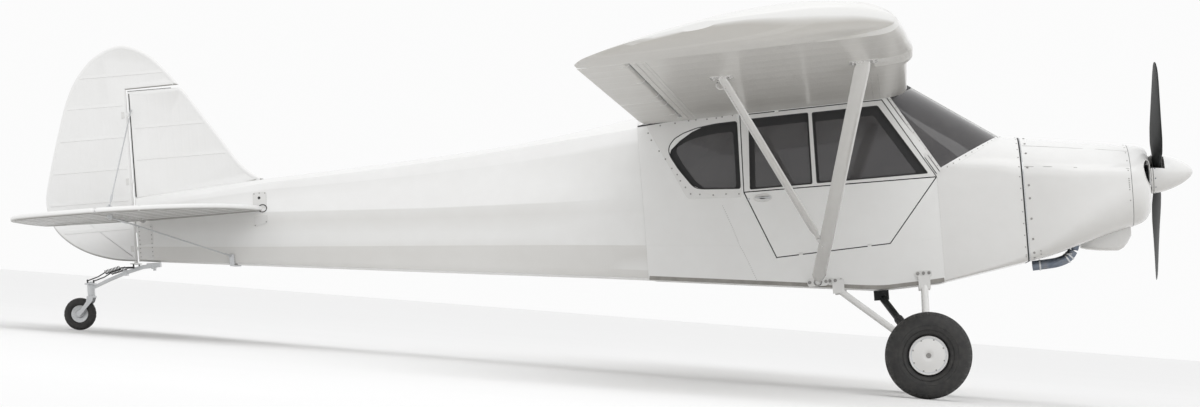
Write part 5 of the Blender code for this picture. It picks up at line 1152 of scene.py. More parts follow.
def boot_edge_point(turn, inset=0.0):
    low, high = 0.10, 0.60
    for _ in range(40):
        x = (low + high) / 2
        shoulder = value_at([(s[0], s[4]) for s in BOOT_STATIONS], x)
        height = shoulder + (value_at([(s[0], s[1]) for s in BOOT_STATIONS],
                                      x) - inset - shoulder) * math.sin(turn)
        low, high = (x, high) if boot_plane_z(x) < height else (low, x)
    half = value_at(HALF_WIDTH, x) - inset
    return Vector((x, half * math.cos(turn), boot_plane_z(x)))


def shield_line(turn, inset):
    """The straight line of the windshield's sheet at one turn, from foot to top."""
    base = boot_edge_point(turn, inset)
    base.z += GAP
    top = top_edge(math.cos(turn) * (CABIN_HALF - SHELL - 0.001 - inset))
    top.x += 0.0065 - inset
    return base, top


def boot_row(x):
    return [value_at([(r[0], r[k]) for r in BOOT_STATIONS], x) for k in range(1, 6)]


def on_boot(point):
    """The point of the boot cowl's skin beside a given point."""
    top, _, half, shoulder, _ = boot_row(point.x)
    if point.z <= shoulder:
        return Vector((point.x, math.copysign(half, point.y), point.z))
    turn = math.atan2((point.z - shoulder) / (top - shoulder), point.y / half)
    return Vector((point.x, half * math.cos(turn), shoulder + (top - shoulder) * math.sin(turn)))


def boot_normal(point):
    top, _, half, shoulder, _ = boot_row(point.x)
    if point.z <= shoulder:
        return Vector((0, math.copysign(1.0, point.y), 0))
    return Vector((0.10, point.y / half ** 2, (point.z - shoulder) / (top - shoulder) ** 2)).normalized()


def windshield():
    outer, inner = [], []
    for turn in np.linspace(0, math.pi, 73):
        for rows, inset in ((outer, 0.001), (inner, 0.006)):
            base, top = shield_line(float(turn), inset)
            rows.append([base.lerp(top, s) for s in np.linspace(0, 1, 9)])
    rings = [o + list(reversed(i)) for o, i in zip(outer, inner)]
    glass = Shape().loft(rings)
    glass.piece("windshield_sheet", "airframe", GLASS, "tinted_glass", 40, ["windshield"])
    posts, dark, trim, heads = Shape(), Shape(), Shape(), Shape()
    for side in (STARBOARD, PORT):
        base, top = shield_line(0.0 if side == PORT else math.pi, -0.002)
        # The post: two white strips with a dark line between, then a dark line and the trim
        along = (top - base).normalized()
        out = Vector((0, side, 0))
        fore = out.cross(along).normalized()
        if fore.x < 0:
            fore = -fore
        for shift, half in ((-0.026, 0.0095), (-0.004, 0.0085)):
            path = [base.lerp(top, s) + fore * shift for s in np.linspace(-0.03, 1.0, 12)]
            posts.strip(path, [fore] * 12, half, [out] * 12, 0.0030)
        for shift in (-0.015, -0.0375):
            path = [base.lerp(top, s) + fore * shift for s in np.linspace(-0.03, 1.0, 12)]
            dark.strip(path, [fore] * 12, 0.0020, [out] * 12, 0.0022)
        for share in np.linspace(0.04, 0.96, 9):
            heads.rivet(base.lerp(top, share) + fore * -0.004 + out * 0.0032, out, 0.0032, 0.0014)
    posts.piece("windshield_posts", "airframe", PAINT_METAL, "paint_white", 30)
    dark.piece("windshield_post_lines", "airframe", SEAL, "propeller_black", 30)
    # The riveted strip that laps from the glass's foot onto the boot cowl
    rings, width = [], 0.034
    for k in range(81):
        turn = math.pi * k / 80
        point = boot_edge_point(turn)
        ahead = boot_edge_point(min(math.pi, turn + 0.02)) - boot_edge_point(max(0.0, turn - 0.02))
        normal = boot_normal(point)
        down = ahead.cross(normal).normalized()
        if down.x < 0:
            down = -down
        row = [on_boot(point + down * width * share) for share in (0.0, 0.5, 1.0)]
        low = [p - boot_normal(p) * 0.0003 for p in row]
        high = [p + boot_normal(p) * 0.0013 for p in row]
        rings.append(low + high[::-1])
        if 2 <= k <= 78 and k % 3 == 2:
            heads.rivet(row[1] + boot_normal(row[1]) * 0.0013, boot_normal(row[1]), 0.0040, 0.0017)
    trim.loft(rings)
    trim.piece("windshield_foot_strip", "airframe", PAINT_METAL, "paint_white", 40)
    # A pale trim down the middle, and a seal along the top and the wing's root
    middle, seal = Shape(), Shape()
    base, top = shield_line(math.pi / 2, -0.0015)
    path = [base.lerp(top, s) for s in np.linspace(0.0, 1.0, 12)]
    up = (top - base).normalized()
    middle.strip(path, [(0, 1, 0)] * 12, 0.0065, [Vector((0, 1, 0)).cross(up) * -1] * 12, 0.0015)
    middle.piece("windshield_middle_strip", "airframe", PAINT_METAL, "paint_white", 40)
    path, across, out = [], [], []
    for turn in np.linspace(0.0, math.pi, 61):
        base, top = shield_line(float(turn), -0.0012)
        down = (base - top).normalized()
        path.append(top + down * 0.013)
        across.append(down)
        out.append(Vector((0.7, 0.5 * math.cos(turn), 0.6)).normalized())
    seal.strip(path, across, 0.016, out, 0.0018)
    seal.piece("windshield_top_seal", "airframe", SEAL, "propeller_black", 40)
    heads.piece("windshield_rivets", "airframe", PAINT_GREY, "aluminium", 60)


windshield()
print("windshield", len(pieces_made))

# %% [markdown]
# The starboard side: black bands behind the glass, painted shade that stands for the
# shadowed cabin inside, thin bright frames and dark seals round the windows, the riveted
# panel round the quarter window, the door's handle in its oval dish, and the seal in the
# gap round the split door.

# %% Cabin side
DOOR_TOP = ((-1.022, -0.0835), (-0.158, -0.0605))
DOOR_BOTTOM = ((-0.867, -0.962), (-0.175, -0.931))
WINDOW_REAR = [(-0.999, -0.539), (-0.616, -0.535), (-0.609, -0.098), (-0.974, -0.108)]
WINDOW_FRONT = [(-0.590, -0.533), (0.090, -0.527), (-0.184, -0.090), (-0.586, -0.100)]
QUARTER_SHOWN = [(-1.288, -0.514), (-1.054, -0.530), (-1.045, -0.114), (-1.179, -0.119), (-1.296, -0.135),
                 (-1.381, -0.160), (-1.439, -0.190), (-1.472, -0.229), (-1.480, -0.262), (-1.471, -0.300),
                 (-1.428, -0.379), (-1.354, -0.484), (-1.330, -0.504)]


def side_y(x, lift=0.0):
    return value_at(HALF_WIDTH, x) + lift


def on_side(x, z, lift):
    """A point on the cabin's side, on port."""
    return (x, side_y(x, lift), z)


def on_door(x, z, lift):
    """A point on the upper door's flat face."""
    return (x, CABIN_HALF + lift, z)


def corners(outline):
    """Each point of a closed outline, between the ones before and after it."""
    count = len(outline)
    for i in range(count):
        yield tuple(Vector(outline[(i + k) % count]) for k in (-1, 0, 1))


def offset(outline, margin):
    """Moves each edge of an outline outward by a margin, or inward by a negative one."""
    area = sum(a[0] * b[1] - b[0] * a[1] for a, b in zip(outline, outline[1:] + outline[:1]))
    turn = 1.0 if area > 0 else -1.0
    out = []
    for p0, p1, p2 in corners(outline):
        d1, d2 = (p1 - p0).normalized(), (p2 - p1).normalized()
        n1, n2 = Vector((d1.y, -d1.x)) * turn, Vector((d2.y, -d2.x)) * turn
        bisector = (n1 + n2).normalized()
        out.append(tuple(p1 + bisector * margin / max(0.35, bisector.dot(n1))))
    return out


def rounded(outline, radius, steps=5):
    """Rounds an outline's corners."""
    out = []
    for p0, p1, p2 in corners(outline):
        a, b = p0 - p1, p2 - p1
        reach = min(radius, a.length * 0.45, b.length * 0.45)
        start, end = p1 + a.normalized() * reach, p1 + b.normalized() * reach
        for k in range(steps + 1):
            t = k / steps
            out.append(tuple(start * (1 - t) ** 2 + p1 * 2 * t * (1 - t) + end * t * t))
    return out


def frame_between(shape, outer, inner, low, high, place):
    """A flat frame between two outlines of the same count, laid on a face by place."""
    count = len(outer)
    points, faces = [], []
    for outline in (outer, inner):
        for lift in (low, high):
            points += [place(a, b, lift) for a, b in outline]
    for i in range(count):
        j = (i + 1) % count
        ol, oh, il, ih = 0, count, 2 * count, 3 * count
        faces += [(oh + i, oh + j, ih + j, ih + i), (ol + j, ol + i, il + i, il + j),
                  (ol + i, ol + j, oh + j, oh + i), (il + j, il + i, ih + i, ih + j)]
    shape.add(points, faces)


# How far the painted-shade band reaches in from each window's edge: top, front, rear and foot
SHADE_BANDS = {"rear": (0.055, 0.010, 0.034, 0.009), "front": (0.057, 0.066, 0.017, 0.009),
         "quarter": (0.060, 0.028, 0.050, 0.008)}


def shade_band_inner(outline, reach):
    """The inner edge of a painted-shade band, drawn in by its own reach on each side."""
    top, front, rear, foot = reach

    def need(n):
        return max(top * max(0.0, -n.y) + foot * max(0.0, n.y), front * max(0.0, -n.x), rear * max(0.0, n.x))

    inner = []
    for p0, p1, p2 in corners(outline):
        d1, d2 = (p1 - p0).normalized(), (p2 - p1).normalized()
        n1, n2 = Vector((-d1.y, d1.x)), Vector((-d2.y, d2.x))
        a, b = need(n1), need(n2)
        turn = n1.x * n2.y - n1.y * n2.x
        if abs(turn) < 0.35:
            inner.append(tuple(p1 + (n1 * a + n2 * b) * 0.5))
        else:
            inner.append((p1.x + (a * n2.y - b * n1.y) / turn, p1.y + (n1.x * b - n2.x * a) / turn))
    return inner


def window_frames(side, word):
    frames = {"airframe": (Shape(), Shape(), Shape()), "door_upper": (Shape(), Shape(), Shape())}
    door_side = side == STARBOARD
    for kind, outline, owner in (("rear", WINDOW_REAR, "door_upper"), ("front", WINDOW_FRONT, "door_upper"),
                                 ("quarter", QUARTER_SHOWN, "airframe")):
        owner = owner if door_side else "airframe"
        rims, seals, shade_bands = frames[owner]
        flat = door_side and owner == "door_upper"
        depth = on_door if flat else on_side
        pane = -0.0153 if flat else -0.0203
        radius = 0.020 if kind == "quarter" else 0.012
        soft = rounded(outline, radius)
        frame_between(seals, offset(soft, 0.0012), offset(soft, -0.0050), -0.0120, 0.0003, depth)
        frame_between(rims, offset(soft, 0.0100), offset(soft, 0.0010), -0.0010, 0.0014, depth)
        inner = rounded(shade_band_inner(outline, SHADE_BANDS[kind]), radius)
        # Painted shade: a black band on each pane for the shadowed inside.
        frame_between(shade_bands, offset(soft, 0.004), inner, pane + 0.0003, pane + 0.0012, depth)
    for owner, (rims, seals, shade_bands) in frames.items():
        if not rims.points:
            continue
        rims.piece(f"window_rims_{owner}_{word}", owner, PAINT_METAL, "paint_white", 40, (), side)
        seals.piece(f"window_seals_{owner}_{word}", owner, SEAL, "propeller_black", 40, (), side)
        shade_bands.piece(f"window_shade_bands_{owner}_{word}", owner, SHADE_BAND, "propeller_black", 40, (), side)


QUARTER_SCREWS = [(-1.607, -0.143), (-1.579, -0.188), (-1.536, -0.258), (-1.501, -0.311), (-1.466, -0.371),
                  (-1.436, -0.411), (-1.420, -0.451), (-1.392, -0.493), (-1.363, -0.536), (-1.307, -0.544),
                  (-1.226, -0.554), (-1.147, -0.554), (-1.068, -0.560), (-1.517, -0.103), (-1.425, -0.097),
                  (-1.340, -0.088), (-1.296, -0.087), (-1.228, -0.088), (-1.170, -0.086), (-1.134, -0.082),
                  (-1.070, -0.078)]


def quarter_panel(side, word):
    """The thin sheet round the quarter window, its edge raised over the cloth."""
    shape, heads = Shape(), Shape()
    outline = [(-1.615, -0.075), (-1.385, -0.566), (-1.0485, -0.583), (-1.0445, -0.066)]
    outer = rounded(outline, 0.020, 3)
    window = rounded(QUARTER_SHOWN, 0.020)
    # The sheet's inner edge follows the window: matched by angle about the window's middle
    centre = Vector((-1.26, -0.32))
    angles = np.linspace(0, 2 * math.pi, 97)[:-1]

    def at_angle(loop, angle):
        direction = Vector((math.cos(angle), math.sin(angle)))
        best = None
        for a, b in zip(loop, loop[1:] + loop[:1]):
            a, b = Vector(a) - centre, Vector(b) - centre
            run = b - a
            cross = direction.x * run.y - direction.y * run.x
            if abs(cross) < 1e-9:
                continue
            t = (a.x * run.y - a.y * run.x) / cross
            s = (a.x * direction.y - a.y * direction.x) / cross
            if t > 0 and -1e-6 <= s <= 1 + 1e-6:
                best = t if best is None else max(best, t)
        return tuple(centre + direction * best)

    outer_loop = [at_angle(outer, float(a)) for a in angles]
    inner_loop = [at_angle(offset(window, 0.006), float(a)) for a in angles]
    frame_between(shape, outer_loop, inner_loop, -0.0002, 0.0011, on_side)
    for x, z in QUARTER_SCREWS:
        x = max(x, -1.595)
        heads.rivet((x, side_y(x, 0.0012), z), (0, 1, 0), 0.0050, 0.0020, 10)
    shape.piece("quarter_panel_" + word, "airframe", PAINT_METAL, "paint_white", 30, (), side)
    heads.piece("quarter_screws_" + word, "airframe", PAINT_GREY, "aluminium", 60, (), side)


for side, word in SIDES:
    window_frames(side, word)
    quarter_panel(side, word)


def door_details():
    """The handle in its dish, and the seal round the door."""
    dish, handle, seams = Shape(), Shape(), Shape()
    centre_x, centre_z = -0.925, -0.594
    rings = []
    for radius, depth in ((0.058, 0.0004), (0.054, 0.0022), (0.047, 0.0006), (0.020, 0.0004)):
        rings.append([(centre_x + radius * math.cos(t), CABIN_HALF + depth,
                       centre_z + radius * 0.46 * math.sin(t))
                      for t in np.linspace(0, 2 * math.pi, 41)[:-1]])
    dish.loft(rings)
    handle.tube(resample([(centre_x + 0.040, 0.358, centre_z), (centre_x + 0.034, 0.366, centre_z),
                          (centre_x - 0.010, 0.368, centre_z + 0.002),
                          (centre_x - 0.044, 0.364, centre_z + 0.004)], 14),
                lambda t: 0.0052 - 0.0012 * t, 10)
    handle.rod((centre_x + 0.040, 0.354, centre_z), (centre_x + 0.040, 0.362, centre_z), 0.010, 20)
    handle.rod((centre_x - 0.085, 0.3548, centre_z - 0.002), (centre_x - 0.085, 0.3575, centre_z - 0.002),
               0.008, 20)
    dish.piece("door_handle_dish", "door_lower", PAINT_METAL, "paint_white", 30, (), STARBOARD)
    handle.piece("door_handle", "door_lower", ALLOY, "aluminium", 40, (), STARBOARD)
    # A rounded dark seal lies in the gap round the door
    opening = [DOOR_TOP[0], DOOR_TOP[1], (0.134, -0.552), DOOR_BOTTOM[1], DOOR_BOTTOM[0], (-1.034, -0.552)]
    soft = rounded(opening, 0.012)
    frame_between(seams, offset(soft, 0.0062), offset(soft, 0.0004), -0.018, -0.0045, on_side)
    seams.piece("door_seal", "airframe", SEAL, "propeller_black", 30, (), STARBOARD)


door_details()
print("cabin", len(pieces_made))

# %% [markdown]
# Lift struts are streamlined steel tubes, painted white. The front one runs from a fitting
# low on the cabin to the wing, and the rear one is bolted to a lug near its foot. A chain
# of small rivets runs up the rear strut.

# %% Struts
STRUT_FOOT = (-0.629, 0.372, -1.128)
AXLE_Z, TRACK_Y = -1.627, 0.93
REAR_RATIO, REAR_SEAT = 0.168, 0.205


def strut_axes(foot, top):
    along = (top - foot).normalized()
    thick = along.cross(Vector((1, 0, 0))).normalized()
    wide = thick.cross(along).normalized()
    return along, thick, (wide if wide.x > 0 else -wide)


def strut_body(shape, foot, top, chord, deep):
    along, thick, wide = strut_axes(foot, top)
    length = (top - foot).length
    rings = []
    for reach, c, t in ((0.0, 0.55, 0.80), (0.03, 0.62, 0.86), (0.07, 0.88, 0.96), (0.10, 1.0, 1.0),
                        (length * 0.33, 1.0, 1.0), (length * 0.66, 1.0, 1.0), (length - 0.10, 1.0, 1.0),
                        (length - 0.05, 0.95, 0.97)):
        rings.append(streamline(foot + along * reach, wide, thick, chord * c, deep * t))
    flat = []
    for point in streamline(top, wide, thick, chord * 0.85, deep * 0.9):
        for _ in range(3):
            point = point + along * ((wing_bottom_z(point.x, point.y) - 0.0003 - point.z) / along.z)
        flat.append(point)
    shape.loft(rings + [flat])
    return along, thick, wide


def struts(side, word):
    foot = Vector(STRUT_FOOT)
    top = under(FRONT_SPAR_X, STRUT_TOP_Y)
    rear_top = under(REAR_SPAR_X, STRUT_TOP_Y)
    front, rear, fittings, heads = Shape(), Shape(), Shape(), Shape()
    strut_body(front, foot, top, 0.084, 0.036)
    front.box(-0.672, -0.588, 0.3553, 0.3745, -1.158, -1.108)
    joint = foot.lerp(top, REAR_RATIO)
    run = (rear_top - joint).normalized()
    lug_dir = run.cross(Vector((1, 0, 0))).normalized()
    lug_wide = lug_dir.cross(run).normalized()
    front.loft([[joint + run * r + lug_wide * a + lug_dir * b for a, b in
                 ((-0.014, -0.005), (0.014, -0.005), (0.014, 0.005),
                  (-0.014, 0.005))] for r in (0.0, REAR_SEAT)])
    front.piece("strut_front_skin_" + word, "airframe", PAINT_METAL, "paint_white", 40,
                ["strut_front_" + word], side)
    rear_foot = joint + run * (REAR_SEAT + 0.0003)
    r_along, r_thick, r_wide = strut_body(rear, rear_foot, rear_top, 0.048, 0.024)
    rear.piece("strut_rear_skin_" + word, "airframe", PAINT_METAL, "paint_white", 40, ["strut_rear_" + word],
               side)
    # Rivets up the rear strut, on the side that faces outward and down
    length = (rear_top - rear_foot).length
    out = -r_thick if r_thick.y < 0 else r_thick
    for k in range(62):
        spot = rear_foot + r_along * (0.08 + (length - 0.2) * k / 61) - r_wide * 0.010
        heads.rivet(spot + out * 0.0098, out, 0.0030, 0.0022)
    # The lug's cheek plates with their bolts, and the foot's bracket with its pin
    for sign in (-1, 1):
        a = joint + run * 0.012 + lug_dir * (0.0062 * sign)
        fittings.rod(a + run * 0.16, a + run * 0.16 + lug_dir * (0.012 * sign), 0.0090, 6)
        fittings.rod(a + run * 0.05, a + run * 0.05 + lug_dir * (0.012 * sign), 0.0075, 6)
    f_out = Vector((0, 1, 0))
    ring = rounded([(-0.694, -1.160), (-0.566, -1.160), (-0.566, -1.108), (-0.694, -1.108)], 0.022, 5)
    fittings.loft([[(x, y, z) for x, z in ring] for y in (0.3745, 0.3790)])
    for x in (-0.680, -0.580):
        heads.bolt((x, 0.3790, -1.134), f_out, 0.0070, 0.006)
    heads.tube([(-0.629 + 0.023 * math.cos(t), 0.3800, -1.136 + 0.019 * math.sin(t))
                for t in np.linspace(0, 2 * math.pi, 33)], 0.0035, 8)
    fittings.rod((-0.629, 0.3560, -1.128), (-0.629, 0.3950, -1.128), 0.0100, 16)
    fittings.bolt((-0.629, 0.3945, -1.128), f_out, 0.0095, 0.006)
    fittings.piece("strut_fittings_" + word, "airframe", PAINT_METAL, "paint_white", 35, (), side)
    heads.piece("strut_rivets_" + word, "airframe", PAINT_GREY, "aluminium", 60, (), side)


for side, word in SIDES:
    struts(side, word)
print("struts", len(pieces_made))

# %% [markdown]
# The landing gear: two tubes a side meet at the stub axle, and a pair of shock struts in
# dark sleeves crosses from a bracket under the belly. White plates with bolts carry the
# tubes on the cabin's lower edge.

# %% Landing gear
def gear(side, word):
    tubes, plates, bolts = Shape(), Shape(), Shape()
    knee = Vector((0.0, 0.790, AXLE_Z))
    tubes.rod((0.014, 0.352, -1.2125), knee, 0.021, 32)
    tubes.rod((-0.490, 0.352, -1.2070), knee, 0.020, 32)
    for fx, fz in ((0.014, -1.165), (-0.508, -1.150)):
        tubes.box(fx - 0.036, fx + 0.036, 0.3553, 0.372, fz - 0.062, fz + 0.022)
    tubes.rod((0.0, 0.720, AXLE_Z), (0.0, 0.985, AXLE_Z), 0.019, 24)
    tubes.rod((0.0, 0.800, AXLE_Z), (0.0, 0.822, AXLE_Z), 0.045, 32)
    tubes.piece("gear_legs_skin_" + word, "airframe", PAINT_METAL, "paint_white", 40, ["gear_legs_" + word],
                side)
    for fx, fz, wide in ((0.012, -1.134, 0.052), (-0.524, -1.137, 0.048)):
        ring = rounded([(fx - wide, fz - 0.022), (fx + wide, fz - 0.022), (fx + wide, fz + 0.020),
                        (fx - wide, fz + 0.020)], 0.018, 5)
        plates.loft([[(x, y, z) for x, z in ring] for y in (0.3556, 0.3600)])
        for dx in (-0.034, 0.0, 0.034):
            bolts.bolt((fx + dx, 0.3600 if abs(dx) > 0.01 else 0.3725, fz + 0.004), (0, 1, 0), 0.0068, 0.006)
    plates.piece("gear_plates_" + word, "airframe", PAINT_METAL, "paint_white", 35, (), side)
    bolts.piece("gear_bolts_" + word, "airframe", PAINT_GREY, "steel", 35, (), side)


def shock_struts():
    steel, sleeves = Shape(), Shape()
    belly = value_at(BELLY, -0.254)
    steel.box(-0.300, -0.208, -0.060, 0.060, belly - 0.060, belly - 0.0004)
    for side in (STARBOARD, PORT):
        start = Vector((-0.254, side * 0.030, belly - 0.040))
        end = Vector((-0.010, side * 0.690, AXLE_Z))
        run = (end - start).normalized()
        steel.rod(start, end, 0.022, 28)
        steel.box(-0.016, 0.014, *sorted((side * 0.672, side * 0.7197)), -1.641, -1.613)
        # Turns of shock cord under a cover show as rings along the sleeve
        rings = 15
        path = [start + run * (0.30 + 0.32 * k / (rings * 4)) for k in range(rings * 4 + 1)]
        sleeves.tube(path, lambda t: 0.0255 + 0.0033 * abs(math.sin(math.pi * t * rings)), 24)
    steel.piece("shock_struts_skin", "airframe", BLACK, "steel", 40, ["gear_shock_struts"])
    sleeves.piece("shock_cords", "airframe", SEAL, "tyre", 60)


for side, word in SIDES:
    gear(side, word)
shock_struts()
print("gear legs", len(pieces_made))

# %% [markdown]
# Balloon tyres with a blocky tread round the crown and plain bulging walls, on wheels that
# carry a white dished cover with screws round its rim.

# %% Wheels
def tyre_shape(centre, radius, width, rim, blocks, groove):
    deep = radius - rim
    outline = [(rim, -0.30 * width), (rim + 0.10 * deep, -0.42 * width), (rim + 0.45 * deep, -0.5 * width),
               (rim + 0.72 * deep, -0.46 * width), (rim + 0.90 * deep, -0.36 * width),
               (radius - 0.0008, -0.20 * width), (radius, 0.0)]
    half = resample([(r, a, 0.0) for r, a in outline], 26)
    profile = [(p.x, p.y) for p in half] + [(p.x, -p.y) for p in reversed(half[:-1])]
    sides = blocks * 8
    shape, rings = Shape(), []
    for k in range(sides):
        turn = 2 * math.pi * k / sides
        ring = []
        for r, a in profile:
            across = abs(a) / width
            tread = 1.0 if across < 0.40 and r > rim + 0.5 * deep else 0.0
            shift = 0 if abs(a) < 0.12 * width else 4
            gap = (k + shift) % 8 in (0, 1)
            lines = min(abs(across - 0.12), abs(across - 0.27)) < 0.016
            cut = groove * tread if (gap or lines) else 0.0
            rr = r - cut
            ring.append((centre[0] + rr * math.cos(turn), centre[1] + a, centre[2] + rr * math.sin(turn)))
        rings.append(ring)
    count = len(profile)
    points = [p for ring in rings for p in ring]
    faces = []
    for k in range(sides):
        a, b = k * count, ((k + 1) % sides) * count
        for i in range(count - 1):
            faces.append((a + i, a + i + 1, b + i + 1, b + i))
        faces.append((a + count - 1, a, b, b + count - 1))
    return shape.add(points, faces)


def main_wheel(side, word):
    centre, body = (0.0, TRACK_Y, AXLE_Z), "wheel_" + word
    tyre_shape(centre, 0.2575, 0.190, 0.117, 40, 0.0045).piece(
        "tyre_" + word, body, RUBBER, "tyre", 26, [f"wheel_{word}_tyre"], side)
    ribs = Shape()
    for radius, along, size in ((0.178, 0.0935, 0.0022), (0.196, 0.0925, 0.0018), (0.150, 0.0900, 0.0018)):
        for sign in (-1, 1):
            ring = [(centre[0] + radius * math.cos(t), centre[1] + sign * along,
                     centre[2] + radius * math.sin(t))
                    for t in np.linspace(0, 2 * math.pi, 97)]
            ribs.tube(ring, size, 6)
    ribs.piece("tyre_wall_ribs_" + word, body, RUBBER, "tyre", 60, (), side)
    rim, cover, screws = Shape(), Shape(), Shape()
    rim.lathe([(0.0195, -0.0646), (0.058, -0.0646), (0.072, -0.0418), (0.1167, -0.0513), (0.1167, 0.0789),
               (0.1127, 0.0836), (0.100, 0.0820), (0.090, 0.066), (0.030, 0.068), (0.0195, 0.0684)], centre,
               (0, 1, 0), 72, True)
    rim.piece("wheel_rim_" + word, body, ALLOY, "aluminium", 40, [f"wheel_{word}_hub"], side)
    profile = [(0.0, 0.0835), (0.016, 0.0838), (0.020, 0.0860), (0.040, 0.0868), (0.062, 0.0850),
               (0.090, 0.0818),
               (0.104, 0.0806), (0.108, 0.0830), (0.1128, 0.0842), (0.1145, 0.0815), (0.110, 0.0780),
               (0.0, 0.0780)]
    cover.lathe([(max(r, 0.0004), a) for r, a in profile], centre, (0, 1, 0), 96)
    cover.piece("wheel_cover_" + word, body, PAINT_METAL, "paint_white", 35, (), side)
    for k in range(8):
        turn = 2 * math.pi * (k + 0.5) / 8
        spot = (0.0965 * math.cos(turn), TRACK_Y + 0.0806, AXLE_Z + 0.0965 * math.sin(turn))
        screws.rivet(spot, (0, 1, 0), 0.0052, 0.0026, 14)
    screws.loft([[(a, TRACK_Y + d, AXLE_Z + b) for a,
                  b in ((-0.009, -0.009), (0.009, -0.009), (0.009, 0.009), (-0.009, 0.009))]
                 for d in (0.083, 0.0895)])
    screws.rod((0, TRACK_Y + 0.082, AXLE_Z), (0, TRACK_Y + 0.0855, AXLE_Z), 0.0155, 28)
    screws.piece("wheel_screws_" + word, body, PAINT_GREY, "steel", 40, (), side)


for side, word in SIDES:
    main_wheel(side, word)
tyre_shape((TAIL_LEVEL[0], 0.0, TAIL_LEVEL[1]), 0.1015, 0.062, 0.054, 24, 0.0022).piece(
    "tail_tyre", "tailwheel", RUBBER, "tyre", 28, ["tailwheel_tyre"])
print("gear", len(pieces_made))

# %% [markdown]
# Fin, rudder, tailplane and elevator are flat frames of tube under cloth: a rounded rim
# all round, shallow cloth between, and a raised tape over every rib.

# %% Tail surfaces
def shrink_loop(outline, margin):
    return [Vector(p) for p in offset(outline, -margin)]


def cloth_plate(name, outline, thick, plane, level, body, replaces, ribs, side=None, extras=None):
    """A frame with rounded rim: rings from one face round the rim to the other."""
    half = thick / 2
    rings = []
    for t in np.linspace(-math.pi / 2, math.pi / 2, 9):
        margin, rise = 0.0006 + half * 0.85 * (1 - math.cos(t)), half * math.sin(t)
        loop = shrink_loop(outline, margin)
        rings.append((loop, rise))
    for margin, rise in ((half * 0.85 + 0.010, half * 0.96), (0.030, half * 0.80)):
        loop = shrink_loop(outline, margin)
        rings.append((loop, rise))
        rings.insert(0, (loop, -rise))

    def place(p, rise):
        return (p.x, level + rise, p.y) if plane == "xz" else (p.x, p.y, level + rise)

    shape = Shape().loft([[place(p, rise) for p in loop] for loop, rise in rings])
    for (x0, b0), (x1, b1) in ribs:
        for sign in (-1, 1):
            path = [Vector((x0, b0)).lerp(Vector((x1, b1)), s) for s in np.linspace(0, 1, 8)]
            push = (0, sign, 0) if plane == "xz" else (0, 0, sign)
            wide = (0, 0, 1) if plane == "xz" else (0, 1, 0)
            points = [place(p, sign * half * 0.80) for p in path]
            shape.strip(points, [wide] * 8, 0.011, [push] * 8, half * 0.13)
    if extras:
        extras(shape)
    return shape.piece(name, body, PAINT_TAIL, "paint_fabric", 30, replaces, side)


def arc_points(points, count):
    return [(p.x, p.y) for p in resample([(a, b, 0.0) for a, b in points], count)]


FIN_LEAD = [(-4.05, -0.2120), (-4.125, -0.165), (-4.20, -0.090), (-4.30, 0.060), (-4.42, 0.240),
            (-4.512, 0.376),
            (-4.545, 0.408)]
RUDDER_CURVE = [(-4.548, 0.424), (-4.62, 0.520), (-4.74, 0.638), (-4.90, 0.704), (-5.06, 0.655),
                (-5.18, 0.545),
                (-5.27, 0.390), (-5.35, 0.150), (-5.425, -0.120), (-5.448, -0.250), (-5.430, -0.360),
                (-5.385, -0.450), (-5.295, -0.535), (-5.18, -0.600), (-5.04, -0.645), (-4.915, -0.664)]


RUDDER_AXIS_X, RUDDER_HINGES = -4.900, (0.26, -0.16, -0.585)
ELEVATOR_HINGES, TAIL_RIBS = (0.35, 1.05), (0.30, 0.48, 0.66, 0.84, 1.02, 1.20, 1.36)


def row_span(curve, z):
    """Each x where a curve crosses a level."""
    return [a[0] + (b[0] - a[0]) * (z - a[1]) / (b[1] - a[1]) for a, b in zip(curve, curve[1:])
            if (a[1] - z) * (b[1] - z) <= 0 and a[1] != b[1]]


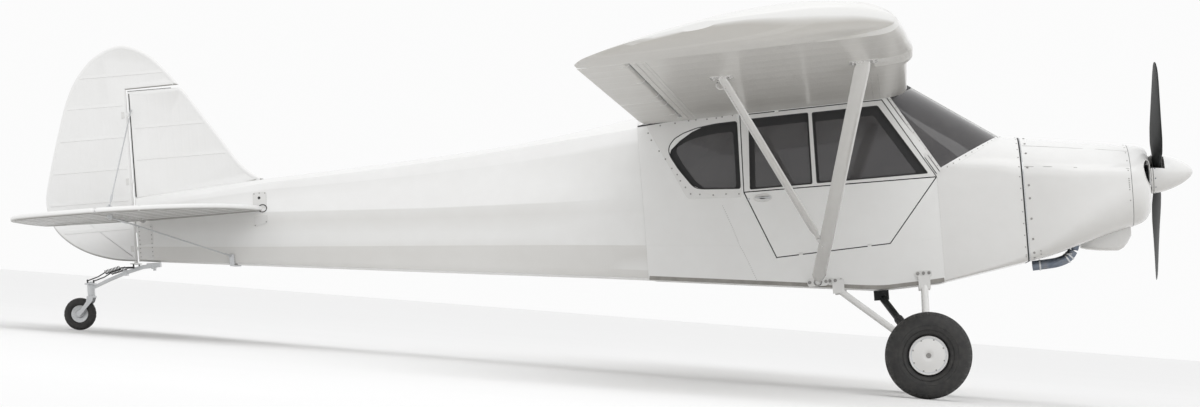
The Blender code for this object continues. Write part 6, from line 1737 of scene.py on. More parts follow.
def fin_and_rudder():
    lead = arc_points(FIN_LEAD, 40)
    base = [(x, value_at(DECK, x) - 0.016) for x in (-4.872, -4.70, -4.40, -4.20)]
    outline = lead + [(-4.879, 0.408)] + base
    ribs = []
    for z in (-0.02, 0.18):
        hit = row_span(lead, z)[0]
        ribs.append(((-4.868, z), (hit - 0.02, z)))

    def fin_extras(shape):
        shape.box(-4.879, -4.8715, -0.013, 0.013, -0.668, 0.398)
        for z in RUDDER_HINGES:
            ring = knuckle(-4.876, RUDDER_AXIS_X, 0.0, 0.0095)
            shape.loft([[(x, y, z + d) for x, y in ring] for d in (-0.011, 0.011)])

    cloth_plate("fin_skin", outline, 0.030, "xz", 0.0, "airframe", ["fin"], ribs, None, fin_extras)
    curve = arc_points(RUDDER_CURVE, 110)
    outline = curve + [(-4.8875, -0.664), (-4.8875, 0.4185)]
    ribs = []
    for z in (0.52, 0.33, 0.13, -0.07, -0.27, -0.45):
        hits = sorted(row_span(curve, z))
        far = hits[0]
        near = -4.905 if z < 0.42 else hits[-1] - 0.02
        ribs.append(((near, z), (far + 0.02, z)))

    def rudder_extras(shape):
        for z in RUDDER_HINGES:
            shape.rod((RUDDER_AXIS_X, 0, z - 0.025), (RUDDER_AXIS_X, 0, z + 0.025), 0.0036, 12)
        shape.rod((RUDDER_AXIS_X, 0, -0.6840), (RUDDER_AXIS_X, 0, -0.6600), 0.012, 24)
        shape.box(-4.918, -4.884, -0.097, 0.097, -0.6835, -0.6770)

    cloth_plate("rudder_skin", outline, 0.030, "xz", 0.0, "rudder", ["rudder"], ribs, None, rudder_extras)
    # The hinges' metal blocks with their rivets, and the dark gap that the rudder turns in
    hinges = Shape()
    for z in RUDDER_HINGES:
        hinges.box(-4.925, -4.906, -0.0162, 0.0162, z - 0.020, z + 0.020)
        for sign in (-1, 1):
            for dz in (-0.012, 0.012):
                hinges.rivet((-4.9155, sign * 0.0162, z + dz), (0, sign, 0), 0.0030, 0.0016)
    hinges.piece("rudder_hinges", "rudder", PAINT_METAL, "steel", 35)
    line = Shape()
    line.box(-4.8716, -4.8655, -0.0152, 0.0152, value_at(DECK, -4.868) + 0.002, 0.392)
    line.box(-4.8790, -4.60, -0.0040, 0.0040, 0.4082, 0.4105)
    line.piece("rudder_gap_line", "airframe", SEAL, "propeller_black", 35)


def tailplane():
    for side, word in SIDES:
        lead = arc_points([(-4.052, 0.150), (-4.085, 0.42), (-4.16, 0.76), (-4.28, 1.05), (-4.46, 1.29),
                           (-4.64, 1.42), (-4.80, 1.470)], 40)
        inner = [(x, tail_half(x) - 0.016) for x in (-4.806, -4.70, -4.40, -4.20, -4.052)]
        lead[0] = (-4.052, inner[-1][1])
        outline = lead[:-1] + [(-4.806, 1.472)] + inner[:-1]
        ribs = []
        for y in TAIL_RIBS:
            ribs.append(((-4.803, y), (max(row_span(lead, y)) - 0.02, y)))

        def lugs(shape):
            for y in ELEVATOR_HINGES:
                ring = knuckle(-4.803, ELEVATOR_HINGE_X, STAB_Z, 0.010)
                shape.loft([[(x, yy, z) for x, z in ring] for yy in (y - 0.011, y + 0.011)])

        cloth_plate("stabiliser_skin_" + word, outline, 0.034, "xy", STAB_Z, "airframe",
                    ["stabiliser_" + word], ribs,
                    side, lugs)
        curve = arc_points([(-4.835, 1.477), (-4.95, 1.475), (-5.15, 1.455), (-5.30, 1.385), (-5.375, 1.24),
                            (-5.39, 1.05), (-5.40, 0.80), (-5.395, 0.52), (-5.385, 0.36)], 60)
        outline = [(-4.815, 1.463)] + curve + [(-5.345, 0.325), (-4.985, 0.140), (-4.860, 0.092),
                                               (-4.815, 0.086)]
        ribs = []
        for y in TAIL_RIBS:
            far = min(row_span(curve, y) or [-5.28])
            ribs.append(((-4.840, y), (far + 0.02, y)))

        def tube_and_pins(shape):
            for y in ELEVATOR_HINGES:
                ends = ((ELEVATOR_HINGE_X, y + d, STAB_Z) for d in (-0.025, 0.025))
                shape.rod(*ends, 0.0036, 12)
            shape.rod((ELEVATOR_HINGE_X, 0.0, STAB_Z), (ELEVATOR_HINGE_X, 0.30, STAB_Z), 0.0155, 24)

        cloth_plate("elevator_skin_" + word, outline, 0.034, "xy", STAB_Z, "elevator", ["elevator"], ribs,
                    side,
                    tube_and_pins)


def side_at(x, z):
    """Half width of the rear fuselage at a point of its side."""
    side = tail_side(x)
    for (y0, z0), (y1, z1) in zip(side, side[1:]):
        if z0 <= z <= z1 and z1 > z0:
            return y0 + (y1 - y0) * (z - z0) / (z1 - z0)
    return side[3][0]


def tail_half(x):
    """Half width of the fuselage where the tailplane meets it."""
    return max(side_at(x, z) for z in (STAB_Z - 0.02, STAB_Z, STAB_Z + 0.02))


def tail_paint(p):
    # Painted shade: the undersides of the tail surfaces are painted a dark grey.
    underside_shade = p.up.under(-0.45, 0.35)
    # Painted light: faces that look up are painted a paler white.
    white_with_painted_light = p.up.over(0.35, 0.40).mix((0.84, 0.84, 0.835), (0.90, 0.90, 0.895))
    tone = grime(p).over(0.60, 0.30) * 0.20
    colour = underside_shade.mix(tone.mix(white_with_painted_light, (0.60, 0.58, 0.545)), (0.27, 0.26, 0.24))
    stitch = p.x.stripes(0.050, 0.010, 0.005) * 0.5
    return {"Base Color": colour, "Roughness": 0.24 + grime(p, 2.5) * 0.16,
            "Height": p.point.noise(420.0, 1.0) * 0.35 + stitch + p.point.noise(5.0, 2.0) * 0.7}


PAINT_TAIL = material("paint_tail", tail_paint, 0.0006, Coat_Weight=0.35, Coat_Roughness=0.12)
fin_and_rudder()
tailplane()

# %% [markdown]
# Round the tail: the slotted plate where the tailplane's nose meets the fuselage, the
# plate at the sternpost, the bracing wires with their turnbuckles, and the tail wheel on
# its leaf spring with two steering springs.

# %% Tail details
def tail_details():
    plates, heads, dark, wires = Shape(), Shape(), Shape(), Shape()
    for side in (STARBOARD, PORT):
        outline = rounded([(-4.112, -0.515), (-4.022, -0.495), (-4.020, -0.300), (-4.108, -0.300)], 0.015, 4)
        ring_low = [(x, side * (side_at(x, z) + 0.0003), z) for x, z in outline]
        ring_high = [(x, side * (side_at(x, z) + 0.0016), z) for x, z in outline]
        plates.loft([ring_low, ring_high])
        for x, z in ((-4.103, -0.505), (-4.031, -0.488), (-4.029, -0.308), (-4.099, -0.308),
                     (-4.065, -0.305)):
            heads.rivet((x, side * (side_at(x, z) + 0.0017), z), (0, side, 0), 0.0040, 0.0018)
        loop = []
        for t in np.linspace(0, 2 * math.pi, 25):
            x, z = -4.050 + 0.027 * math.cos(t), STAB_Z + 0.023 * math.sin(t)
            loop.append((x, side * (side_at(x, z) + 0.0014), z))
        dark.tube(loop, 0.0028, 8)
        # A black disc on each plate is painted shade where there is a hole.
        hole = [(-4.068 + 0.009 * math.cos(t), -0.335 + 0.009 * math.sin(t))
                for t in np.linspace(0, 2 * math.pi, 17)[:-1]]
        dark.loft([[(x, side * (side_at(x, z) + d), z) for x, z in hole] for d in (0.0008, 0.0021)])
        # The sternpost's cover plate with its rivets
        outline = rounded([(-4.868, -0.655), (-4.775, -0.668), (-4.770, -0.440), (-4.868, -0.440)], 0.010, 3)
        plates.loft([[(x, side * (side_at(x, z) + d), z) for x, z in outline] for d in (0.0003, 0.0015)])
        for z in np.linspace(-0.640, -0.455, 8):
            for x in (-4.860, -4.782):
                heads.rivet((x, side * (side_at(x, float(z)) + 0.0016), float(z)), (0, side, 0), 0.0036,
                            0.0017)
    plates.piece("tail_plates", "airframe", PAINT_METAL, "paint_white", 30)
    heads.piece("tail_rivets", "airframe", PAINT_GREY, "aluminium", 60)
    dark.piece("tail_dark_rings", "airframe", SEAL, "propeller_black", 40)
    # Turnbuckles near the wires' feet, and fork ends at the fin and keel
    for level, start in ((1, (-4.860, 0.025, 0.285)), (-1, (-4.27, 0.1097, -0.683))):
        for side in (STARBOARD, PORT):
            a = Vector((start[0], side * start[1], start[2]))
            b = Vector((-4.790, side * 1.150, STAB_Z + level * 0.0298))
            run = (b - a).normalized()
            wires.tube([b - run * (0.17 - 0.10 * s) for s in np.linspace(0, 1, 12)],
                       lambda t: 0.0046 + 0.0038 * math.sin(math.pi * t) ** 0.6, 12)
            wires.tube([a + run * (0.010 + 0.06 * s) for s in np.linspace(0, 1, 6)], 0.0060, 10)
            wires.bolt(b + Vector((0, 0, level * 0.012)), (0, 0, level), 0.0070, 0.005)
    wires.piece("tail_wire_ends", "airframe", ALLOY, "steel", 40)
    clips = Shape()
    for side, word in SIDES:
        coil = Shape()
        y = side * 0.085
        a, b = Vector((-4.985, y, -0.700)), Vector((-5.085, y, -0.722))
        run = (b - a).normalized()
        u = run.cross(Vector((0, 1, 0))).normalized()
        path = []
        for k in range(12 * 11 + 1):
            t = 2 * math.pi * k / 12
            path.append(a.lerp(b,
                               k / (12 * 11)) + (Vector((0, 1, 0)) * math.cos(t) + u * math.sin(t)) * 0.0118)
        coil.tube(path, 0.0028, 6)
        coil.tube([(RUDDER_AXIS_X, y, -0.7025), (-4.985, y, -0.700)], 0.0036, 8)
        coil.tube([(-5.085, y, -0.722), (-5.13, y, -0.745), (-5.200, y, -0.7655)], 0.0036, 8)
        coil.rod((RUDDER_AXIS_X, y, -0.7125), (RUDDER_AXIS_X, y, -0.6848), 0.0050, 12)
        coil.rod((-5.200, y, -0.7575), (-5.200, y, -0.7791), 0.0050, 12)
        coil.piece("steering_spring_" + word, "steering_link_" + word, SEAL, "steel", 60,
                   ["steering_link_" + word])
    # Clamp straps and bolts that hold the leaf spring
    for x, z in ((-4.79, -0.702), (-4.97, -0.731)):
        clips.box(x - 0.012, x + 0.012, -0.0262, 0.0262, z - 0.0185, z + 0.0165)
    clips.rod((-4.785, 0, -0.722), (-4.785, 0, -0.732), 0.010, 6)
    clips.piece("tail_spring_clips", "airframe", ALLOY, "steel", 35)


tail_details()
print("tail", len(pieces_made))

# %% [markdown]
# The propeller is one twisted metal blade pair in worn black, with a turned white spinner
# over its hub. The exhaust is a bent steel pipe with a clamp.

# %% Propeller and exhaust
PROP_X, PROP_RADIUS, PROP_ROLL = 1.484, 0.93, math.radians(47.0)
CYLINDER_Z, EXHAUST_Y = -0.62, -0.125


def propeller():
    axis = Vector((1, 0, 0))
    centre = Vector((PROP_X, 0.0, THRUST_Z))
    span = Vector((0, -math.sin(PROP_ROLL), math.cos(PROP_ROLL)))
    tangent = axis.cross(span)
    table = [(0.0, 0.060, 0.046, 90.0), (0.060, 0.062, 0.040, 55.0), (0.125, 0.082, 0.028, 34.0),
             (0.22, 0.120, 0.024, 33.0), (0.34, 0.134, 0.020, 29.0), (0.50, 0.136, 0.016, 22.0),
             (0.66, 0.126, 0.013, 17.5), (0.80, 0.108, 0.011, 15.0), (0.88, 0.086, 0.009, 13.8),
             (0.918, 0.055, 0.007, 13.2), (PROP_RADIUS, 0.018, 0.004, 13.0)]
    rows = [(-r, c, t, 180.0 - p) for r, c, t, p in reversed(table[1:])] + table
    radii = [r[0] for r in rows]
    rings = []
    for radius in np.linspace(-PROP_RADIUS, PROP_RADIUS, 97):
        chord, thick, pitch = (float(np.interp(radius, radii, [r[k] for r in rows])) for k in (1, 2, 3))
        angle = math.radians(pitch)
        chord_dir = tangent * math.cos(angle) + axis * math.sin(angle)
        rings.append(streamline(centre + span * float(radius), chord_dir, span.cross(chord_dir), chord,
                                thick))
    blade = Shape().loft(rings)
    blade.rod((1.4445, 0, THRUST_Z), (1.515, 0, THRUST_Z), 0.060, 48)
    blade.piece("propeller_blades", "propeller", BLACK, "propeller_black", 40, ["propeller"])
    profile = [(0.0005, 1.4445), (0.115, 1.4445), (0.119, 1.4485), (0.117, 1.475), (0.108, 1.530),
               (0.092, 1.585),
               (0.068, 1.640), (0.040, 1.682), (0.016, 1.702), (0.0005, 1.707)]
    nose = [(p.x, p.y) for p in resample([(r, a, 0.0) for r, a in profile[2:]], 40) if p.x > 0.003]
    turned = profile[:2] + nose + [(0.0005, 1.7066)]
    shape = Shape().lathe([(r, a - PROP_X) for r, a in turned], centre, axis, 96)
    spinner = shape.piece("spinner_shell", "propeller", PAINT_METAL, "paint_white", 34, ["spinner"])
    pocket = Shape().rod((1.40, 0, THRUST_Z), (1.5153, 0, THRUST_Z), 0.0603, 48)
    window = Shape().loft([[centre + span * r + tangent * a + axis * b for a, b in
                            ((-0.0521, -0.050), (0.0521, -0.050), (0.0521, 0.048),
                             (-0.0521, 0.048))] for r in (-0.2, 0.2)])
    bored(spinner, [window, pocket], 34)
    extras, screws = Shape(), Shape()
    extras.lathe([(0.1178, 1.4565 - PROP_X), (0.1196, 1.4565 - PROP_X), (0.1193, 1.4595 - PROP_X),
                  (0.1170, 1.4595 - PROP_X)],
                 centre, axis, 96, True)
    extras.lathe([(0.0625, 1.4405 - PROP_X), (0.109, 1.4405 - PROP_X), (0.109, 1.4442 - PROP_X),
                  (0.0625, 1.4442 - PROP_X)],
                 centre, axis, 72, True)
    extras.piece("spinner_backplate", "propeller", SEAL, "propeller_black", 40)
    for k in range(12):
        turn = 2 * math.pi * (k + 0.5) / 12
        out = Vector((0.10, math.cos(turn), math.sin(turn)))
        spot = centre + Vector((1.470 - PROP_X, 0.1174 * math.cos(turn), 0.1174 * math.sin(turn)))
        screws.rivet(spot, out, 0.0042, 0.0018, 12)
    screws.piece("spinner_screws", "propeller", STEEL, "steel", 60)


def exhaust():
    path = resample([(0.960, EXHAUST_Y, -0.8018), (0.955, EXHAUST_Y, -0.93), (0.945, EXHAUST_Y, -1.03),
                     (0.905, EXHAUST_Y, -1.095),
                     (0.840, EXHAUST_Y, -1.122), (0.760, EXHAUST_Y, -1.130), (0.680, EXHAUST_Y, -1.134)], 48)
    outer, inner = [], []
    for i, point in enumerate(path):
        run = path[min(i + 1, len(path) - 1)] - path[max(i - 1, 0)]
        outer.append(circle(point, run, 0.030, 32))
        inner.append(circle(point, run, 0.0262, 32))
    pipe = hollow(outer, inner)
    pipe.piece("exhaust_tube", "airframe", STEEL, "steel", 40, ["exhaust_pipe"])
    clamp = Shape()
    for share in (0.56, 0.60, 0.93):
        i = int(share * 47)
        run = (path[i + 1] - path[i - 1]).normalized()
        rings = [circle(path[i] + run * d, run, r, 32) for d,
                 r in ((-0.005, 0.0302), (-0.005, 0.0335), (0.005, 0.0335), (0.005, 0.0302))]
        clamp.loft(rings, ends=False)
    i = int(0.58 * 47)
    clamp.rod(path[i] + Vector((-0.012, -0.030, 0.018)), path[i] + Vector((0.022, -0.030, 0.018)), 0.0045, 8)
    clamp.piece("exhaust_clamp", "airframe", ALLOY, "aluminium", 40)


propeller()
exhaust()
print("propeller and exhaust", len(pieces_made))

# %% [markdown]
# The air scoop under the cowl is a soft-cornered tray, hollow at its mouth, and the flat
# four's cylinders with their cooling fins can be seen through the inlets.

# %% Scoop and engine
def scoop_and_engine():
    rings = []
    stations = [(0.985, -1.0445, 0.060), (1.02, -1.0560, 0.081), (1.06, -1.0630, 0.095),
                (1.10, -1.0690, 0.1005),
                (1.16, -1.0750, 0.1042), (1.215, -1.0790, 0.105), (1.245, -1.0640, 0.105),
                (1.27, -1.0370, 0.105),
                (1.296, -0.995, 0.105)]
    for x, bottom, half in stations:
        top = value_at([(s[0], s[2]) for s in COWL_STATIONS], x) - 0.0003
        soft = min(0.022, (top - bottom) * 0.6)
        ring = [(x, -half, top)]
        ring += [(x, -half + soft - soft * math.cos(t), bottom + soft - soft * math.sin(t))
                 for t in np.linspace(0, math.pi / 2, 7)]
        ring += [(x, half - soft + soft * math.sin(t), bottom + soft - soft * math.cos(t))
                 for t in np.linspace(0, math.pi / 2, 7)]
        ring.append((x, half, top))
        rings.append(ring)
    obj = Shape().loft(rings).piece("air_scoop_skin", "airframe", PAINT_METAL, "paint_white", 40,
                                    ["air_scoop"])
    bored(obj, [Shape().box(1.13, 1.40, -0.085, 0.085, -1.055, -0.992)], 40)
    fins, shine = Shape(), Shape()
    for x, side in ((1.22, -1), (1.18, 1), (0.97, -1), (0.93, 1)):
        for k in range(13):
            y = side * (0.145 + 0.0115 * k)
            fins.rod((x, y, CYLINDER_Z), (x, y + side * 0.0035, CYLINDER_Z), 0.076, 28)
        fins.rod((x, side * 0.295, CYLINDER_Z), (x, side * 0.318, CYLINDER_Z), 0.048, 20)
        shine.tube([(x + 0.074, side * 0.18, -0.575), (x + 0.080, side * 0.23, -0.570),
                    (x + 0.060, side * 0.30, -0.570)], 0.007, 10)
    fins.piece("cylinder_fins", "airframe", IRON, "engine_iron", 40)
    shine.piece("ignition_leads", "airframe", STEEL, "steel", 40)


scoop_and_engine()
print("nose and propeller", len(pieces_made))

# %% [markdown]
# Two seats in line: a steel tube frame carries a stuffed cushion and back in dark hide.
# Each pad bulges on both faces, is drawn in along stitched channels, and has piping round
# its edge. Drawn as a curved grid, it keeps the same shape at every run.

# %% Seats
def pad(shape, seams, centre, wide_dir, long_dir, half_wide, half_long, thick, crown, channels):
    face = Vector(wide_dir).cross(Vector(long_dir)).normalized()
    count_u, count_v = 48, 60

    def height(u, v, sign):
        edge = max(0.0, (1 - abs(u) ** 7) * (1 - abs(v) ** 7)) ** 0.45
        if sign < 0:
            return -thick * 0.5 * edge
        groove = max(math.exp(-((v - c) / 0.045) ** 2) for c in channels) * (1 - abs(u) ** 5)
        return thick * 0.5 * edge + crown * (1 - u * u) * (1 - v * v) - 0.013 * groove * edge

    def spot(u, v, rise):
        flat = Vector(centre) + Vector(wide_dir) * u * half_wide + Vector(long_dir) * v * half_long
        return flat + face * rise

    for sign in (-1, 1):
        points, faces = [], []
        for j in range(count_v + 1):
            v = math.sin(math.pi / 2 * (2 * j / count_v - 1))
            for i in range(count_u + 1):
                u = math.sin(math.pi / 2 * (2 * i / count_u - 1))
                points.append(spot(u, v, height(u, v, sign)))
        for j in range(count_v):
            for i in range(count_u):
                a = j * (count_u + 1) + i
                faces.append((a, a + 1, a + count_u + 2, a + count_u + 1))
        shape.add(points, faces)
    loop = []
    for t in np.linspace(0, 2 * math.pi, 81):
        c, s = math.cos(t), math.sin(t)
        power = 1.0 / 6.0
        loop.append(spot(math.copysign(abs(c) ** power, c) * 0.985,
                         math.copysign(abs(s) ** power, s) * 0.985, 0.0))
    seams.tube(loop, 0.0052, 10)
    for v in channels:
        line = [spot(u, v, height(u, v, 1) + 0.0002) for u in np.linspace(-0.93, 0.93, 30)]
        seams.tube(line, 0.0016, 6)


def seat(name, x):
    pads, seams, frame = Shape(), Shape(), Shape()
    across = Vector((0, 1, 0))
    pad(pads, seams, (x + 0.010, 0, -0.748), across, Vector((-1, 0, -0.03)).normalized(), 0.218, 0.232,
        0.070, 0.018,
        (-0.45, 0.0, 0.45))
    back = Vector((-0.105, 0, 0.43)).normalized()
    pad(pads, seams, (x - 0.297, 0, -0.500), across, back, 0.212, 0.222, 0.052, 0.015, (-0.5, 0.0, 0.5))
    pads_obj = pads.piece(name + "_cushions", "airframe", LEATHER, "seat_leather", 60, [name])
    seams.piece(name + "_piping", "airframe", SEAL, "seat_leather", 60)
    for side in (STARBOARD, PORT):
        y = side * 0.165
        frame.tube(resample([(x + 0.20, y, -0.985), (x + 0.17, y, -0.88), (x + 0.16, y, -0.806)], 10), 0.010,
                   12)
        frame.tube(resample([(x - 0.19, y, -0.985), (x - 0.20, y, -0.88), (x - 0.205, y, -0.806)], 10),
                   0.010, 12)
        frame.tube(resample([(x + 0.215, y, -0.800), (x, y, -0.806), (x - 0.22, y, -0.806),
                             (x - 0.275, y, -0.770),
                             (x - 0.300, y, -0.66), (x - 0.345, y, -0.46), (x - 0.372, y, -0.335)], 34),
                             0.010, 12)
        for dx in (0.20, -0.19):
            frame.lathe([(0.0005, 0.0), (0.026, 0.0), (0.026, 0.004), (0.012, 0.010), (0.0005, 0.010)],
                        (x + dx, y, -0.9995), (0, 0, 1), 24)
    for dx, z in ((0.205, -0.802), (-0.205, -0.806)):
        frame.rod((x + dx, -0.165, z), (x + dx, 0.165, z), 0.0085, 12)
    frame.rod((x - 0.362, -0.165, -0.385), (x - 0.362, 0.165, -0.385), 0.0085, 12)
    frame.piece(name + "_frame", "airframe", BLACK, "seat_leather", 60)


seat("front_seat", -0.42)
seat("rear_seat", -1.24)
print("seats", len(pieces_made))

# %% [markdown]
# Inside the cabin, seen through the tinted panes: two control sticks with moulded grips
# and gaiters on a torque tube, a black panel with blank dials, a padded hood over it with
# a compass, and a lever box under the left window.

# %% Cabin fittings
TUBE_Y = 0.318


def sticks():
    tubes, grips = Shape(), Shape()

    def grip_radius(t):
        return 0.0138 + 0.0022 * abs(math.sin(math.pi * 4.5 * t)) - 0.004 * smooth((t - 0.9) / 0.1)

    tubes.rod((-0.92, 0, -0.982), (-0.02, 0, -0.982), 0.0130, 20)
    for x in (-0.92, -0.47, -0.02):
        tubes.rod((x - 0.012, 0, -0.982), (x + 0.012, 0, -0.982), 0.0175, 20)
    for x in (-0.06, -0.88):
        stem = resample([(x, 0, -0.980), (x - 0.008, 0, -0.87), (x - 0.022, 0, -0.72),
                         (x - 0.036, 0, -0.56)], 22)
        tubes.tube(stem, lambda t: 0.0130 - 0.0025 * t, 16)
        grip = resample([(x - 0.033, 0, -0.615), (x - 0.036, 0, -0.57), (x - 0.038, 0, -0.53),
                         (x - 0.040, 0, -0.502)], 26)
        grips.tube(grip, grip_radius, 18)
        rows = [(0.046, 0.000), (0.046, 0.006), (0.036, 0.014), (0.040, 0.022), (0.030, 0.030),
                (0.033, 0.038),
                (0.022, 0.048), (0.0145, 0.060)]
        grips.lathe([(0.0135, 0.0)] + rows + [(0.0135, 0.060)], (x, 0, -0.9985), (-0.05, 0, 1), 36)
    tubes.piece("stick_tubes", "airframe", BLACK, "steel", 50, ["control_sticks"])
    grips.piece("stick_grips", "airframe", SEAL, "propeller_black", 60)


def dashboard():
    bezels, faces, marks, hood = Shape(), Shape(), Shape(), Shape()
    dials = [(-0.225, -0.565, 0.040), (-0.130, -0.525, 0.044), (-0.028, -0.515, 0.044),
             (0.075, -0.515, 0.044),
             (0.172, -0.530, 0.042), (-0.080, -0.605, 0.028), (0.005, -0.608, 0.028), (0.095, -0.606, 0.028)]
    for y, z, radius in dials:
        bezels.lathe([(radius * 0.80, 0.0), (radius, 0.0), (radius, 0.006), (radius * 0.94, 0.010),
                      (radius * 0.82, 0.009), (radius * 0.80, 0.0)], (0.1998, y, z), (-1, 0, 0), 36, True)
        faces.rod((0.1998, y, z), (0.1968, y, z), radius * 0.81, 36)
        for k in range(8):
            turn = 2 * math.pi * k / 8
            a = Vector((0.1964, y + radius * 0.60 * math.cos(turn), z + radius * 0.60 * math.sin(turn)))
            b = Vector((0.1964, y + radius * 0.74 * math.cos(turn), z + radius * 0.74 * math.sin(turn)))
            marks.tube([a, b], 0.0007, 5)
        marks.tube([(0.1960, y, z), (0.1960, y + radius * 0.35, z + radius * 0.42)], 0.0009, 5)
    for y in (-0.285, -0.255, 0.235, 0.265):
        bezels.rod((0.2000, y, -0.625), (0.170, y, -0.625), 0.0035, 10)
        bezels.rod((0.176, y, -0.625), (0.160, y, -0.625), 0.0105, 16)
    bezels.piece("dial_bezels", "airframe", SEAL, "propeller_black", 40)
    faces.piece("dial_faces", "airframe", BLACK, "propeller_black", 40)
    marks.piece("dial_marks", "airframe", PAINT_GREY, "paint_white", 60)
    # The hood is a soft roll over the panel's top edge
    rings = []
    for y in np.linspace(-0.315, 0.315, 41):
        top = float(np.interp(abs(y), [0, 0.13, 0.26, 0.345], [-0.418, -0.418, -0.448, -0.530]))
        ring = []
        for t in np.linspace(0, 2 * math.pi, 25)[:-1]:
            ring.append((0.185 + 0.062 * math.cos(t), y,
                         top - 0.004 + 0.013 * math.sin(t) * (1 + 0.3 * math.cos(t))))
        rings.append(ring)
    hood.loft(rings)
    # The compass stands on the hood, and the lever box is under the left window
    hood.tube(resample([(0.205, 0, -0.412), (0.208, 0, -0.375), (0.212, 0, -0.345)], 8), 0.012, 14)
    hood.lathe([(0.0005, -0.046), (0.026, -0.046), (0.036, -0.034), (0.040, -0.012), (0.040, 0.012),
                (0.036, 0.030),
                (0.022, 0.042), (0.0005, 0.046)], (0.213, 0, -0.300), (0.18, 0, 1), 36)
    hood.lathe([(0.0395, -0.010), (0.0435, -0.008), (0.0435, 0.008), (0.0395, 0.010)], (0.213, 0, -0.300),
               (0.18, 0, 1), 36, True)
    mound = resample([(-0.255, 0.300, -0.530), (-0.238, 0.300, -0.466), (-0.190, 0.300, -0.440),
                      (-0.135, 0.300, -0.434),
                      (-0.070, 0.300, -0.442), (-0.030, 0.300, -0.468), (-0.012, 0.300, -0.530)], 22)
    outline = mound + [Vector((-0.012, 0.3, -0.62)), Vector((-0.255, 0.3, -0.62))]
    rings = []
    for y, grow in ((0.262, 0.82), (0.266, 0.92), (0.274, 1.0), (0.318, 1.0), (0.327, 0.94)):
        rings.append([Vector((-0.134 + (p.x + 0.134) * grow, y, -0.56 + (p.z + 0.56) * grow))
                      for p in outline])
    hood.loft(rings)
    for x, lean in ((-0.17, 0.012), (-0.10, -0.016)):
        hood.rod((x, 0.270, -0.50), (x + lean * 3, 0.235, -0.435), 0.0045, 10)
        hood.lathe([(0.0005, -0.014), (0.010, -0.011), (0.014, 0.0), (0.010, 0.011), (0.0005, 0.014)],
                   (x + lean * 3, 0.233, -0.431), (0, -0.4, 0.9), 20)
    hood.piece("panel_hood", "airframe", SEAL, "propeller_black", 50)


def cabin_tubes():
    """The steel tube frame that crosses behind the panes and over the cabin."""
    tubes = Shape()
    for side in (STARBOARD, PORT):
        y = side * TUBE_Y
        tubes.rod((-1.040, y, -0.985), (-1.036, y, -0.075), 0.0105, 14)
        tubes.rod((-1.60, side * 0.30, -0.60), (-1.045, y, -0.100), 0.0095, 14)
        tubes.rod((0.150, y, -0.600), (-0.150, y, -0.085), 0.0095, 14)
    for x, z in ((-1.036, -0.100), (-0.160, -0.085)):
        tubes.rod((x, -TUBE_Y, z), (x, TUBE_Y, z), 0.0105, 14)
    tubes.piece("cabin_tubes", "airframe", BLACK, "steel", 60)


sticks()
dashboard()
cabin_tubes()
print("cabin fittings", len(pieces_made))

# %% [markdown]
# The cabin's outer details: a dark strip of painted shadow where the wing's root meets the
# side, the creases that stringers press into the cloth, a stitched diagonal seam, a dark
# grey strip along the lower edge, and the skylight's trim with its screws.

# %% Cabin trims
ROOT_LINE = [(-1.655, -0.0965), (-1.603, -0.093), (-1.268, -0.065), (-0.899, -0.046), (-0.53, -0.028),
             (-0.190, -0.016)]


def side_strip(shape, line, half, thick, count=24):
    """A thin strip along a side-view line on the fuselage's side."""
    path = resample([(x, 0.0, z) for x, z in line], count)
    points, across, out = [], [], []
    for i, p in enumerate(path):
        run = path[min(i + 1, count - 1)] - path[max(i - 1, 0)]
        points.append(Vector((p.x, side_y(p.x), p.z)))
        across.append(Vector((-run.z, 0, run.x)))
        out.append((0, 1, 0))
    shape.strip(points, across, half, out, thick)


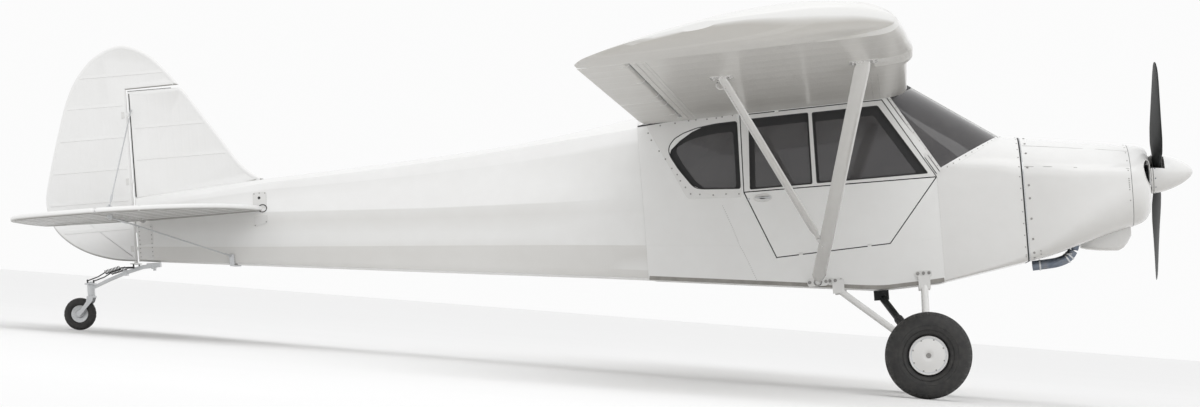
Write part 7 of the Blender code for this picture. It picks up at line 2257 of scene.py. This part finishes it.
def cabin_trims(side, word):
    seal, creases, stitches, edge = Shape(), Shape(), Shape(), Shape()
    # Painted shadow: a dark strip along the line where the wing's root meets the side.
    side_strip(seal, ROOT_LINE, 0.0045, 0.0022, 40)
    seal.piece("wing_root_shadow_" + word, "airframe", SEAL, "propeller_black", 40, (), side)
    for line in ([(-1.652, -0.827), (-1.300, -0.855), (-1.060, -0.873)], [(0.018, -0.925), (0.134, -0.9205)]):
        side_strip(creases, line, 0.0060, 0.0012)
    creases.piece("cloth_creases_" + word, "airframe", PAINT_FABRIC, "paint_fabric", 60, (), side)
    seam = resample([(-1.173, 0, -0.625), (-1.120, 0, -0.772), (-1.085, 0, -0.883), (-1.066, 0, -0.921),
                     (-0.997, 0, -1.100)], 40)
    side_strip(stitches, [(p.x, p.z) for p in seam[::4]] + [(seam[-1].x, seam[-1].z)], 0.0050, 0.0006, 36)
    stitches.piece("diagonal_seam_" + word, "airframe", PAINT_FABRIC, "paint_fabric", 60, (), side)
    thread = Shape()
    for p in seam:
        thread.rivet((p.x, side_y(p.x, 0.0007), p.z), (0, 1, 0), 0.0022, 0.0010, 6)
    thread.piece("seam_stitches_" + word, "airframe", PAINT_GREY, "paint_fabric", 60, (), side)
    # A dark grey strip runs along the side's lower edge, just above the belly.
    line = [(x, value_at(BELLY, x) + 0.0135) for x in np.linspace(-1.655, 0.136, 16)]
    side_strip(edge, line, 0.0125, 0.0009, 60)
    edge.piece("belly_edge_" + word, "airframe", DARK_EDGE_PAINT, "paint_white", 40, (), side)


for side, word in SIDES:
    cabin_trims(side, word)


def roof_top(x, y):
    """Height of the roof's outer face between the wing roots."""
    crown = 0.034 * (1.0 - (y / value_at(HALF_WIDTH, x)) ** 2)
    front = top_edge(y)
    ease = smooth((front.x - x) / 0.30)
    return front.z + (wing_top_z(x) - 0.012 + crown - front.z) * ease


def roof_details():
    """Trim and screws round the skylight."""
    trim, heads = Shape(), Shape()
    loop = rounded([(-1.315, -0.250), (-0.445, -0.250), (-0.445, 0.250), (-1.315, 0.250)], 0.05, 5)
    inner = rounded([(-1.285, -0.220), (-0.475, -0.220), (-0.475, 0.220), (-1.285, 0.220)], 0.04, 5)
    frame_between(trim, loop, inner, 0.0002, 0.0022, lambda x, y, lift: (x, y, roof_top(x, y) + lift))
    trim.piece("skylight_trim", "airframe", PAINT_METAL, "paint_white", 40)
    mid = resample([(x, y, 0) for x, y in loop + loop[:1]], 41)
    for p in mid[:-1]:
        x, y = -0.88 + (p.x + 0.88) * 0.982, p.y * 0.94
        heads.rivet((x, y, roof_top(x, y) + 0.0022), (0, 0, 1), 0.0040, 0.0018)
    heads.piece("skylight_screws", "airframe", PAINT_GREY, "aluminium", 60)


roof_details()
print("details", len(pieces_made))
